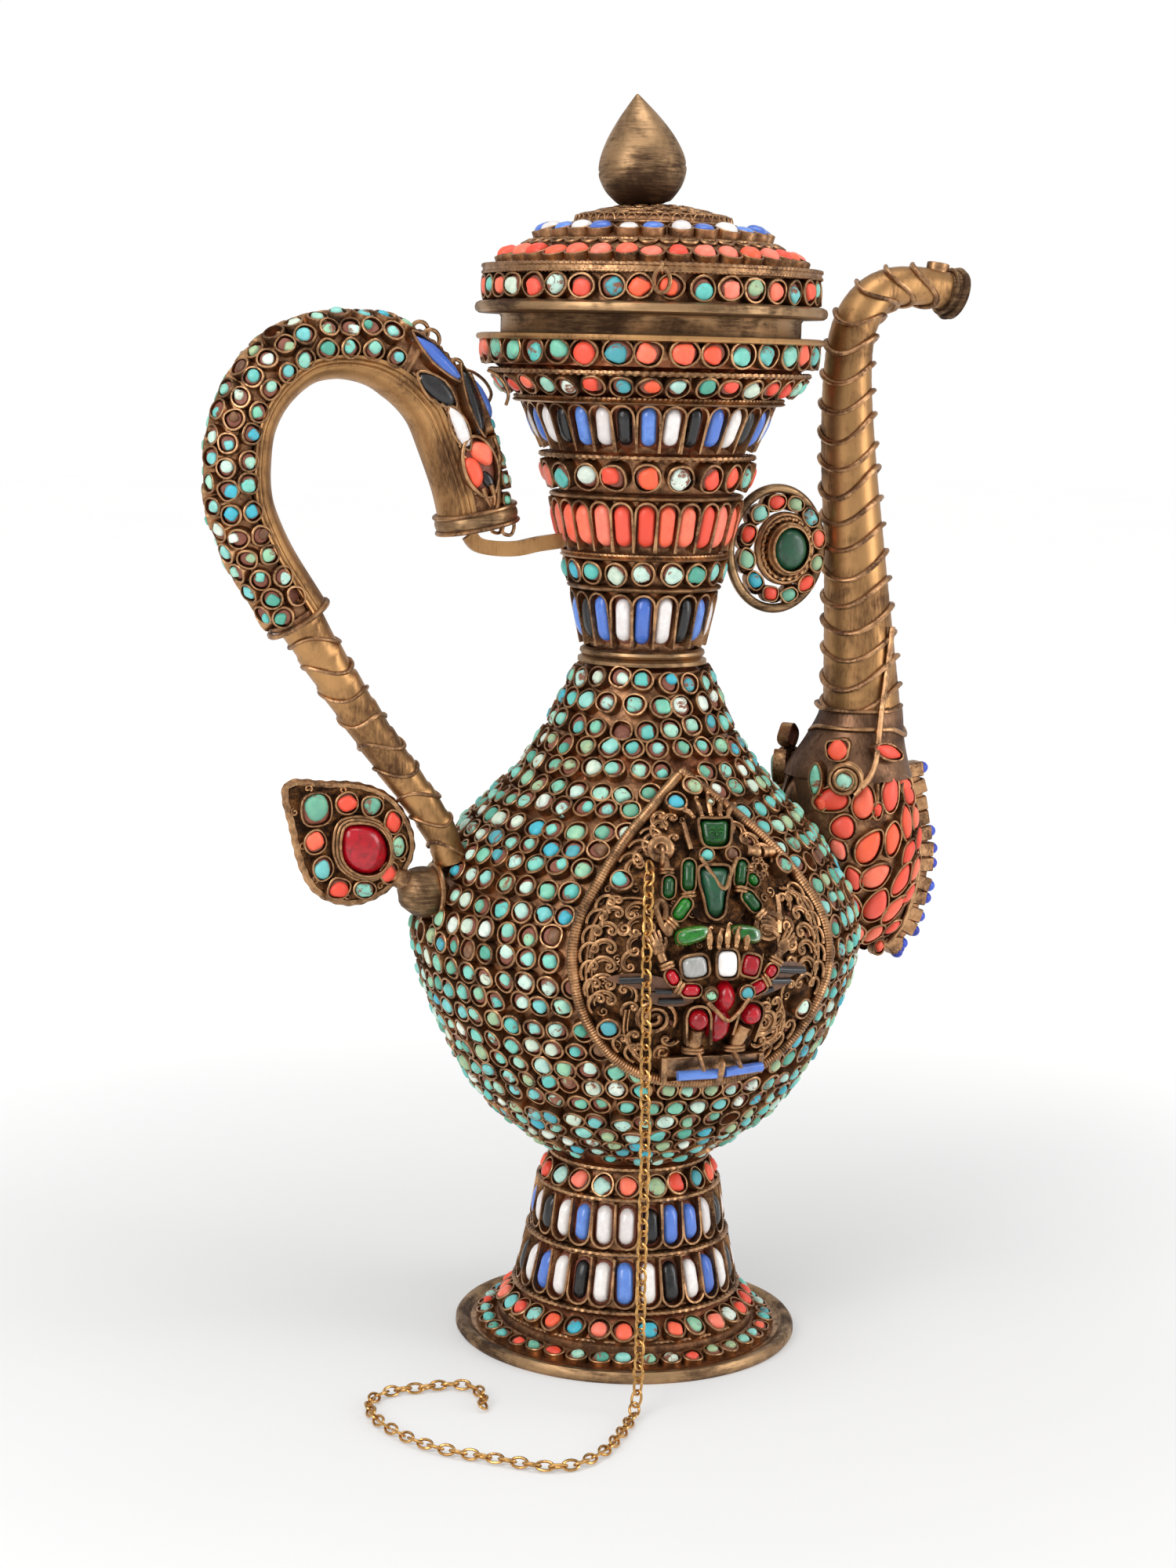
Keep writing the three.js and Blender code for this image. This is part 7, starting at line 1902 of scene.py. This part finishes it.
def medallion_ground():
    """The domed ground with all its filigree, bezels and crumbs."""
    rng = random.Random(61)
    piece = Piece("medallion_filigree")
    rings = [np.array([medal(a, h, -0.4)[:3, 3] for a, h in medallion_outline(s, 60)])
             for s in (0.02, 0.5, 1.0)]
    for s in (1.0, 0.93, 0.86, 0.78, 0.7, 0.6, 0.5, 0.4, 0.3, 0.2, 0.1, 0.02):
        lifts = [(a, h, 1.5 + 0.35 * math.sin(9 * s + a * 0.6) * (s < 1))
                 for a, h in medallion_outline(s, 60)]
        rings.append(np.array([medal(*spot)[:3, 3] for spot in lifts]))
    # The ground is in metal darkened with painted shade of its recess under the filigree.
    piece.add(skin(rings, start=True, end=True), RECESS_METAL_PAINTED_SHADE)
    for a, h, size, turn, facing in SCROLLS:
        size *= 1.22
        for scale, rise, thick, material in ((1.0, 1.35, 1, GOLD), (0.62, 0.75, 0.8, BRASS)):
            line = np.array([(x * facing * size * scale, y * size * scale, 0) for x, y in SCROLL])
            spot = medal(a, h, 1.7 + rise, turn + rng.uniform(-8, 8))
            piece.add(tube(spline(line, 34), CURL_WIRE * thick, 7), material, spot)
    border_scrolls(piece, rng)
    for a, h, size, turns, facing in WHORLS:
        line = whorl(size, turns, steps=40) * (facing, 1, 1)
        piece.add(tube(line, CURL_WIRE * 1.15, 7), GOLD, medal(a, h, 3.1, rng.uniform(0, 360)))
        piece.add(tube(line * 0.94, CURL_WIRE, 7), BRASS, medal(a, h, 2.3, rng.uniform(0, 360)))
    for pairs in PANEL_LINES:
        piece.add(tube(medal_line(pairs, 3.0), 0.6, 7), GOLD)
        inner = [(a * 0.955, h) for a, h in pairs]
        piece.add(tube(medal_line(inner, 2.6), 0.45, 7), GOLD)
    for a, h, half, kind in MEDALLION_BEZELS:
        filled(piece, medal(a, h, 1.0), pebble(half, half, rng, 20, 0.03), 4.6, rng, kind, 0.8, 0.8)
    for _ in range(150):
        a, h = rng.uniform(-44, 44), rng.uniform(118, 204)
        if abs(a) < medallion_side(h) - 4:
            chance = rng.random()
            size = rng.uniform(0.8, 1.5)
            if chance < 0.5:
                crumb = pebble(size, size * 0.8, rng, 8, 0.2)
                piece.add(dome(crumb, -0.3, 0.6, 0.5, 3), RESIN, medal(a, h, 1.4))
            else:
                curl = whorl(size * 1.5, 1.2, steps=14)
                piece.add(tube(curl, 0.4, 6), BRASS, medal(a, h, 1.9, rng.uniform(0, 360)))
    piece.place("ewer", "brass", "medallion_ground")


def medallion_frame():
    """A thick wire with a thin one wound closely round it."""
    piece = Piece("medallion_wound_frame")
    line = even(medal_line(medallion_outline(1.0, 70), 3.4), 900)
    step = np.arange(len(line))
    radii = 1.95 + 0.2 * np.sin(step * TURN / 3.0) + 0.06 * np.sin(step * 0.05)
    piece.add(tube(line, radii, 10), BRASS)
    low = medal(0, MEDALLION_BOTTOM, 3.6)[:3, 3]
    high = medal(0, MEDALLION_BOTTOM + MEDALLION_HEIGHT, 3.6)[:3, 3]
    piece.add(ball(high, (1.9, 1.9, 1.9), 8, 14), BRASS)
    piece.add(ball(low, (1.8, 1.8, 1.8), 8, 14), BRASS)
    piece.place("ewer", "brass", "medallion_frame")


BAR_DEPTH = 2.2
BAR_WALL = 0.6


def stone_bar(piece, start, end, half, kind, lift, rng):
    """A rod of glass in a long closed setting, between two places."""
    a, b = figure(*start, lift)[:3, 3], figure(*end, lift)[:3, 3]
    out = figure((start[0] + end[0]) / 2, (start[1] + end[1]) / 2, lift)[:3, 2]
    at = basis((a + b) / 2, out, unit(b - a))
    reach = np.linalg.norm(b - a) / 2
    piece.add(collar(capsule(half + 1.0, reach + 1.0), -1.6, BAR_DEPTH, BAR_WALL), BRASS, at)
    piece.add(dome(capsule(half + 0.6, reach + 0.6), -1.6, BAR_DEPTH * 0.4, 0.95, 3), RESIN, at)
    stone_line = capsule(half + 0.25, reach + 0.3)
    piece.add(dome(stone_line, 0.2, BAR_DEPTH + 1.2, 0.4, 6), STONES[kind], at, rng.random())


def cuff(piece, a, h, lift, turn, half=2.3, deep=1.6):
    """A small rolled collar between two settings of an arm."""
    at = figure(a, h, lift, turn)
    for shift in (-0.6, 0.6):
        ring = [(half * math.cos(TURN * k / 20), shift, deep * math.sin(TURN * k / 20)) for k in range(20)]
        piece.add(tube(ring, 0.62, 7, loop=True), GOLD, at)
    points, faces = ball((0, 0, 0), (half, 1.0, deep), 8, 16)
    piece.add((points, faces), BRASS, at)


def hand(piece, at, size, facing):
    """A flat brass hand with its fingers up. Its thumb is on the side that it faces."""
    piece.add(ball((0, 0, 0), (1.7 * size, 2.3 * size, 0.85 * size), 10, 16), BRASS, at)
    for k, reach in enumerate((2.7, 3.2, 3.1, 2.5)):
        x = (k - 1.5) * 0.85 * size
        line = [(x, 1.2 * size, 0), (x * 1.15, (1.2 + reach * 0.55) * size, 0.25),
                (x * 1.25, (1.2 + reach) * size, -0.1)]
        piece.add(tube(spline(line, 8), np.linspace(0.5, 0.34, 9) * size, 7), BRASS, at)
    thumb = [(facing * x * size, y * size, z)
             for x, y, z in ((1.3, -0.6, 0), (2.3, 0.5, 0.3), (2.5, 1.7, 0.3))]
    piece.add(tube(spline(thumb, 8), np.linspace(0.5, 0.36, 9) * size, 7), BRASS, at)
    piece.add(tube([(0, -3.4 * size, -0.2), (0, -1.2 * size, 0)], 1.15 * size, 12), BRASS, at)


def spikes(piece, tips, base, lift, width=1.1):
    """Crown leaves that end in small curls."""
    for (a, h), foot in zip(tips, base):
        line = [foot, (between(foot[0], a, 0.45), between(foot[1], h, 0.55)), (a, h - 0.9), (a + 0.5, h),
                (a + 1.0, h - 0.6)]
        points = medal_line(line, (lift, lift + 0.9, lift + 0.5, lift + 1.0, lift + 1.3), 22)
        radii = np.interp(np.linspace(0, 1, 23), (0, 0.35, 0.8, 1), (width * 0.7, width, 0.6, 0.45))
        piece.add(tube(points, radii, 8), GOLD)
    for a, h in base:
        piece.add(ball(medal(a, h, lift + 0.9)[:3, 3], (0.95, 0.95, 0.95), 6, 10), GOLD)


# Outlines about their own middles: a torso, and a folded leg
TORSO = [(-5.6, 8.8), (-6.0, 3.6), (-4.6, -2.6), (-3.4, -8.0), (0, -10.2), (3.4, -8.0), (4.4, -2.6),
         (5.6, 3.6), (5.4, 8.8), (0, 9.6)]
LEG = [(-6.4, 0), (-5.2, 2.2), (-1, 3.2), (4, 2.9), (6.4, 1.4), (5.6, -1.2), (2, -2.6), (-3, -3.2),
       (-5.8, -2.2)]


def plain_face(piece, at, half_width, half_height, material):
    """A calm, simple face in low relief: brow, nose, lowered lids and a level mouth."""
    for side in (-1, 1):
        lid = [(side * half_width * x, half_height * y, z) for x, y, z in
               ((0.16, 0.02, 0.5), (0.36, 0.08, 0.55), (0.56, 0.0, 0.35))]
        piece.add(tube(spline(lid, 10), 0.24, 6), material, at, 0.9)
        brow = [(side * half_width * x, half_height * y, z) for x, y, z in
                ((0.1, 0.24, 0.6), (0.36, 0.34, 0.6), (0.64, 0.22, 0.3))]
        piece.add(tube(spline(brow, 10), 0.2, 6), material, at, 0.9)
    nose = [(0, 0.2 * half_height, 0.55), (0, -0.1 * half_height, 0.8), (0, -0.26 * half_height, 1.0)]
    piece.add(tube(spline(nose, 10), np.linspace(0.26, 0.5, 11), 8), material, at, 0.9)
    mouth = [(-0.26 * half_width, -0.52 * half_height, 0.5), (0, -0.54 * half_height, 0.75),
             (0.26 * half_width, -0.52 * half_height, 0.5)]
    piece.add(tube(spline(mouth, 10), 0.28, 6), material, at, 0.9)


# Where the eye of the chain hangs, and how far the lower figure's plinth stands out
CHAIN_EYE = (-22.2, -67.8, 191.5)
PLINTH_FRONT = 9.4
LOWER_LIFT = 6.0


def upper_figure():
    """The green seated figure, with what hangs from it and stands beside it."""
    rng = random.Random(62)
    piece = Piece("green_seated_figure")
    back = [(-6, 171), (-7.5, 182), (-5.0, 191), (-2, 199), (6, 203), (14, 199), (16.5, 190), (13, 181),
            (10, 171)]
    outline = medal_line(back, 2.0, 48, True)
    middle = medal(4, 186, 2.0)[:3, 3]
    rings = [middle + (outline - middle) * s for s in (1.0, 0.6, 0.05)]
    front = [r + FIGURES_FACE * 1.4 for r in rings[::-1]]
    # The back plate is in metal darkened with painted shade between the stones.
    piece.add(skin(rings[::-1] + front[::-1], start=True, end=True), RECESS_METAL_PAINTED_SHADE)
    head = figure(5.9, 197.2, 5.6)
    box = [(-5.9, 5.4), (-6.0, 0), (-5.2, -3.8), (-2.8, -5.6), (2.8, -5.6), (5.2, -3.8), (6.0, 0), (5.9, 5.4),
           (0, 5.6)]
    piece.add(collar(spline(box, 44, True), -3.4, 2.4, 0.9), BRASS, head)
    piece.add(dome(spline(np.array(box) * 0.86, 40, True), -3.0, 2.6, 0.86, 6), GREEN_GLASS, head, 0.4)
    plain_face(piece, moved(head, z=2.3), 4.4, 4.9, GREEN_GLASS)
    spikes(piece, [(-3.0, 205.4), (2.2, 208.6), (7.2, 209.8), (12.2, 207.6), (17.0, 206.0)],
           [(-0.4, 202.4), (2.9, 202.6), (6.4, 202.8), (10.0, 202.6), (13.0, 202.0)], 5.4)
    filled(piece, figure(7.4, 206.6, 5.8), oval(1.5, 1.5, 14), 1.6, rng, "t", 0.9, 0.5, 0.6, 0.4)
    piece.add(tube(medal_line([(-4.4, 200.6), (-4.2, 192.6)], 5.0, 8), 1.0, 8), BRASS)
    torso = figure(1.2, 179.6, 4.6)
    outline = spline(TORSO, 50, True)
    piece.add(collar(outline, -2.6, 2.2, 0.85), BRASS, torso)
    piece.add(dome(grown(outline, -0.8), -2.4, 3.7, 0.55, 7), DARK_GREEN, torso, 0.3)
    necklace = [(-2.0, 190.4), (0.6, 185.8), (4.2, 180.6), (7.6, 184.8), (11.6, 189.8)]
    piece.add(tube(medal_line(necklace, 9.0, 30), 0.8, 8), GOLD)
    for a, h, kind in ((0.4, 190.9, "t"), (10.2, 190.7, "h")):
        filled(piece, figure(a, h, 6.2), oval(2.9, 2.9, 20), 2.4, rng, kind, 0.9, 1.1, 0.5, 0.6)
    for start, end, half in (((-6.4, 189.0), (-8.0, 180.4), 1.9), ((-8.9, 177.4), (-14.0, 171.6), 1.9),
                             ((13.1, 188.2), (11.2, 181.0), 1.75), ((12.0, 178.8), (16.6, 173.0), 1.8),
                             ((-14.2, 184.2), (-15.4, 178.2), 1.7), ((15.6, 184.0), (17.4, 180.8), 1.5)):
        stone_bar(piece, start, end, half, "g", 4.6, rng)
    for a, h, turn in ((-8.4, 178.9, 10), (-15.4, 170.2, -45), (11.4, 179.8, -10), (17.4, 171.6, 45),
                       (-14.2, 186.2, 0), (14.8, 186.0, 0)):
        cuff(piece, a, h, 5.2, turn)
    fingers = [(-15.8, 169.4), (-16.8, 166.6), (-18.4, 168.4), (-19.6, 172.0), (-20.0, 175.3), (-18.2, 177.2),
               (-16.8, 175.0), (-17.6, 171.0)]
    piece.add(tube(medal_line(fingers, 5.4, 50), 1.1, 8), BRASS)
    piece.add(ball(figure(-17.0, 168.8, 4.8)[:3, 3], (2.3, 1.6, 2.4), 8, 14), BRASS)
    shell = figure(20.2, 167.0, 4.8, 30)
    piece.add(tube(whorl(5.4, 1.7), 1.2, 8), BRASS, shell)
    piece.add(ball((0, 0, -0.8), (4.4, 4.4, 1.6), 8, 16), BRASS, shell)
    for k in range(4):
        finger = [(16.6 + k * 0.5, 170.6 - k * 1.2), (19.4 + k * 0.5, 170.8 - k * 1.5),
                  (22.2 + k * 0.3, 169.6 - k * 1.7)]
        piece.add(tube(medal_line(finger, (5.8, 7.2, 6.8), 10), 0.8, 8), BRASS)
    piece.add(tube(medal_line([(25.6, 177.0), (25.0, 171.0), (23.9, 165.2)], 6.8, 14), 1.0, 8), BRASS)
    left, right = figure(-8.8, 166.2, 4.6, 8), figure(10.4, 165.8, 4.6, -6)
    for at, facing, scale in ((left, 1, 1.0), (right, -1, 0.9)):
        outline = spline([(x * facing * scale, y) for x, y in LEG][::facing], 44, True)
        piece.add(collar(grown(outline, 1.3), -2.6, 2.6, 0.8), BRASS, at)
        piece.add(dome(grown(outline, 0.7), -2.2, 1.2, 0.95, 3), RESIN, at)
        piece.add(dome(grown(outline, 0.1), 0.2, 4.4, 0.5, 7), GREEN_GLASS, at, rng.random())
    disc = figure(-14.6, 193.0, 4.6)
    piece.add(tube(oval_ring(3.4, 3.4), 1.45, 9, loop=True, flatten=0.6), BRASS, disc)
    piece.add(tube(oval_ring(1.9, 1.9), 0.5, 7, loop=True), GOLD, moved(disc, z=0.5))
    piece.add(tube(medal_line([(-14.4, 190.4), (-14.3, 186.8)], 5.2, 6), 1.8, 10), BRASS)
    eye = np.array(CHAIN_EYE)
    out = medal(-18, 191.5)[:3, 2]
    at = basis(eye, unit(np.cross(out, (0, 0, 1))), (0, 0, 1))
    piece.add(tube(oval_ring(3.3, 3.6), 0.7, 8, loop=True), GOLD, at)
    lug = [figure(-14.4, 192.2, 5.0)[:3, 3], medal(-17.0, 192.6, 5.8)[:3, 3], eye + (3.0, 0.4, 0.6)]
    piece.add(tube(spline(lug, 12), 0.9, 8), BRASS)
    for start, end in (((16.6, 191.6), (22.0, 190.6)), ((23.2, 190.4), (28.6, 190.2))):
        piece.add(tube(medal_line([start, end], 4.4, 6), (2.0, 2.2, 2.0, 1.8, 2.0, 2.2, 2.0), 12), BRASS)
    for k in range(7):
        angle = TURN * k / 7
        spot = medal(20.8 + 2.6 * math.cos(angle), 185.8 + 2.4 * math.sin(angle), 4.0)
        piece.add(tube(whorl(1.6, 1.3), 0.45, 6), BRASS, moved(spot, turn=angle))
    piece.place("ewer", "green_glass", "figure_upper")


def lower_figure():
    """The plinth with its glass rods, the brown petals, and the red figure on them."""
    rng = random.Random(63)
    front, lift = PLINTH_FRONT, LOWER_LIFT
    piece = Piece("red_figure_on_plinth")
    corners = np.array([medal(a, h, 1.0)[:3, 3]
                        for a, h in ((-16.9, 123.0), (21.8, 122.4), (23.4, 113.9), (-15.2, 113.0))])
    middle = corners.mean(0)
    rings = []
    for depth, inset in ((-1.6, 0.0), (front - 2.0, 0.0), (front - 1.2, 0.03), (front - 1.2, 0.1),
                         (front - 3.0, 0.12)):
        rings.append(np.array([middle + (p - middle) * (1 - inset) + FIGURES_FACE * depth
                               for p in corners[::-1]]))
    piece.add(skin(rings, start=True, end=True), BRASS)
    for start, end in (((-10.2, 115.9), (4.6, 116.0)), ((6.8, 116.3), (21.9, 116.8))):
        a, b = medal(*start, front - 0.4)[:3, 3], medal(*end, front - 0.4)[:3, 3]
        piece.add(tube(np.linspace(a, b, 12), 1.75, 14), BLUE_GLASS, None, rng.random())
    strap = [medal(5.2, h, front + d)[:3, 3]
             for h, d in ((121.6, -1.8), (119.6, 0.4), (116.4, 1.6), (113.4, 0.4), (112.4, -1.6))]
    piece.add(tube(spline(strap, 16), 1.2, 8, flatten=0.5), GOLD)
    for pairs in ([(-39.0, 151.4), (-30, 153.6), (-20, 152.4), (-12.8, 149.0), (-22, 147.6), (-31, 149.2)],
                  [(-27, 146.6), (-14, 146.8), (-8, 144.4), (-12, 142.2), (-21, 142.6)],
                  [(36.6, 152.0), (28, 155.2), (18.6, 153.0), (19.0, 149.6), (28, 149.6)],
                  [(30, 148.6), (20, 149.0), (11.6, 145.6), (14, 143.6), (24, 145.6)]):
        outline = medal_line(pairs, 3.0, 30, True)
        spot = outline.mean(0)
        rings = [spot + (outline - spot) * s + FIGURES_FACE * d
                 for s, d in ((0.04, 0), (1, 0), (1, 1.2), (0.04, 1.6))]
        piece.add(skin(rings, start=True, end=True), HORN)
    for start, end, half in (((-34.3, 151.0), (-26.0, 151.6), 1.25), ((-22.1, 147.6), (-16.5, 147.6), 0.95),
                             ((-20.6, 144.0), (-12.2, 144.2), 1.05), ((22.4, 153.1), (35.3, 151.2), 1.3),
                             ((20.1, 149.3), (28.6, 148.4), 1.1), ((14.3, 145.2), (21.2, 146.2), 1.0)):
        piece.add(tube(medal_line([start, end], 5.0, 8), half, 10), BLACK_GLASS, None, rng.random())
    body = [(-8, 123), (-10, 134), (-7, 142), (-12, 150), (-8, 160), (4, 163), (13, 160), (15, 150),
            (12, 142), (16, 134), (13, 123)]
    outline = medal_line(body, 2.0, 50, True)
    middle = medal(3, 143, 2.0)[:3, 3]
    rings = [middle + (outline - middle) * s for s in (0.05, 0.6, 1.0)]
    raised = [r + FIGURES_FACE * 2.2 for r in rings[::-1]]
    # The body plate is in metal darkened with painted shade between the stones.
    piece.add(skin(rings + raised, start=True, end=True), RECESS_METAL_PAINTED_SHADE)
    spikes(piece, [(-3.0, 169.0), (0.8, 168.2), (4.0, 169.9), (7.4, 168.4), (11.2, 167.4)],
           [(-3.6, 162.4), (-0.4, 162.4), (2.8, 162.6), (6.0, 162.4), (9.6, 161.6)], lift + 1.2, 1.35)
    for a, h, half_width, half_height, kind, turn in (
            (2.6, 156.6, 4.4, 5.6, "w", 0), (-9.0, 156.0, 5.4, 4.6, "q", 8),
            (11.2, 155.6, 3.9, 4.5, "r", -14)):
        box = [(half_width * math.copysign(abs(math.cos(t)) ** 0.6, math.cos(t)),
                half_height * math.copysign(abs(math.sin(t)) ** 0.6, math.sin(t)))
               for t in np.arange(0, TURN - 0.01, TURN / 32)]
        at = figure(a, h, lift - 0.8, turn)
        piece.add(collar(box, -3.4, 2.6, 0.8), BRASS, at)
        piece.add(dome(np.array(box) * 0.88, -3.0, 1.4, 0.95, 3), RESIN, at)
        piece.add(dome(np.array(box) * 0.8, 0.6, 3.6, 0.8, 6, 0.06, rng), STONES[kind], at, rng.random())
    for start, end, half in (((-17.9, 154.9), (-15.2, 150.4), 1.75), ((-13.3, 148.3), (-7.0, 148.1), 1.85),
                             ((18.0, 151.2), (21.0, 154.6), 1.7), ((11.6, 146.4), (17.2, 149.2), 1.8)):
        stone_bar(piece, start, end, half, "r", lift - 0.8, rng)
    for a, h, turn in ((-14.2, 149.3, 60), (17.6, 150.0, -60), (-18.4, 156.6, 20), (21.8, 156.2, -30)):
        cuff(piece, a, h, lift + 0.4, turn)
    hand(piece, figure(-21.2, 162.4, lift + 0.2, 22), 1.45, 1)
    hand(piece, figure(25.6, 160.8, lift + 0.2, -36), 1.35, -1)
    for a, h, half in ((-3.2, 146.4, 1.7), (10.0, 146.6, 2.2)):
        at = figure(a, h, lift + 0.2)
        piece.add(ball((0, 0, 0), (3.2, 3.2, 2.2), 8, 18), BRASS, at)
        filled(piece, moved(at, z=1.6), oval(half + 0.7, half + 0.7, 18), 1.3, rng, "t", 0.9, 0.7, 0.5, 0.5)
    for a, h, half_width, half_height, turn in ((2.6, 145.2, 3.9, 5.6, 0), (1.2, 135.4, 4.7, 6.8, -8)):
        shape = drop(half_width, half_height, 0.3, 26)
        piece.add(dome(shape, -2.4, 4.0, 0.4, 8), RED_GLASS, figure(a, h, lift - 1, turn), rng.random())
    girdle = [(-4.4, 144.0), (0.0, 139.8), (4.0, 136.6), (7.8, 139.6), (11.0, 144.6)]
    piece.add(tube(medal_line(girdle, lift + 3.8, 30), 0.8, 8), GOLD)
    for a, h, low, foot, turn in ((-6.3, 137.4, -6.2, (-4.4, -2.0), 2), (13.1, 138.2, 8.8, (8.4, 11.8), -18)):
        at = figure(a, h, lift - 0.6, turn)
        bow = [(4.1, -8.6), (4.2, -2), (4.1, 1.4), (2.8, 4.0), (0, 4.8), (-2.8, 4.0), (-4.1, 1.4), (-4.2, -2),
               (-4.1, -8.6)]
        piece.add(strip(spline(bow, 40), -2.4, 2.6, 0.8), BRASS, at)
        piece.add(dome(oval(3.7, 4.1, 24), -1.0, 2.2, 0.95, 3), RESIN, at)
        piece.add(dome(oval(3.4, 3.6, 26), 1.0, 5.0, 0.5, 8), RED_GLASS, at, rng.random())
        leg = [(between(a, low, 0.35), 134.2), (between(a, low, 0.75), 129.6), (low, 125.8)]
        piece.add(tube(medal_line(leg, lift - 0.2, 16), np.linspace(3.2, 2.4, 17), 14), BRASS)
        cuff(piece, low, 125.8, lift, 0, 3.6, 2.8)
        toes = [medal(foot[0], 124.6, lift + 2.0)[:3, 3],
                medal(between(*foot, 0.5), 121.8, front + 0.6)[:3, 3],
                medal(foot[1], 118.8, front + 1.0)[:3, 3]]
        piece.add(tube(spline(toes, 14), 2.1, 10, flatten=0.45), GOLD)
    piece.place("ewer", "red_glass", "figure_lower_and_plinth")


medallion_ground()
medallion_frame()
upper_figure()
lower_figure()


# The frame's own shells, which stay and show through the mouth, under the foot and inside the lid
def dress_shells():
    for name in ("vessel_lower", "vessel_upper", "foot_cone", "neck_shell", "lid_dome"):
        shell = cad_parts[name]
        if not shell.material_slots:
            shell.data.materials.append(COPPER)
        for part in shell.material_slots:
            part.material = COPPER


dress_shells()
